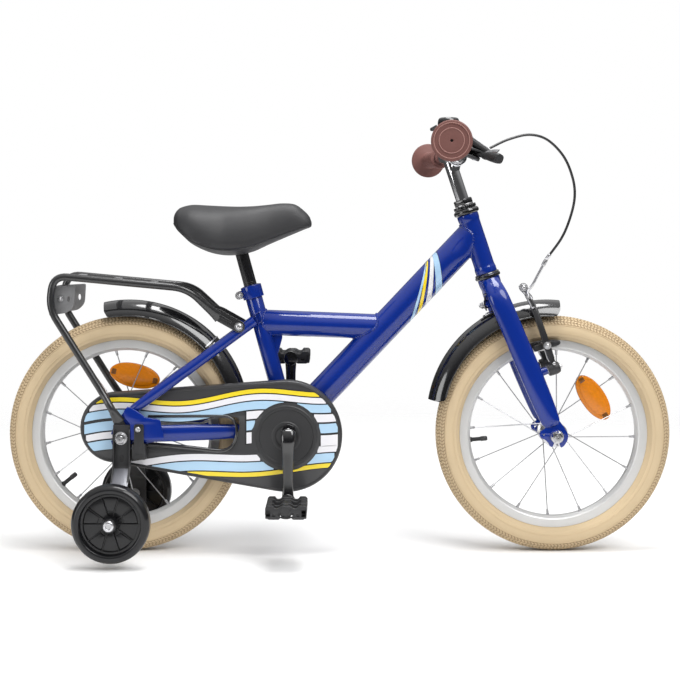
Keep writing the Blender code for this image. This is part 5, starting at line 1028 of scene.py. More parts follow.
def buildRack():
    s = rackSizes
    bits, bolts, slats, flaps = [], [], [], []
    bolt = s["bolt"]
    for _, side in bothSides():
        places = [Vector((x, side * y, z)) for x, y, z in s["path"]]
        line = bentLine(places, 0.024, 8)
        first, last = line[0], line[-1]
        startWay, endWay = (first - line[1]).normalized(), (last - line[-2]).normalized()
        line = [first + startWay * 0.008, first + startWay * 0.001] + line[1:-1] + [last, last + endWay * 0.012]
        line[0].y = side * (s["inner"] + s["plate"] / 2)
        line[-1].y = side * (s["tabInner"] + s["plate"] / 2)
        radii = [(0.0018, 0.01), (0.003, 0.009), (0.0048, 0.0072)] + [s["tube"]] * (len(line) - 6)
        radii += [s["tube"], (0.0042, 0.0078), (0.0018, 0.0098)]
        bits.append(tube(line, radii, 24))
        ax, az = rearAxle.x, rearAxle.z
        outline = arc(ax, az, 0.0115, pi - 0.3, 2 * pi + 0.3, 24)
        outline += [(ax + 0.007, az + 0.022, 0.006), (ax - 0.001, az + 0.036, 0.006),
                (ax - 0.014, az + 0.036, 0.006)]
        bits.append(sidePlate([rounded(outline, 0.0, 4), circle(ax, az, 0.0052, 24)], side * s["inner"],
                side * (s["inner"] + s["plate"]), 0.0007))
        run = Vector((bolt.x - last.x, 0, bolt.z - last.z)).normalized()
        across = Vector((-run.z, 0, run.x)) * 0.01
        lean = atan2(run.z, run.x)
        end = Vector((last.x, 0, last.z))
        tab = [(p.x, p.z, 0.006) for p in (end - run * 0.01 - across * 0.6, end + run * 0.004 - across)]
        tab += arc(bolt.x, bolt.z, 0.01, lean - pi / 2, lean + pi / 2, 20)
        tab += [(p.x, p.z, 0.006) for p in (end + run * 0.004 + across, end - run * 0.01 + across * 0.6)]
        inner, outer = s["tabInner"], s["tabInner"] + s["plate"]
        bits.append(sidePlate([rounded(tab, 0.0, 4)], side * inner, side * outer, 0.0007))
        # pressed ridge along the tab, narrower by the bolt
        spots = [(end, 0.004, w) for w in (-0.0028, 0.0028)] + [(bolt, -0.013, w) for w in (0.002, -0.002)]
        ridge = [(p.x + run.x * t - run.z * w, p.z + run.z * t + run.x * w) for p, t, w in spots]
        bits.append(sidePlate([rounded(ridge, 0.002, 4)], side * outer, side * (outer + 0.0012), 0.0005))
        bolts.append(revolve([(0, 0), (0.0072, 0), (0.0072, 0.0009), (0, 0.001)],
                bolt + leftward * side * outer, leftward * side, 36))
        bolts.append(domeBolt(bolt + leftward * side * (outer + 0.0006), leftward * side, 0.0058, 0.0038))
    rearTop, frontTop = Vector(s["path"][4]), Vector(s["path"][5])
    run = Vector((frontTop.x - rearTop.x, 0, frontTop.z - rearTop.z)).normalized()
    for share in (0.14, 0.42, 0.7):
        at = rearTop.lerp(frontTop, share)
        place = frameAt((at.x, 0, at.z + 0.001), Vector((-run.z, 0, run.x)), run)
        slats.append(block((0.012, 2 * at.y - 0.004, 0.004), place, 0.0011))
        for _, side in bothSides():
            lump = ovalRing(Vector((at.x, side * (at.y - 0.0058), at.z + 0.0006)), run,
                    Vector((-run.z, 0, run.x)), 0.0066, 0.003, 20)
            bits.append(loft([lump, [p + leftward * side * 0.0022 for p in lump]]))
    middle = Vector((-0.4819, 0, 0.4307))
    lean, out = Vector((0.12855, 0, 0.9917)), Vector((-0.9917, 0, 0.12855))
    panel = plate([rounded(oblong(-0.02, 0.02, -0.057, 0.057), 0.004, 4), circle(0, 0.03, 0.003, 20),
            circle(0, -0.03, 0.003, 20)], -0.00125, 0.00125, frameAt(middle, out, lean), 0.0005)
    # side flaps of the reflector's holder, each with an oval hole and a bolt
    shape = rounded([(-0.48, 0.45, 0.002), (-0.442, 0.452, 0.003), (-0.444, 0.417, 0.01),
            (-0.456, 0.406, 0.006), (-0.486, 0.402, 0.002)], 0.0, 4)
    oval = [(-0.453 + 0.0022 * cos(a), 0.429 + 0.0052 * sin(a)) for a in (2 * pi * k / 20 for k in range(20))]
    for _, side in bothSides():
        flaps.append(sidePlate([shape, oval], side * 0.047, side * 0.0492, 0.0005))
        bolts += nut(Vector((-0.4665, side * 0.0492, 0.43)), leftward * side, 0.0046, 0.0032)
    fold = block((0.0022, 0.108, 0.007), frameAt(middle + lean * 0.0192 - out * 0.003, out, lean), 0.0006)
    bolts.append(domeBolt(middle - out * 0.0012, -out, 0.004, 0.002))
    bolts += nut(middle - out * 0.0012, -out, 0.0048, 0.004)
    piece("rackDressed", "frame", [(rackPaint, bits, panel, fold), (slatPaint, slats),
            (rearBracket, flaps), (zincSteel, bolts)], ["rack"])
    start = middle + out * 0.00155
    shape = [(0.04 * cos(a), 0.019 * sin(a)) for a in (2 * pi * k / 64 for k in range(64))]
    lens = plate([[(x * 0.92, y * 0.9) for x, y in shape]], 0.001, 0.008,
            frameAt(start, out, leftward), 0.0022, 4)
    shell = plate([shape], 0.0, 0.0055, frameAt(start, out, leftward), 0.0012, 3)
    piece("rearReflectorDressed", "frame", [(blackPlastic, shell), (redLens, lens)],
            ["rear_reflector"])


buildForkCrown()
for name, side in bothSides():
    buildForkLeg(name, side)
buildAxle("front", frontAxle, 0.0523, 0.0467, 0.0078, (0.0359, 0.0359))
buildAxle("rear", rearAxle, 0.0676, 0.0547, 0.008, (0.046, 0.033))
buildMudguards()
buildRack()
print("fork, mudguards and rack done")


# Chain case

caseSizes = {"front": (-0.08932, 0.1995, 0.0935), "rear": (-0.376, 0.214, 0.0585), "face": -0.0485,
        "depth": 0.0195, "wall": 0.0018, "bevel": 0.0045, "top": 0.232, "bottom": 0.1735, "back": -0.329,
        "ahead": -0.1678, "disc": 0.0521}


def beltOutline(inset=0.0, count=40):
    # outline round the two circles, drawn in by the inset
    (x1, z1, r1), (x2, z2, r2) = caseSizes["front"], caseSizes["rear"]
    r1, r2 = r1 - inset, r2 - inset
    dx, dz = x2 - x1, z2 - z1
    gapLength, heading = hypot(dx, dz), atan2(dz, dx)
    tilt = acos((r1 - r2) / gapLength)
    front = arc(x1, z1, r1, heading + tilt, heading + 2 * pi - tilt, count)
    rear = arc(x2, z2, r2, heading - tilt, heading + tilt, count)
    return front + rear


def windowOutline(grow=0.0):
    s = caseSizes
    left, low, ahead, high = s["back"] - grow, s["bottom"] - grow, s["ahead"] + grow, s["top"] + grow
    points = [(left, low + 0.012, 0.006), (left + 0.02, low, 0.01), (ahead - 0.024, low, 0.006),
            (ahead - 0.018, low + 0.003, 0.004), (ahead - 0.003, low + 0.031, 0.005),
            (ahead, low + 0.039, 0.005), (ahead, high, 0.016), (left, high, 0.004)]
    return rounded(points, 0.0, 6)


def clippedBand(lower, upper, shape, steps=150):
    # the part of a wavy band that lies inside a closed outline, cut into upright slices
    xs = [p[0] for p in shape]
    x1, x2 = min(xs), max(xs)
    pieces, run = [], []
    for k in range(steps + 1):
        x = x1 + (x2 - x1) * (k + 0.5) / (steps + 1)
        cuts = []
        for i in range(len(shape)):
            (ax, az), (bx, bz) = shape[i], shape[(i + 1) % len(shape)]
            if (ax - x) * (bx - x) < 0:
                cuts.append(az + (bz - az) * (x - ax) / (bx - ax))
        if len(cuts) >= 2:
            a, b = max(lower(x), min(cuts)), min(upper(x), max(cuts))
            if b - a > 0.0006:
                run.append((x, a, b))
                continue
        if len(run) > 2:
            pieces.append(run)
        run = []
    if len(run) > 2:
        pieces.append(run)
    return pieces


def bandSheet(run, y):
    # thin raised sheet on the case's face
    bm = bmesh.new()
    rows = []
    for x, a, b in run:
        rows.append([bm.verts.new((x, y, z)) for z in (a, b)] + [bm.verts.new((x, y + 0.0004, z))
                for z in (a, b)])
    for p, q in zip(rows, rows[1:]):
        bm.faces.new((p[0], q[0], q[1], p[1]))
        bm.faces.new((p[2], p[3], q[3], q[2]))
        bm.faces.new((p[0], p[2], q[2], q[0]))
        bm.faces.new((p[1], q[1], q[3], p[3]))
    for p in (rows[0], rows[-1]):
        bm.faces.new((p[0], p[1], p[3], p[2]))
    return bm


caseInks = {"sky": makeFinish("caseSky", (0.42, 0.62, 0.8), 0.34, coat=0.5, drift=0.03),
        "pearl": makeFinish("casePearl", (0.8, 0.79, 0.82), 0.34, coat=0.5, drift=0.03),
        "sun": makeFinish("caseSun", (0.86, 0.66, 0.02), 0.34, coat=0.5, drift=0.03),
        "line": makeFinish("caseLine", (0.006, 0.006, 0.008), 0.4, coat=0.4)}
casePlastic = makeFinish("casePlastic", (0.036, 0.036, 0.038), 0.4, coat=0.25, drift=0.06, grain=0.25,
        grainScale=1600.0)
# pale grey for the strip above the window: a painted highlight, the glare line of the case's upper rim
casePaintedGlare = makeFinish("casePaintedGlare", (0.3, 0.3, 0.31), 0.42, drift=0.05)


def caseBands():
    # plain slanted waves of three colours with dark edges, above and below the window
    def edge(base):
        swing = 1 if base > 0.175 else -0.6
        return lambda x: base + 0.0065 * sin((x + 0.2) * 26.0) * swing + 0.06 * (x + 0.2)

    rows = [("sky", 0.235, 0.2485, -1, 1), ("pearl", 0.2505, 0.26, -1, 1), ("sun", 0.262, 0.269, -1, 1),
            ("pearl", 0.159, 0.1695, -1, 1), ("sky", 0.142, 0.157, -1, 1), ("sun", 0.133, 0.14, -1, 1),
            ("pearl", 0.2195, 0.2325, -0.158, 1), ("sky", 0.201, 0.2165, -0.158, 1),
            ("pearl", 0.179, 0.1975, -0.158, 1), ("sky", 0.2145, 0.23, -1, -0.34),
            ("pearl", 0.201, 0.212, -1, -0.34), ("sky", 0.183, 0.1985, -1, -0.34)]
    return [(name, edge(a), edge(b), x1, x2) for name, a, b, x1, x2 in rows]


def beltLoft(outline, rows):
    # band that follows an outline; each row is how far it is drawn in or grown, and its Y
    return loft([[Vector((x, y, z)) for x, z in outline(step)] for step, y in rows], closed=True)


def buildChainCase():
    s = caseSizes
    face, depth, wall = s["face"], s["depth"], s["wall"]
    window = windowOutline()
    flat = beltOutline(s["bevel"])
    axle = circle(rearAxle.x, rearAxle.z, 0.0125, 32)
    rings = []
    for k in range(7):
        a = radians(90) * k / 6
        rings.append((s["bevel"] * (1 - cos(a)), face + s["bevel"] * (1 - sin(a))))
    profile = rings[::-1] + [(0.0, face + depth)]
    profile += [(wall, face + depth), (wall, face + s["bevel"] + wall), (s["bevel"] + wall, face + wall)]
    parts = [beltLoft(beltOutline, profile), sidePlate([flat, window, axle], face + 0.0001,
            face + wall, 0.0002)]
    rim = beltLoft(windowOutline, oblong(0.0, 0.0016, face - 0.0003, face + 0.007))
    flange = beltLoft(beltOutline, oblong(-0.0002, 0.0026, face + depth - 0.0016, face + depth))
    bits = [(casePlastic, parts, rim, flange)]
    shape = beltOutline(0.0062)
    (gapX, gapZ, _), gapReach = s["front"], s["disc"] + 0.0052
    for name, lower, upper, first, last in caseBands():
        for grow, ink, lift in ((0.0015, "line", 0.0003), (0.0, name, 0.00042)):
            for run in clippedBand(lambda x: lower(x) - grow, lambda x: upper(x) + grow, shape):
                clean = []
                for x, a, b in run:
                    if not first - grow <= x <= last + grow:
                        continue
                    reach = gapReach ** 2 - (x - gapX) ** 2
                    cut = sqrt(reach) if reach > 0 else 0
                    if cut and a > gapZ:
                        a = max(a, gapZ + cut)
                    elif cut:
                        b = min(b, gapZ - cut)
                    if b - a > 0.0006:
                        clean.append((x, a, b))
                if len(clean) > 2:
                    gaps = [i for i in range(1, len(clean)) if clean[i][0] - clean[i - 1][0] > 0.004]
                    for i, j in zip([0] + gaps, gaps + [len(clean)]):
                        if j - i > 2:
                            bits.append((caseInks[ink], bandSheet(clean[i:j], face - lift)))
    # thick lip round the window, heavy below and fine above
    lip = smoothLine([Vector((x, face - 0.0006, z)) for x, z in ((-0.333, 0.1872), (-0.3, 0.185),
            (-0.25, 0.1806), (-0.21, 0.1762), (-0.192, 0.1765), (-0.179, 0.185), (-0.1725, 0.202),
            (-0.174, 0.22), (-0.183, 0.231), (-0.2, 0.2335), (-0.26, 0.2335), (-0.32, 0.2335))], 8)
    count = len(lip) - 1
    bits.append((blackGloss, tube(lip,
            [0.0046 - 0.0022 * min(1, 1.6 * k / count) for k in range(count + 1)], 16)))
    under = [(p.x, p.z) for p in lip[:30]] + [(lip[29].x, s["bottom"] - 0.003), (-0.333, s["bottom"] - 0.003)]
    bits.append((casePlastic, sidePlate([under], face + 0.0004, face + 0.0022, 0.0003)))
    border = beltLoft(beltOutline, ((0.0014, face + 0.0016), (0.0022, face - 0.0002), (0.0042, face - 0.0009),
            (0.0058, face - 0.0002), (0.0058, face + 0.0006)))
    bits.append((blackPlastic, border))
    # pale strip above the window, set back behind the face: a painted highlight standing for the glare line
    # along the case's upper rim
    band = loft([[Vector((x, y, z)) for y, z in oblong(face + 0.003, face + 0.015, s["top"] + 0.0045,
            s["top"] + 0.0062)] for x in (s["back"] + 0.014, s["ahead"] - 0.018)])
    bits.append((casePaintedGlare, band))
    x, z = rearAxle.x + 0.002, rearAxle.z
    tab = sidePlate([rounded([(x - 0.0085, z + 0.03, 0.003), (x - 0.0085, z + 0.0115, 0.002),
            (x + 0.0085, z + 0.0115, 0.002), (x + 0.0085, z + 0.03, 0.003)], 0.0, 4)],
            face - 0.0016, face, 0.0005)
    screws = [domeBolt((rearAxle.x, face - 0.0014, z + 0.0225), -leftward, 0.0034, 0.0022)]
    bits += [(blackPlastic, tab), (zincSteel, screws)]
    piece("chainCaseDressed", "frame", bits, ["chain_case"])


def buildCaseDisc():
    s = caseSizes
    x, z, _ = s["front"]
    r = s["disc"]
    at = Vector((x, s["face"], z))
    front = s["face"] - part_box("chain_case_disc")[0].y
    profile = rounded([(0.0172, 0.0004), (r, 0.0004, 0), (r, front - 0.0012, 0.0012),
            (r - 0.0016, front, 0.0008), (r - 0.0065, front, 0.0008), (r - 0.0078, front - 0.0014, 0.0008),
            (0.025, front - 0.0014, 0.001), (0.0236, front, 0.0008), (0.0185, front, 0.0008),
            (0.0168, front - 0.0014, 0.0006), (0.0168, 0.0004)], 0.0, 3)
    disc = revolve(profile, at, -leftward, 96)
    piece("chainCaseDiscDressed", "frame", [(blackPlastic, disc)], ["chain_case_disc"])


# Chain, chainring, sprocket and coaster arm

driveSizes = {"y": -0.042, "ring": 0.068821, "ringTeeth": 34, "cog": 0.036568, "cogTeeth": 18,
        "cogPhase": 1.745329, "roller": 0.0038, "pitch": 0.0127, "slack": 0.0058567, "plate": 0.008,
        "thick": 0.001, "inner": 0.0036}
driveFront, driveUp = Vector((0.99953, 0, 0.03065)), Vector((-0.03065, 0, 0.99953))


def drivePlace(x, z, y=0.0):
    return rearAxle + driveFront * x + driveUp * z + leftward * (driveSizes["y"] + y)


def chainPins():
    # 19 pins on the ring, 9 on the cog and 21 on each run between them, which sags a little
    d = driveSizes
    reach = (bracket - rearAxle).length
    turns = [2 * pi * i / d["ringTeeth"] for i in range(-9, 10)]
    ring = [(reach + d["ring"] * cos(a), d["ring"] * sin(a)) for a in turns]
    cog = [polar(d["cog"], d["cogPhase"] + 2 * pi * i / d["cogTeeth"]) for i in range(9)]

    def sagging(a, b, hand):
        heading = atan2(b[1] - a[1], b[0] - a[0]) + hand * d["slack"] * 10.5
        x, z, points = a[0], a[1], []
        for _ in range(21):
            x, z = x + d["pitch"] * cos(heading), z + d["pitch"] * sin(heading)
            points.append((x, z))
            heading -= hand * d["slack"]
        return points
    return ring + sagging(ring[-1], cog[0], 1) + cog + sagging(cog[-1], ring[0], -1)


def linkPlate(a, b, low, high):
    # waisted side plate of one link
    half, waist = driveSizes["plate"] / 2, driveSizes["plate"] * 0.34
    way = (b - a).normalized()
    mid, length = (a + b) / 2, (b - a).length
    points = []
    for s in (1, -1):
        points += [(s * (length / 2 + half * cos(t)), s * half * sin(t))
                for t in (radians(-80 + 20 * k) for k in range(9))]
        points.append((0.0, s * waist))
    return plate([points], low, high, frameAt(mid, leftward, way), 0.0002, 1)


def buildChain():
    d = driveSizes
    pins = [drivePlace(x, z) for x, z in chainPins()]
    dark, bright = [], []
    half = d["inner"] / 2
    for i, pin in enumerate(pins):
        after = pins[(i + 1) % len(pins)]
        near = half + (0.0 if i % 2 else d["thick"])
        for s in (-1, 1):
            dark.append(linkPlate(pin, after, *sorted((s * near, s * (near + d["thick"] * 0.96)))))
        bright.append(rod(pin - leftward * half, pin + leftward * half, d["roller"], 14, 0.0003))
        reach = half + 2 * d["thick"] + 0.0004
        bright.append(rod(pin - leftward * reach, pin + leftward * reach, 0.0017, 10, 0.0003))
    piece("chainDressed", "frame", [(oiledSteel, dark), (zincSteel, bright)], ["chain"])


def toothOutline(count, radius, phase):
    # round seats for the rollers, with a pointed tooth between them
    seat = driveSizes["roller"] + 0.0001
    points = []
    for i in range(count):
        a = phase + 2 * pi * i / count
        for k in range(5):
            b = a + pi + radians(-52 + 26 * k)
            points.append((radius * cos(a) + seat * cos(b), radius * sin(a) + seat * sin(b)))
        for share, lift in ((0.34, 0.0012), (0.42, 0.0032), (0.5, 0.0036), (0.58, 0.0032), (0.66, 0.0012)):
            b = a + 2 * pi * share / count
            points.append(polar(radius + lift, b))
    return points


def buildSprockets():
    d = driveSizes
    place = frameAt(bracket + leftward * d["y"], -leftward, driveFront)
    shapes = [toothOutline(d["ringTeeth"], d["ring"], 0.0), circle(0, 0, 0.011, 36)]
    for k in range(5):
        a = 2 * pi * k / 5 + 0.3
        shapes.append(rounded([polar(0.03, a - 0.4), polar(0.056, a - 0.46), (*polar(0.0585, a), 0.02),
                polar(0.056, a + 0.46), polar(0.03, a + 0.4), (*polar(0.027, a), 0.02)], 0.005, 4))
    ring = plate(shapes, -0.0011, 0.0011, place, 0.0003)
    piece("chainringDressed", "crank", [(blackMetal, ring)], ["chainring"])
    place = frameAt(rearAxle + leftward * d["y"], -leftward, driveFront)
    cog = plate([toothOutline(d["cogTeeth"], d["cog"], d["cogPhase"]), circle(0, 0, 0.0105, 32)], -0.0012,
            0.0012, place, 0.0003)
    sleeve = turned(oblong(0.0104, 0.015, -0.0032, 0.0032), 0.0004, 2,
            rearAxle + leftward * d["y"], leftward, 40)
    piece("rearSprocketDressed", "rear_sprocket", [(zincSteel, cog, sleeve)], ["rear_sprocket"])


def buildCoasterArm():
    y = 0.0547
    ax, az = rearAxle.x, rearAxle.z
    eye = arc(ax, az, 0.0185, radians(35), radians(325), 40)
    eye += [(ax + 0.03, az - 0.004, 0.004), (ax + 0.044, 0.2, 0.003), (ax + 0.044, 0.212, 0.003),
            (ax + 0.03, az + 0.015, 0.004)]
    head = sidePlate([rounded(eye, 0.0, 4), circle(ax, az, 0.009, 30)], y - 0.0024, y, 0.0006)
    boss = turned([(0.009, 0), (0.0165, 0), (0.0165, 0.0022), (0.009, 0.004)], 0.0006, 2, (ax, y - 0.0024, az),
            -leftward, 48)
    rings = []
    for x, inward, half in ((ax + 0.04, 0.0, 0.0068), (ax + 0.046, 0.0, 0.0065), (ax + 0.086, 0.0093, 0.0058),
            (ax + 0.126, 0.0186, 0.005)):
        rings.append(ovalRing(Vector((x, y - 0.0012 - inward, 0.206)), leftward, upward, 0.0012, half, 28, 5.0))
    strap = loft(rings)
    tip = turned(oblong(0, 0.005, 0, 0.0024), 0.0004, 2, (ax + 0.1255, y - 0.0186, 0.206), -leftward,
            28, closed=False)
    piece("coasterArmDressed", "frame", [(zincSteel, head, boss, strap, tip)], ["coaster_arm"])


# Crank and pedals

crankSizes = {"length": 0.112, "inner": 0.07, "eye": 0.0735, "spindle": 0.1625, "pedal": 0.0845}


def buildCrank():
    bits, shine = [rod(bracket - leftward * 0.07, bracket + leftward * 0.07, 0.008, 32, 0.001)], []
    for _, side in bothSides():
        outward = leftward * side
        way = upward * side
        rings = []
        rows = smoothLine([Vector(row) for row in ((-0.006, -0.004, 0.008, 0.005),
                (-0.002, -0.003, 0.0112, 0.007), (0.012, 0, 0.0118, 0.0078), (0.034, 0.001, 0.0096, 0.0062),
                (0.08, 0.0025, 0.0085, 0.0055), (0.106, 0.0035, 0.01, 0.006))], 7)
        for along, out, a, b in rows:
            centre = bracket + way * along + outward * (crankSizes["inner"] + out)
            rings.append(ovalRing(centre, forward, leftward, a, b, 36, 3.0))
        bits.append(loft(rings))
        eye = bracket + way * crankSizes["length"] + outward * crankSizes["eye"]
        bits.append(turned(oblong(0, 0.0125, -0.007, 0.007), 0.0014, 3, eye, outward, 48, closed=False))
        shine.append(rod(eye + outward * 0.006,
                eye + outward * (crankSizes["spindle"] - crankSizes["eye"]), 0.006, 28))
        shine.append(plate([hexagon(0.0086)], 0.0074, 0.01, frameAt(eye, outward), 0.0005))
        cone = bracket + outward * 0.038
        shine.append(turned([(0.008, 0), (0.0142, 0), (0.0142, 0.0038), (0.0125, 0.005), (0.008, 0.005)],
                0.0005, 2, cone, outward, 40))
        shine.append(plate([hexagon(0.014), circle(0, 0, 0.0081, 28)], 0.0052, 0.0098,
                frameAt(cone, outward), 0.0007))
    hub = turned(oblong(0.0078, 0.0125, -0.0535, -0.0385), 0.001, 3, bracket, leftward, 44)
    piece("crankDressed", "crank", [(blackGloss, bits, hub), (zincSteel, shine)], ["crank"])


def pedalPlate(half, high):
    # end plate with ears at both ends, a raised round middle and a dipped underside
    corner = [(half, -high + 0.006, 0.004), (half, high - 0.003, 0.002), (half - 0.0035, high, 0.0012),
            (half - 0.0125, high, 0.0012), (half - 0.0155, high - 0.0042, 0.002), (0.012, high - 0.0042, 0.003),
            (0.007, high - 0.0006, 0.004)]
    right = corner + [(-x, z, r) for x, z, r in corner[::-1]]
    low = [(-half + 0.004, -high, 0.004), (-0.011, -high, 0.003), (-0.0085, -high + 0.003, 0.003),
            (0.0085, -high + 0.003, 0.003), (0.011, -high, 0.003), (half - 0.004, -high, 0.004)]
    return rounded(right + low, 0.0, 5)


def buildPedal(name, side):
    outward = leftward * side
    centre = bracket + upward * side * crankSizes["length"]
    inner, wide, half, high = crankSizes["pedal"], 0.084, 0.033, 0.011
    middle = centre + outward * (inner + wide / 2)
    plastic, lamps = [], []
    outline = pedalPlate(half, high)
    arch = [(0.0125 * cos(a), -0.0005 - 0.0085 * abs(sin(a)) ** 0.8) for a in (pi * k / 16 for k in range(17))]
    arch += [(0.0088 * cos(a), -0.0005 - 0.0042 * abs(sin(a))) for a in (pi - pi * k / 16 for k in range(17))]
    slots = [rounded([(s * 0.0165, -0.0062), (s * 0.0165, -0.0022), (s * 0.0215, -0.0022),
            (s * 0.0215, -0.0062)], 0.001, 3) for s in (-1, 1)]
    for y, thick, holes in ((-wide / 2 + 0.0035, 0.007, slots), (wide / 2 - 0.0035, 0.007, slots + [arch]),
            (-0.0165, 0.0034, []), (0.0165, 0.0034, [])):
        shapes = [[(middle.x + a, middle.z + b) for a, b in shape] for shape in [outline] + holes]
        plastic.append(sidePlate(shapes, middle.y + side * (y - thick / 2),
                middle.y + side * (y + thick / 2), 0.001))
    face = middle + outward * wide / 2
    plastic.append(turned([(0, -0.002), (0.0082, -0.002), (0.0082, 0.0006), (0.006, 0.0014), (0, 0.0014)],
            0.0006, 3, face + upward * 0.0022, outward, 36, closed=False))
    for k in range(10):
        a = 2 * pi * k / 10
        spot = face + Vector((0.0066 * cos(a), side * 0.0012, 0.0022 + 0.0066 * sin(a)))
        plastic.append(block((0.0024, 0.001, 0.001),
                frameAt(spot, leftward, Vector((cos(a), 0, sin(a)))), 0.0003))
    for end in (-1, 1):
        place = frameAt(middle + Vector((end * (half - 0.0048), 0, -0.0012)), forward, leftward)
        shape = rounded(oblong(-wide / 2, wide / 2, -0.0088, 0.0088), 0.0035, 4)
        window = rounded(oblong(-0.0265, 0.0265, -0.0058, 0.0058), 0.0015, 3)
        plastic.append(plate([shape, window], -0.0044, 0.0044, place, 0.0009, 3))
        lens = rounded(oblong(-0.0262, 0.0262, -0.0055, 0.0055), 0.0015, 3)
        lamps.append(plate([lens], -0.003, 0.003, place, 0.0006))
        for k in range(7):
            for up in (-1, 1):
                spot = middle + Vector((end * (half - 0.006), -0.03 + 0.01 * k, up * 0.0092 - 0.0006))
                plastic.append(block((0.008, 0.0036, 0.0026), Matrix.Translation(spot), 0.0007))
    barrel = turned([(0.0062, -wide / 2), (0.0098, -wide / 2), (0.0098, wide / 2 - 0.002),
            (0, wide / 2 - 0.002)], 0.001, 3, middle, outward, 36, closed=False)
    for s in (-1, 1):
        plastic.append(block((0.019, 0.07, 0.0034),
                Matrix.Translation(middle + Vector((s * 0.0185, 0, 0))), 0.0009))
    piece("pedalDressed" + name.title(), "pedal_" + name, [(blackPlastic, plastic, barrel),
            (amberLens, lamps)], ["pedal_" + name])


buildChainCase()
buildCaseDisc()
buildChain()
buildSprockets()
buildCoasterArm()
buildCrank()
for name, side in bothSides():
    buildPedal(name, side)
print("drive done")


# Handlebar, stem and grips

barSizes = {"middle": Vector((0.19967, 0, 0.669)), "radius": 0.0111, "bore": 0.0114, "half": 0.262,
        "grip": 0.105, "side": ((0.045, 0.0, 0.0), (0.082, -0.004, 0.00679), (0.262, -0.031, 0.0097))}


def barPoint(y):
    # a point on the straight part of the bar, by its distance to the side
    m, (y1, x1, z1), (y2, x2, z2) = barSizes["middle"], barSizes["side"][1], barSizes["side"][2]
    share = (abs(y) - y1) / (y2 - y1)
    return Vector((m.x + x1 + (x2 - x1) * share, y, m.z + z1 + (z2 - z1) * share))


def barWay(side):
    return (barPoint(side * barSizes["half"]) - barPoint(side * 0.1)).normalized()


def buildHandlebar():
    b = barSizes
    places = [b["middle"] + Vector((x, s * y, z)) for s in (-1, 1) for y, x,
            z in (b["side"][::-1] if s < 0 else b["side"])]
    places[0] -= barWay(-1) * 0.006
    places[-1] -= barWay(1) * 0.006
    line = bentLine(places, 0.06, 10)
    bar = tube(line, b["radius"], 40)
    knurl = []
    for k in range(1, 6):
        for s in (-1, 1):
            at = b["middle"] + leftward * s * (0.0225 + 0.0022 * k)
            knurl.append(turned(oblong(0.0108, 0.01125, -0.0006, 0.0006), 0.0003, 2, at, leftward, 36))
    piece("handlebarDressed", "handlebar", [(chromePlate, bar, knurl)], ["handlebar"])


def buildStem():
    b = barSizes
    top = (b["middle"] - steerFoot).dot(steerUp)
    low = 0.2965
    profile = rounded([(0, low), (0.0111, low), (0.0111, top - 0.004), (0.0082, top + 0.003), (0, top + 0.004)],
            0.0012, 3, False)
    quill = revolve(profile, onSteer(0), steerUp, 56)
    sleeve = rounded(oblong(b["bore"], 0.0159, -0.02, 0.02), 0.0014, 4)
    clamp = revolve(sleeve, b["middle"], leftward, 64)
    rings = []
    for share, a, c in ((0.0, 0.0112, 0.0112), (0.4, 0.0116, 0.0122), (0.8, 0.012, 0.015), (1.0, 0.011, 0.016)):
        at = onSteer(top - 0.022).lerp(b["middle"] - forward * 0.001, share)
        rings.append(ovalRing(at, steerAhead, leftward, a, c, 40, 2.2))
    neck = loft(rings)
    expander = domeBolt(onSteer(top + 0.0025), steerUp, 0.006, 0.003)
    piece("stemDressed", "handlebar", [(chromePlate, quill, clamp, neck),
            (zincSteel, expander)], ["stem"])


# lighter copy of the grip's red-brown for two rings on its end: a painted highlight on their edges
gripRimHighlight = makeFinish("gripRimHighlight", (0.36, 0.19, 0.165), 0.5, drift=0.08)


def buildGrip(name, side):
    b = barSizes
    way, end = barWay(side), barPoint(side * b["half"])
    inside, length, r = b["radius"] + 0.0004, b["grip"], 0.015
    profile = [(inside, -0.0045, 0), (inside, -length, 0), (r + 0.0026, -length, 0.0012),
            (r + 0.004, 0.0032 - length, 0.0014), (r + 0.0026, 0.0062 - length, 0.0016),
            (r - 0.0012, 0.0078 - length, 0.001)]
    start, stop, ribs = 0.0096 - length, -0.015, 26
    for k in range(ribs):
        a = start + (stop - start) * k / ribs
        step = (stop - start) / ribs
        profile += [(r - 0.001, a, 0.0003), (r - 0.001, a + step * 0.34, 0.0003), (r, a + step * 0.42, 0.0004),
                (r, a + step * 0.92, 0.0004)]
    profile += [(r - 0.0006, -0.014, 0.001), (r + 0.0006, -0.0118, 0.002), (0.03, -0.006, 0.0018),
            (0.0318, -0.0048, 0.0014), (0.0318, -0.0014, 0.0014), (0.03, 0.0001, 0.001),
            (0.0276, 0.0001, 0.0006), (0.027, -0.0008, 0.0006), (0.0196, -0.0008, 0.0006), (0.019, 0.0, 0.0006),
            (0.0026, 0.0, 0.0004), (0.0022, -0.001, 0.0002), (0.0022, -0.0045, 0)]
    body = turned(profile, 0.0, 3, end, way, 72)
    plug = revolve(oblong(0, 0.0044, -0.0052, -0.0034), end, way, 24)
    # lighter rings at the edges of the grip's end face: painted highlight
    rims = [turned([(r1 - 0.0009, -0.001), (r1 + 0.0009, -0.001), (r1 + 0.0005, 0.0006), (r1 - 0.0005, 0.0006)],
            0.0003, 2, end, way, 72) for r1 in (0.0271, 0.0191)]
    piece("gripDressed" + name.title(), "handlebar", [(gripRubber, body), (gripRimHighlight, rims),
            (padRubber, plug)], ["grip_" + name])


# Brake lever, its bracket and the bell

leverPivot = Vector((0.21952, -0.13, 0.66503))
leverWay, leverAxis = Vector((0.93969, 0, -0.34202)), Vector((0.34202, 0, 0.93969))
leverNose = Vector((0.21901, -0.118, 0.66362))
cableStart, cableStartWay = Vector((0.23621, -0.114, 0.67302)), Vector((0.85979, 0.19995, 0.46988))


# pale grey for the line along the lever's bracket: a painted highlight
leverPaintedHighlight = makeFinish("leverPaintedHighlight", (0.62, 0.62, 0.63), 0.35, coat=0.3)


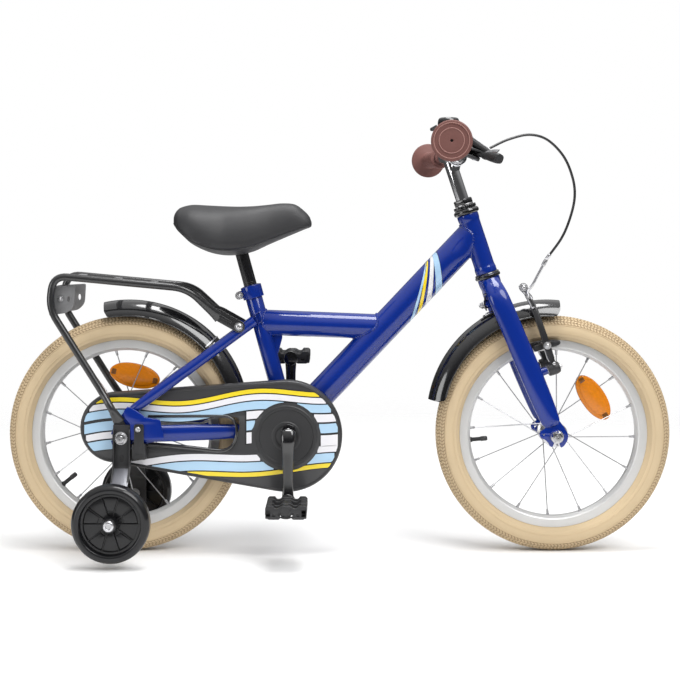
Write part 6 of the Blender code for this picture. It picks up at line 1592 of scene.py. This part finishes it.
def buildLeverBracket():
    way, at = barWay(-1), barPoint(-0.136)
    inside = barSizes["bore"]
    band = turned(oblong(inside, 0.0154, -0.009, 0.009), 0.0014, 3, at, way, 56)
    ears = []
    for s in (-1, 1):
        ears.append(block((0.006, 0.015, 0.0042), frameAt(at - leverWay * 0.0172 + leverAxis * 0.003 * s,
                leverAxis, leverWay), 0.0012))
    screw = [rod(at - leverWay * 0.0178 - leverAxis * 0.007, at - leverWay * 0.0178 + leverAxis * 0.0062,
            0.0022, 18), domeBolt(at - leverWay * 0.0178 + leverAxis * 0.0048, leverAxis, 0.0036, 0.0028)]
    start = at + leverWay * 0.0134
    end = (leverPivot - start).dot(leverWay) + 0.007
    shift = (leverPivot - start).dot(leftward)
    cheeks = []
    for s in (-1, 1):
        rings = []
        for share, a in ((0.0, 0.011), (0.25, 0.0134), (0.6, 0.0146), (0.9, 0.014), (1.0, 0.0124)):
            centre = start + leverWay * end * share + leftward * shift * share + leverAxis * 0.0059 * s
            rings.append(ovalRing(centre, leftward, leverAxis, a, 0.0024, 30, 4.0))
        cheeks.append(loft(rings))
    root = loft([ovalRing(start + leverWay * t + leftward * shift * 0.1, leftward, leverAxis, a, 0.0078, 32,
            3.0) for t, a in ((-0.0015, 0.0105), (0.0015, 0.0118), (0.004, 0.0122))])
    side = loft([ovalRing(leverPivot + leftward * 0.0125 + leverWay * t, leftward, leverAxis, 0.003, b, 26,
            3.0) for t, b in ((-0.012, 0.0072), (-0.002, 0.0078), (0.006, 0.0074))])
    # cover over the pivot with a bright line along its top, a painted highlight
    rows = ((-0.018, 0.019, 0.0066), (-0.008, 0.016, 0.0064), (0.004, 0.0132, 0.006), (0.014, 0.011, 0.0054),
            (0.024, 0.0084, 0.0044), (0.029, 0.007, 0.003))
    cover = loft([ovalRing(leverPivot + leverWay * t + leverAxis * h, leftward, leverAxis, 0.011, a, 32, 3.2)
            for t, h, a in rows])
    shine = tube([leverPivot + leverWay * t + leverAxis * (h + a - 0.0003) - leftward * 0.007 for t, h,
            a in rows[:-1]], 0.0016, 12)
    hex1 = plate([hexagon(0.0038)], -0.009, 0.009, frameAt(leverPivot, leverAxis), 0.0006)
    barrelWay = cableStartWay.normalized()
    barrel = [turned([(0, -0.01), (0.0042, -0.01), (0.0042, 0.002), (0.003, 0.003), (0.003, 0.0065)], 0.0004, 2,
            leverNose + barrelWay * 0.004, barrelWay, 28, closed=False)]
    ribs = [0.0042 - (0.0004 if k % 2 else 0) for k in range(32)]
    for low, high in ((0.0072, 0.0112), (0.0122, 0.019)):
        spot = frameAt(leverNose, barrelWay)
        barrel.append(loft([[spot @ Vector((*polar(r * s, 2 * pi * k / 32), h)) for k, r in enumerate(ribs)]
                for h, s in ((low, 0.88), (low + 0.0006, 1.0), (high - 0.0006, 1.0), (high, 0.84))]))
    piece("leverBracketDressed", "handlebar",
            [(blackPlastic, band, ears, cheeks, root, side, cover), (leverPaintedHighlight, shine), (blackPlastic, barrel),
            (zincSteel, hex1, screw)], ["brake_lever_bracket"])


def buildLever():
    rows = smoothLine([Vector(row) for row in ((-0.006, 0.0, 0.0055), (0.006, 0.001, 0.006),
            (0.02, 0.007, 0.0052), (0.04, 0.011, 0.0056), (0.075, 0.016, 0.007), (0.098, 0.022, 0.0075),
            (0.104, 0.026, 0.0066))], 8)
    rings = []
    for out, ahead, size in rows:
        centre = leverPivot - leftward * out + leverWay * (ahead + 0.002 * min(1, out / 0.1))
        centre -= leverAxis * 0.003 * max(0, out - 0.05) / 0.05
        grow = max(0.0, min(1.0, (out - 0.02) / 0.018))
        thick = 0.0028 + (size * 1.1 - 0.0028) * grow * grow * (3 - 2 * grow)
        rings.append(ovalRing(centre, leverWay, leverAxis, size * 0.85, thick, 36, 2.6))
    blade = loft(rings)
    # silver strip along the top of the blade: a painted highlight
    shine = []
    for out, ahead, size in rows:
        if 0.034 < out < 0.1:
            foot = leverPivot - leftward * out + leverWay * (ahead - 0.0004)
            shine.append(foot + leverAxis * (size * 1.1 - 0.0006))
    edge = tube(shine, [(0.0036, 0.0009)] * len(shine), 14)
    hub = turned(oblong(0.0032, 0.0066, -0.0034, 0.0034), 0.0005, 2, leverPivot, leverAxis, 32)
    piece("brakeLeverDressed", "brake_lever", [(blackPlastic, blade, hub), (silverMetal, edge)],
            ["brake_lever"])


def buildBell():
    at, way = barPoint(-0.098), barWay(-1)
    stand, pivot = Vector((0.17777, -0.098, 0.69955)), Vector((0.16657, -0.098, 0.70805))
    band = turned(oblong(barSizes["bore"], 0.0144, -0.006, 0.006), 0.001, 3, at, way, 56)
    neck = loft([ovalRing(at.lerp(stand + upward * 0.003, share), way, (stand - at).normalized().cross(way), a,
            b, 30, 2.6) for share, a, b in ((0.3, 0.006, 0.0075), (0.55, 0.0055, 0.0062), (1.0, 0.006, 0.007))])
    base = revolve(rounded([(0, 0.0002), (0.012, 0.0002, 0.001), (0.015, 0.0035, 0.001),
            (0.015, 0.0062, 0.0005), (0.006, 0.0062), (0.006, 0.0108), (0.0163, 0.0108, 0.0004),
            (0.0173, 0.0118, 0.0006), (0.0166, 0.0124)], 0.0, 3, False) + [(0.0, 0.0124)], stand, upward, 64)
    dome = revolve([(0, 0.0118), (0.0173, 0.0118)]
            + rounded([(0.0175, 0.0118, 0), (0.018, 0.02, 0.004), (0.016, 0.0284, 0.006), (0, 0.0288, 0)], 0.0,
            6, False), stand, upward, 72)
    cap = turned([(0, 0.0283), (0.0036, 0.0283), (0.003, 0.029), (0, 0.0292)], 0.0002, 2, stand, upward,
            28, closed=False)
    pin = rod(pivot - upward * 0.0045, pivot + upward * 0.0045, 0.0015, 16)
    screw = domeBolt(at - (stand - at).normalized() * 0.0138, (at - stand).normalized(), 0.0034, 0.0014)
    piece("bellDressed", "handlebar", [(blackPlastic, band, neck, base), (blackGloss, dome),
            (blackMetal, cap), (zincSteel, pin, screw)], ["bell"])
    outline = rounded([(0.004, -0.0036, 0.002), (0.004, 0.0036, 0.002), (-0.004, 0.0046, 0.003),
            (-0.013, 0.0074, 0.004), (-0.018, 0.005, 0.003), (-0.018, -0.005, 0.003), (-0.013, -0.0074, 0.004),
            (-0.004, -0.0046, 0.003)], 0.0, 4)
    thumb = plate([outline, circle(0, 0, 0.0018, 16)], -0.0016, 0.0016, frameAt(pivot, upward, forward), 0.0006)
    ridges = [block((0.001, 0.0096, 0.0008),
            Matrix.Translation(pivot + Vector((-0.017 + 0.0022 * k, 0, 0.0015))), 0.0003) for k in range(4)]
    horn = [(pivot.x + x, pivot.z + z) for x, z in ((-0.0185, -0.0014), (-0.0192, 0.0026), (-0.0085, 0.0086),
            (-0.0078, -0.0014))]
    tip = sidePlate([rounded(horn, 0.001, 3)], pivot.y - 0.0042, pivot.y + 0.0042, 0.0008)
    piece("bellLeverDressed", "bell_lever", [(blackPlastic, thumb, ridges, tip)], ["bell_lever"])


buildHandlebar()
buildStem()
for name, side in bothSides():
    buildGrip(name, side)
buildLeverBracket()
buildLever()
buildBell()
print("handlebar done")


# Front brake

brakeSizes = {"y": 0.041, "base": 0.109, "plane": 0.053, "thick": 0.0096, "post": 0.0148,
        "pad": Vector((0.34678, 0, 0.35164)), "noodleTop": (0.279, 0.088, -0.052),
        "noodleBend": (0.254, 0.062, -0.05), "seat": 0.2138}


def buildBrakeArm(name, side):
    outward = leftward * side
    b = brakeSizes
    y, base = b["y"], b["base"]
    place = frameAt(onSteer(0, b["plane"]), steerAhead, leftward)
    inside = [(-0.0085, 0.004, 0.004), (-0.006, 0.02, 0.006), (-0.004, 0.034, 0.01), (-0.003, 0.055, 0.01),
            (-0.006, 0.08, 0.01), (-0.01, 0.102, 0.003)]
    outside = [(0.0, 0.104, 0.003), (0.005, 0.08, 0.01), (0.0085, 0.055, 0.01), (0.009, 0.034, 0.01),
            (0.008, 0.016, 0.008)]
    outline = [(y + u, base + v, r) for u, v, r in inside + outside]
    outline += arc(y, base, 0.0085, 0, -pi, 28)[:-1]
    shape = [(side * u, v) for u, v in rounded(outline, 0.0, 6)]
    hole = [(side * u, v) for u, v in circle(y, base, 0.0052, 24)]
    t = b["thick"] / 2
    arm = plate([shape, hole], -t, t, place, 0.0016, 4)
    low = onSteer(base, b["plane"], side * y)
    housing = turned([(0.0053, -t - 0.0062), (0.0104, -t - 0.0062), (0.0108, -t - 0.0002), (0.0108, t - 0.0012),
            (0.0088, t + 0.004), (0.0062, t + 0.0052), (0.0053, t + 0.0052)], 0.0008, 3, low, steerAhead, 44)
    bolt = nut(low + steerAhead * (t + 0.004), steerAhead, 0.005, 0.003)
    coil = []
    for k in range(85):
        # six turns of fourteen points
        a = 2 * pi * k / 14
        middle = low + steerAhead * (-t - 0.0004 + 0.0016 * k / 14 - 0.0072)
        coil.append(middle + steerUp * 0.0068 * cos(a) + leftward * 0.0068 * sin(a))
    tail = [onSteer(base + 0.02, b["plane"] - 0.0062, side * (y + 0.0045)),
            onSteer(base + 0.043, b["plane"] - 0.0062, side * (y + 0.005))]
    spring = tube(coil + tail, 0.00075, 8)
    screwAt = onSteer(base + 0.009, b["plane"] + 0.001, side * (y + 0.0086))
    screw = [rod(screwAt, screwAt + outward * 0.0042, 0.0019, 16), domeBolt(screwAt + outward * 0.0038, outward,
            0.0028, 0.0018)]
    clamp = nut(b["pad"] + outward * (y + 0.0098), outward, 0.0058, 0.0044)
    washer = turned([(0.0034, 0.0), (0.008, 0.0), (0.0066, 0.0026), (0.0034, 0.0032)], 0.0004, 2,
            b["pad"] + outward * (y + 0.0062), outward, 36)
    slab = block((0.02, 0.0105, 0.012), frameAt(onSteer(base + 0.04, b["plane"] - 0.012, side * 0.03), leftward,
            steerAhead), 0.002)
    slotRib = []
    for w in (-1, 1):
        line = [onSteer(base + h, b["plane"] + t - 0.0006, side * (y + u + 0.003 * w)) for h,
                u in ((0.016, -0.0002), (0.034, 0.0022), (0.055, 0.0026), (0.08, -0.0006), (0.094, -0.0035))]
        slotRib.append(tube(smoothLine(line, 6), [(0.001, 0.0016)] * 25, 10))
    cap = loft([ovalRing(onSteer(base + h, b["plane"], side * (y - 0.0046 + u)), steerAhead, leftward, a, c, 28,
            3.0) for h, u, a, c in ((0.093, 0.001, 0.0052, 0.005), (0.1, 0.0002, 0.006, 0.0048),
            (0.1045, 0.0, 0.0056, 0.0042))])
    bits = [(blackMetal, arm), (blackPlastic, housing), (blackMetal, slotRib, cap),
            (zincSteel, bolt, spring, screw, clamp), (blackMetal, washer), (blackPlastic, slab)]
    if name == "left":
        head = onSteer(base + 0.099, b["plane"] + t, y - 0.005)
        bits += [(zincSteel, domeBolt(head, steerAhead, 0.0052, 0.0042),
                revolve(oblong(0, 0.006, -0.0004, 0.0012), head, steerAhead, 32))]
    piece("brakeArmDressed" + name.title(), "brake_arm_" + name, bits, ["brake_arm_" + name])


def buildPad(name, side):
    outward = leftward * side
    b = brakeSizes
    at = b["pad"] + outward * 0.01475
    rise = (b["pad"] - frontAxle).normalized()
    ahead = Vector((rise.z, 0, -rise.x))
    rows = ((0.0, 0.0256, 0.0044), (0.0007, 0.0262, 0.005), (0.004, 0.027, 0.0055), (0.0062, 0.0264, 0.0054),
            (0.0085, 0.0252, 0.0051), (0.009, 0.024, 0.0044))
    shoe = loft([ovalRing(at + outward * out, ahead, rise, a, c, 48, 3.2) for out, a, c in rows])
    holder = loft([ovalRing(at + outward * out, ahead, rise, a, c, 40, 3.2) for out, a,
            c in ((0.0076, 0.02, 0.0042), (0.0094, 0.02, 0.0042), (0.01, 0.019, 0.0036))])
    post = rod(at + outward * 0.006, at + outward * b["post"], 0.0035, 24)
    collar = turned([(0.0034, 0.0092), (0.0068, 0.0092), (0.0068, 0.0112), (0.0052, 0.0134), (0.0034, 0.0134)],
            0.0004, 2, at, outward, 36)
    piece("brakePadDressed" + name.title(), "brake_arm_" + name,
            [(padRubber, shoe), (blackMetal, holder), (zincSteel, post, collar)], ["brake_pad_" + name])


# Brake cable: sheathed from the lever to a ferrule, then a guide pipe to the right arm

cableStops = ((0.275, -0.106, 0.692), (0.309, -0.1, 0.7), (0.34, -0.092, 0.6925), (0.368, -0.084, 0.666),
        (0.384, -0.076, 0.6325), (0.389, -0.07, 0.602), (0.384, -0.064, 0.57), (0.37, -0.059, 0.533))


def buildCable():
    b = brakeSizes
    end, bend = onSteer(*b["noodleTop"]), onSteer(*b["noodleBend"])
    way = cableStartWay.normalized()
    lead = (end - bend).normalized()
    far = end + lead * 0.012
    stops = [cableStart - way * 0.003, cableStart + way * 0.014, *map(Vector, cableStops), far]
    path = smoothLine(stops, 8)
    sheath = tube(path, 0.0021, 18)
    ferrules = [turned([(0, 0), (0.003, 0), (0.003, 0.007), (0.0026, 0.008), (0, 0.008)], 0.0003, 2, path[0],
            path[1] - path[0], 24), turned([(0, 0), (0.003, 0), (0.003, 0.009), (0.0026, 0.01), (0, 0.01)],
            0.0003, 2, path[-1], path[-2] - path[-1], 24)]
    cable = piece("cableDressed", None, [(cableBlack, sheath, ferrules[0]),
            (silverMetal, ferrules[1])], ["brake_cable"])
    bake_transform(cable)
    run = sum((q - p).length for p, q in zip(path, path[1:]))
    side, seat = b["y"], b["seat"]
    stops = [end + lead * 0.0115, end, end + (bend - end).normalized() * 0.005, end.lerp(bend, 0.6), bend,
            bend + Vector((-0.008, 0.004, -0.0125)), onSteer(seat + 0.02, b["plane"] + 0.001, -side),
            onSteer(seat + 0.006, b["plane"], 0.011 - side)]
    line = smoothLine(stops, 8)
    pipe = tube(line, 0.0022, 18)
    head = turned([(0, 0), (0.0031, 0), (0.0034, 0.004), (0.0034, 0.01), (0.0028, 0.012), (0, 0.012)], 0.0004,
            2, end + lead * 0.0115, -lead, 28)
    place = frameAt(onSteer(seat + 0.004, b["plane"], 0.006 - side), steerUp, leftward)
    cradle = block((0.008, 0.009, 0.008), place, 0.0016)
    tip = turned([(0, 0), (0.003, 0), (0.0022, 0.007), (0, 0.007)], 0.0004, 2,
            line[-1] - (line[-1] - line[-2]).normalized() * 0.001, line[-1] - line[-2], 24, closed=False)
    # forked holder of the pipe: a link up from the arm, with its bolt at the top
    foot, top = onSteer(seat + 0.004, b["plane"], 0.003 - side), onSteer(seat + 0.044,
            b["plane"] - 0.007, 0.003 - side)
    link = loft([ovalRing(foot.lerp(top, k), leftward, steerAhead, a, c, 24, 3.0) for k, a,
            c in ((0.0, 0.004, 0.0052), (0.3, 0.0038, 0.0046), (0.62, 0.0038, 0.0042), (0.8, 0.0044, 0.0068),
            (1.0, 0.004, 0.006))])
    bolt = []
    for share, size in ((0.9, 0.0066), (0.5, 0.0046)):
        spot = foot.lerp(top, share)
        bolt += nut(spot - leftward * 0.0034, -leftward, size, size * 0.78)
        bolt.append(rod(spot, spot + leftward * 0.007, size * 0.5, 18))
    noodle = piece("noodleDressed", None, [(silverMetal, pipe), (zincSteel, head),
            (silverMetal, cradle), (zincSteel, tip), (nutSteel, link), (zincSteel, bolt)], ["brake_noodle"])
    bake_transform(noodle)
    far = onSteer(seat - 0.003, b["plane"] + 0.005, side - 0.004)
    wire = rod(line[-1], far, 0.0008, 12, 0.0001)
    run = (far - line[-1]).normalized()
    bellows = []
    for k in range(9):
        bellows += [(0.0026 + 0.00008 * k, 0.0015 + 0.0024 * k), (0.0036 + 0.00008 * k, 0.0027 + 0.0024 * k)]
    boot = revolve([(0.0008, 0.0012)] + bellows + [(0.0024, 0.024), (0.0008, 0.026)],
            line[-1] + run * 0.004, run, 28)
    piece("brakeWireDressed", "brake_arm_left", [(zincSteel, wire), (padRubber, boot)])


cableBlack = makeFinish("cableBlack", (0.014, 0.014, 0.015), 0.38, coat=0.25, drift=0.1)
for name, side in bothSides():
    buildBrakeArm(name, side)
    buildPad(name, side)
buildCable()
print("brake done")


# Saddle and post

saddleSizes = {"rear": -0.27996, "zero": 0.54851, "length": 0.232, "half": 0.079, "count": 72,
        "rows": ((0.002, 0.44, 0.0235, 0.0075), (0.01, 0.56, 0.0272, 0.0035), (0.026, 0.7, 0.0316, -0.0022),
        (0.055, 0.83, 0.0358, -0.011), (0.13, 0.97, 0.0395, -0.0275), (0.24, 1.0, 0.0385, -0.0402),
        (0.35, 0.93, 0.0373, -0.0462), (0.46, 0.74, 0.0368, -0.046), (0.57, 0.55, 0.0378, -0.0405),
        (0.68, 0.41, 0.04, -0.029), (0.79, 0.34, 0.0422, -0.018), (0.88, 0.31, 0.04, -0.0092),
        (0.95, 0.27, 0.0285, -0.0024), (0.984, 0.22, 0.0195, 0.0005), (0.997, 0.17, 0.0122, 0.003))}


def saddleRing(row, grow=0.0):
    s = saddleSizes
    share, wide, top, under = row
    half, widest = s["half"] * wide + grow, under + 0.16 * (top - under)
    ring = []
    for i in range(s["count"]):
        t = 2 * pi * i / s["count"]
        c, v = cos(t), sin(t)
        y = half * bulge(c, 0.8)
        if v >= 0:
            z = widest + (top + grow - widest) * v ** 0.75
        else:
            y *= 1 + 0.3 * v
            z = widest + (under - grow - widest) * (-v) ** 0.9
        # a shallow channel down the middle
        if v > 0 and 0.2 < share < 0.75:
            z -= 0.0022 * max(0.0, 1 - abs(y) / 0.012) ** 2 * sin(pi * (share - 0.2) / 0.55)
        ring.append(Vector((s["rear"] + s["length"] * share, y, s["zero"] + z)))
    return ring


def buildSaddle():
    s = saddleSizes
    rows = smoothLine([Vector(row) for row in s["rows"]], 7)
    rings = [saddleRing(row) for row in rows]
    for ring, way in ((rings[0], -1), (rings[-1], 1)):
        middle = sum(ring, Vector()) / len(ring)
        inner = [[middle + (p - middle) * k + forward * way * d for p in ring] for k,
                d in ((0.9, 0.0004), (0.6, 0.0007), (0.25, 0.0008))]
        rings = inner[::-1] + rings if way < 0 else rings + inner
    shell = loft(rings)
    edges = [[saddleRing(row, 0.0003)[round(s["count"] * k)] for row in rows[3:-3]] for k in (0.955, 0.545)]
    loop = edges[0] + edges[1][::-1]
    piping = tube(loop, [0.0012] * len(loop), 10)
    saddle = piece("saddleDressed", "seat", [(saddleVinyl, shell), (saddleTrim, piping)],
            ["saddle"], sharp=60)
    base, up = Vector((-0.17066, 0, 0.51811)), seatUp
    start = seatTop - up * 0.055
    length = (base - start).length
    post = turned([(0, 0), (0.0111, 0, 0.001), (0.0111, length), (0, length)], 0.0, 3, start, up,
            56, closed=False)
    mark = [turned(oblong(0.0109, 0.01125, h - 0.0004, h + 0.0004), 0.0002, 2, start, up, 40)
            for h in (0.06, 0.063)]
    piece("seatPostDressed", "seat", [(blackGloss, post), (blackMetal, mark)], ["seat_post"])


saddleTrim = makeFinish("saddleTrim", (0.012, 0.012, 0.013), 0.45, coat=0.2, drift=0.05)
buildSaddle()
print("saddle done")


# Training wheels

trainerSizes = {"x": -0.367, "z": 0.0735, "y": 0.142, "radius": 0.063, "half": 0.015, "hub": 0.0115,
        "hubHalf": 0.0215, "pin": 0.0048, "inner": 0.0636, "wall": 0.0038, "foot": 0.1205}


def buildTrainerWheel(name, side):
    t = trainerSizes
    centre = Vector((t["x"], side * t["y"], t["z"]))
    r, half, end = t["radius"], t["half"], t["hubHalf"]
    rim = r * 0.79
    profile = [(rim - 0.001, -0.003, 0.001), (rim, -half + 0.001, 0.002), (rim + 0.003, -half, 0.0015),
            (r - 0.006, -half, 0.004), (r, -half + 0.005, 0.004), (r, half - 0.005, 0.004),
            (r - 0.006, half, 0.004), (rim + 0.003, half, 0.0015), (rim, half - 0.001, 0.002),
            (rim - 0.001, 0.003, 0.001)]
    tyre = turned(profile, 0.0, 5, centre, leftward * side, 112)
    web = turned(oblong(t["hub"], rim, -0.003, 0.003), 0.0004, 2, centre, leftward * side, 96)
    ring = turned(oblong(rim - 0.0055, rim - 0.0005, 0.0028, 0.0062), 0.0008, 3, centre, leftward * side, 96)
    hub = turned([(0.0052, -end + 0.0003), (t["hub"], -end + 0.0003), (t["hub"] + 0.0016, -0.004),
            (t["hub"] + 0.0016, 0.004), (t["hub"], end), (0.0052, end)], 0.0012, 3, centre, leftward * side, 56)
    fans = []
    for k in range(10):
        # thin ribs, and between every second pair a raised field that widens outwards, one of them on top
        a = 2 * pi * k / 10 + 1.26
        way = Vector((cos(a), 0, sin(a)))
        for s in (-1, 1):
            at = centre + way * (t["hub"] + rim - 0.002) / 2 + leftward * s * 0.0046
            fans.append(block((rim - t["hub"], 0.0011, 0.004), frameAt(at, leftward, way), 0.0004))
            if k % 2:
                continue
            low, high = t["hub"] + 0.009, rim - 0.0065
            wide = 2 * pi / 10 - 0.03
            shape = arc(0, 0, low, a + 0.06, a + wide * 0.9, 6) + arc(0, 0, high, a + wide, a + 0.035, 10)
            near, far = sorted((centre.y + s * 0.0025, centre.y + s * 0.005))
            fans.append(sidePlate([[(centre.x + u, centre.z + v) for u, v in shape]], near, far, 0.001))
    piece("trainerWheelDressed" + name.title(), "training_wheel_" + name,
            [(wheelGloss, tyre, web, ring, hub, fans)], ["training_wheel_" + name])


wheelGloss = makeFinish("wheelGloss", (0.007, 0.007, 0.008), 0.34, coat=0.5, coatRough=0.08,
        specular=0.2, drift=0.1)
legMetal = makeFinish("legMetal", (0.15, 0.153, 0.172), 0.34, metal=0.4, coat=0.3, drift=0.06)


def buildTrainerBracket(name, side):
    outward = leftward * side
    t = trainerSizes
    inner, wall, foot = t["inner"], t["wall"], t["foot"]
    ax = rearAxle.x + 0.0015
    top, low, half = rearAxle.z + 0.022, t["z"] - 0.016, 0.0145
    place = frameAt(Vector((ax, 0, 0)), forward, leftward)
    spine = [(inner, top, 0.001), (inner, 0.148, 0.006), (foot - wall, 0.104, 0.006), (foot - wall, low, 0.001)]
    outer = [(inner + wall, top, 0.001), (inner + wall, 0.1495, 0.008), (foot, 0.1055, 0.008),
            (foot, low, 0.001)]
    strip = plate([[(side * y, z) for y, z in rounded(spine + outer[::-1], 0.0, 5)]], -half, half,
            place, 0.001, 3)
    wing = [(inner + 0.0004, top - 0.004, 0.001), (inner + 0.0004, 0.15, 0.003), (foot - wall, 0.106, 0.004),
            (foot - wall + 0.002, 0.1, 0.001), (inner + 0.009, 0.1535, 0.01),
            (inner + 0.009, top - 0.01, 0.004)]
    shape = [(side * y, z) for y, z in rounded(wing, 0.0, 4)]
    wings = [plate([shape], *sorted((s * half, s * (half - 0.0025))), place, 0.0007) for s in (-1, 1)]
    centre = Vector((t["x"], 0, t["z"]))
    end = t["y"] + t["hubHalf"]
    pin = rod(centre + outward * (foot - wall / 2), centre + outward * (end + 0.003), t["pin"], 28)
    head = centre + outward * (end + 0.0003)
    dome = [turned([(0, 0), (0.0096, 0), (0.0096, 0.0014), (0.0078, 0.0046), (0.005, 0.0052), (0.0044, 0.0044),
            (0.004, 0.002), (0, 0.002)], 0.0007, 3, head, outward, 48, closed=False)]
    # dark hex at the floor of the dome's recess: painted shade in the socket
    socket = plate([hexagon(0.004)], 0.0018, 0.0024, frameAt(head, outward), 0.0001)
    back = nut(centre + outward * (foot - wall), -outward, 0.008, 0.005)
    washer = revolve(oblong(0.005, 0.0105, 0, 0.0012), centre + outward * foot, outward, 40)
    # dark oblong on the strip for its slot: painted shade standing in for the opening
    slot = plate([rounded(oblong(-0.0035, 0.0035, -0.006, 0.006), 0.0034, 5)], wall - 0.0003, wall + 0.0003,
            frameAt(Vector((ax, side * inner, 0.166)), outward, forward), 0.0001)
    leg = [(inner + wall - 0.001, 0.1465, 0.001), (foot - 0.001, 0.1045, 0.006),
            (foot - 0.001, low + 0.001, 0.001), (foot + 0.0014, low + 0.001, 0.001),
            (foot + 0.0014, 0.106, 0.008), (inner + wall + 0.0014, 0.15, 0.001)]
    cover = plate([[(side * y, z) for y, z in rounded(leg, 0.0, 5)]], -half + 0.0003, half - 0.0003,
            place, 0.0005)
    piece("trainerBracketDressed" + name.title(), "frame",
            [(blackPlastic, strip, wings), (padRubber, slot), (zincSteel, pin), (silverMetal, dome),
            (zincSteel, back, washer), (padRubber, socket), (legMetal, cover)], ["training_bracket_" + name])


for name, side in bothSides():
    buildTrainerWheel(name, side)
    buildTrainerBracket(name, side)
print("training wheels done")


# Floor, light and camera

studio = {"floor": (0.9, 0.9, 0.9), "sky": (1.0, 1.0, 1.0), "dome": {"From Min": 0.12, "From Max": 0.85,
        "To Min": 0.07, "To Max": 0.95}, "fade": {"From Min": 0.75, "From Max": 2.3, "To Min": 1.0,
        "To Max": 0.0}, "lights": (("keyLight", (1.2, -1.7, 2.3), (0.0, 0.0, 0.35), 1.8, 48),
        ("fillLight", (-2.5, -1.7, 0.6), (0.1, 0.0, 0.35), 1.5, 22),
        ("topLight", (0.1, -0.2, 2.6), (0.0, 0.0, 0.3), 1.2, 38)), "cameraAt": (-0.008, -2.3, 0.528),
        "lens": 71.3, "shiftX": 0.0074, "shiftY": -0.147}


def buildStudio():
    s = studio
    scene = bpy.context.scene
    world = bpy.data.worlds.new("studioSky")
    world.use_nodes = True
    # white behind the bike, dimmer where it only lights it, so that dark gloss stays dark
    tree = world.node_tree
    sky = tree.nodes["Background"]
    sky.inputs["Color"].default_value = (*s["sky"], 1)
    height = newNode(tree, "SeparateXYZ")
    tree.links.new(newNode(tree, "TexCoord").outputs["Generated"], height.inputs[0])
    dome = newNode(tree, "MapRange", interpolation_type="SMOOTHSTEP", **s["dome"])
    tree.links.new(height.outputs["Z"], dome.inputs["Value"])
    power = newNode(tree, "Mix", data_type="FLOAT")
    power.inputs["B"].default_value = 1.0
    tree.links.new(dome.outputs["Result"], power.inputs["A"])
    tree.links.new(newNode(tree, "LightPath").outputs["Is Camera Ray"], power.inputs["Factor"])
    tree.links.new(power.outputs["Result"], sky.inputs["Strength"])
    scene.world = world
    bm = bmesh.new()
    bmesh.ops.create_grid(bm, x_segments=1, y_segments=1, size=30)
    mesh = bpy.data.meshes.new("studioFloor")
    bm.to_mesh(mesh)
    bm.free()
    pale = makeFinish("paleFloor", s["floor"], 0.75, drift=0.0, smear=0.02, specular=0.2)
    mesh.materials.append(pale)
    # the floor fades out into the white a little way off
    tree = pale.node_tree
    away = newNode(tree, "VectorMath", operation="LENGTH")
    tree.links.new(newNode(tree, "TexCoord").outputs["Object"], away.inputs[0])
    fade = newNode(tree, "MapRange", interpolation_type="SMOOTHSTEP", **s["fade"])
    tree.links.new(away.outputs["Value"], fade.inputs["Value"])
    tree.links.new(fade.outputs["Result"], tree.nodes["Principled BSDF"].inputs["Alpha"])
    floor = bpy.data.objects.new("studioFloor", mesh)
    scene.collection.objects.link(floor)
    for name, at, aim, size, power in s["lights"]:
        lamp = bpy.data.lights.new(name, "AREA")
        lamp.shape = "DISK"
        lamp.size = size
        lamp.energy = power
        ob = bpy.data.objects.new(name, lamp)
        ob.location = at
        ob.rotation_euler = (Vector(aim) - Vector(at)).to_track_quat("-Z", "Y").to_euler()
        scene.collection.objects.link(ob)
    camera = bpy.data.cameras.new("photoView")
    camera.lens = s["lens"]
    camera.sensor_width = 36
    camera.shift_x, camera.shift_y = s["shiftX"], s["shiftY"]
    ob = bpy.data.objects.new("photoView", camera)
    ob.location = s["cameraAt"]
    ob.rotation_euler = (radians(90), 0, 0)
    scene.collection.objects.link(ob)
    scene.camera = ob
    scene.view_settings.view_transform = "Standard"


buildStudio()
print("studio done")
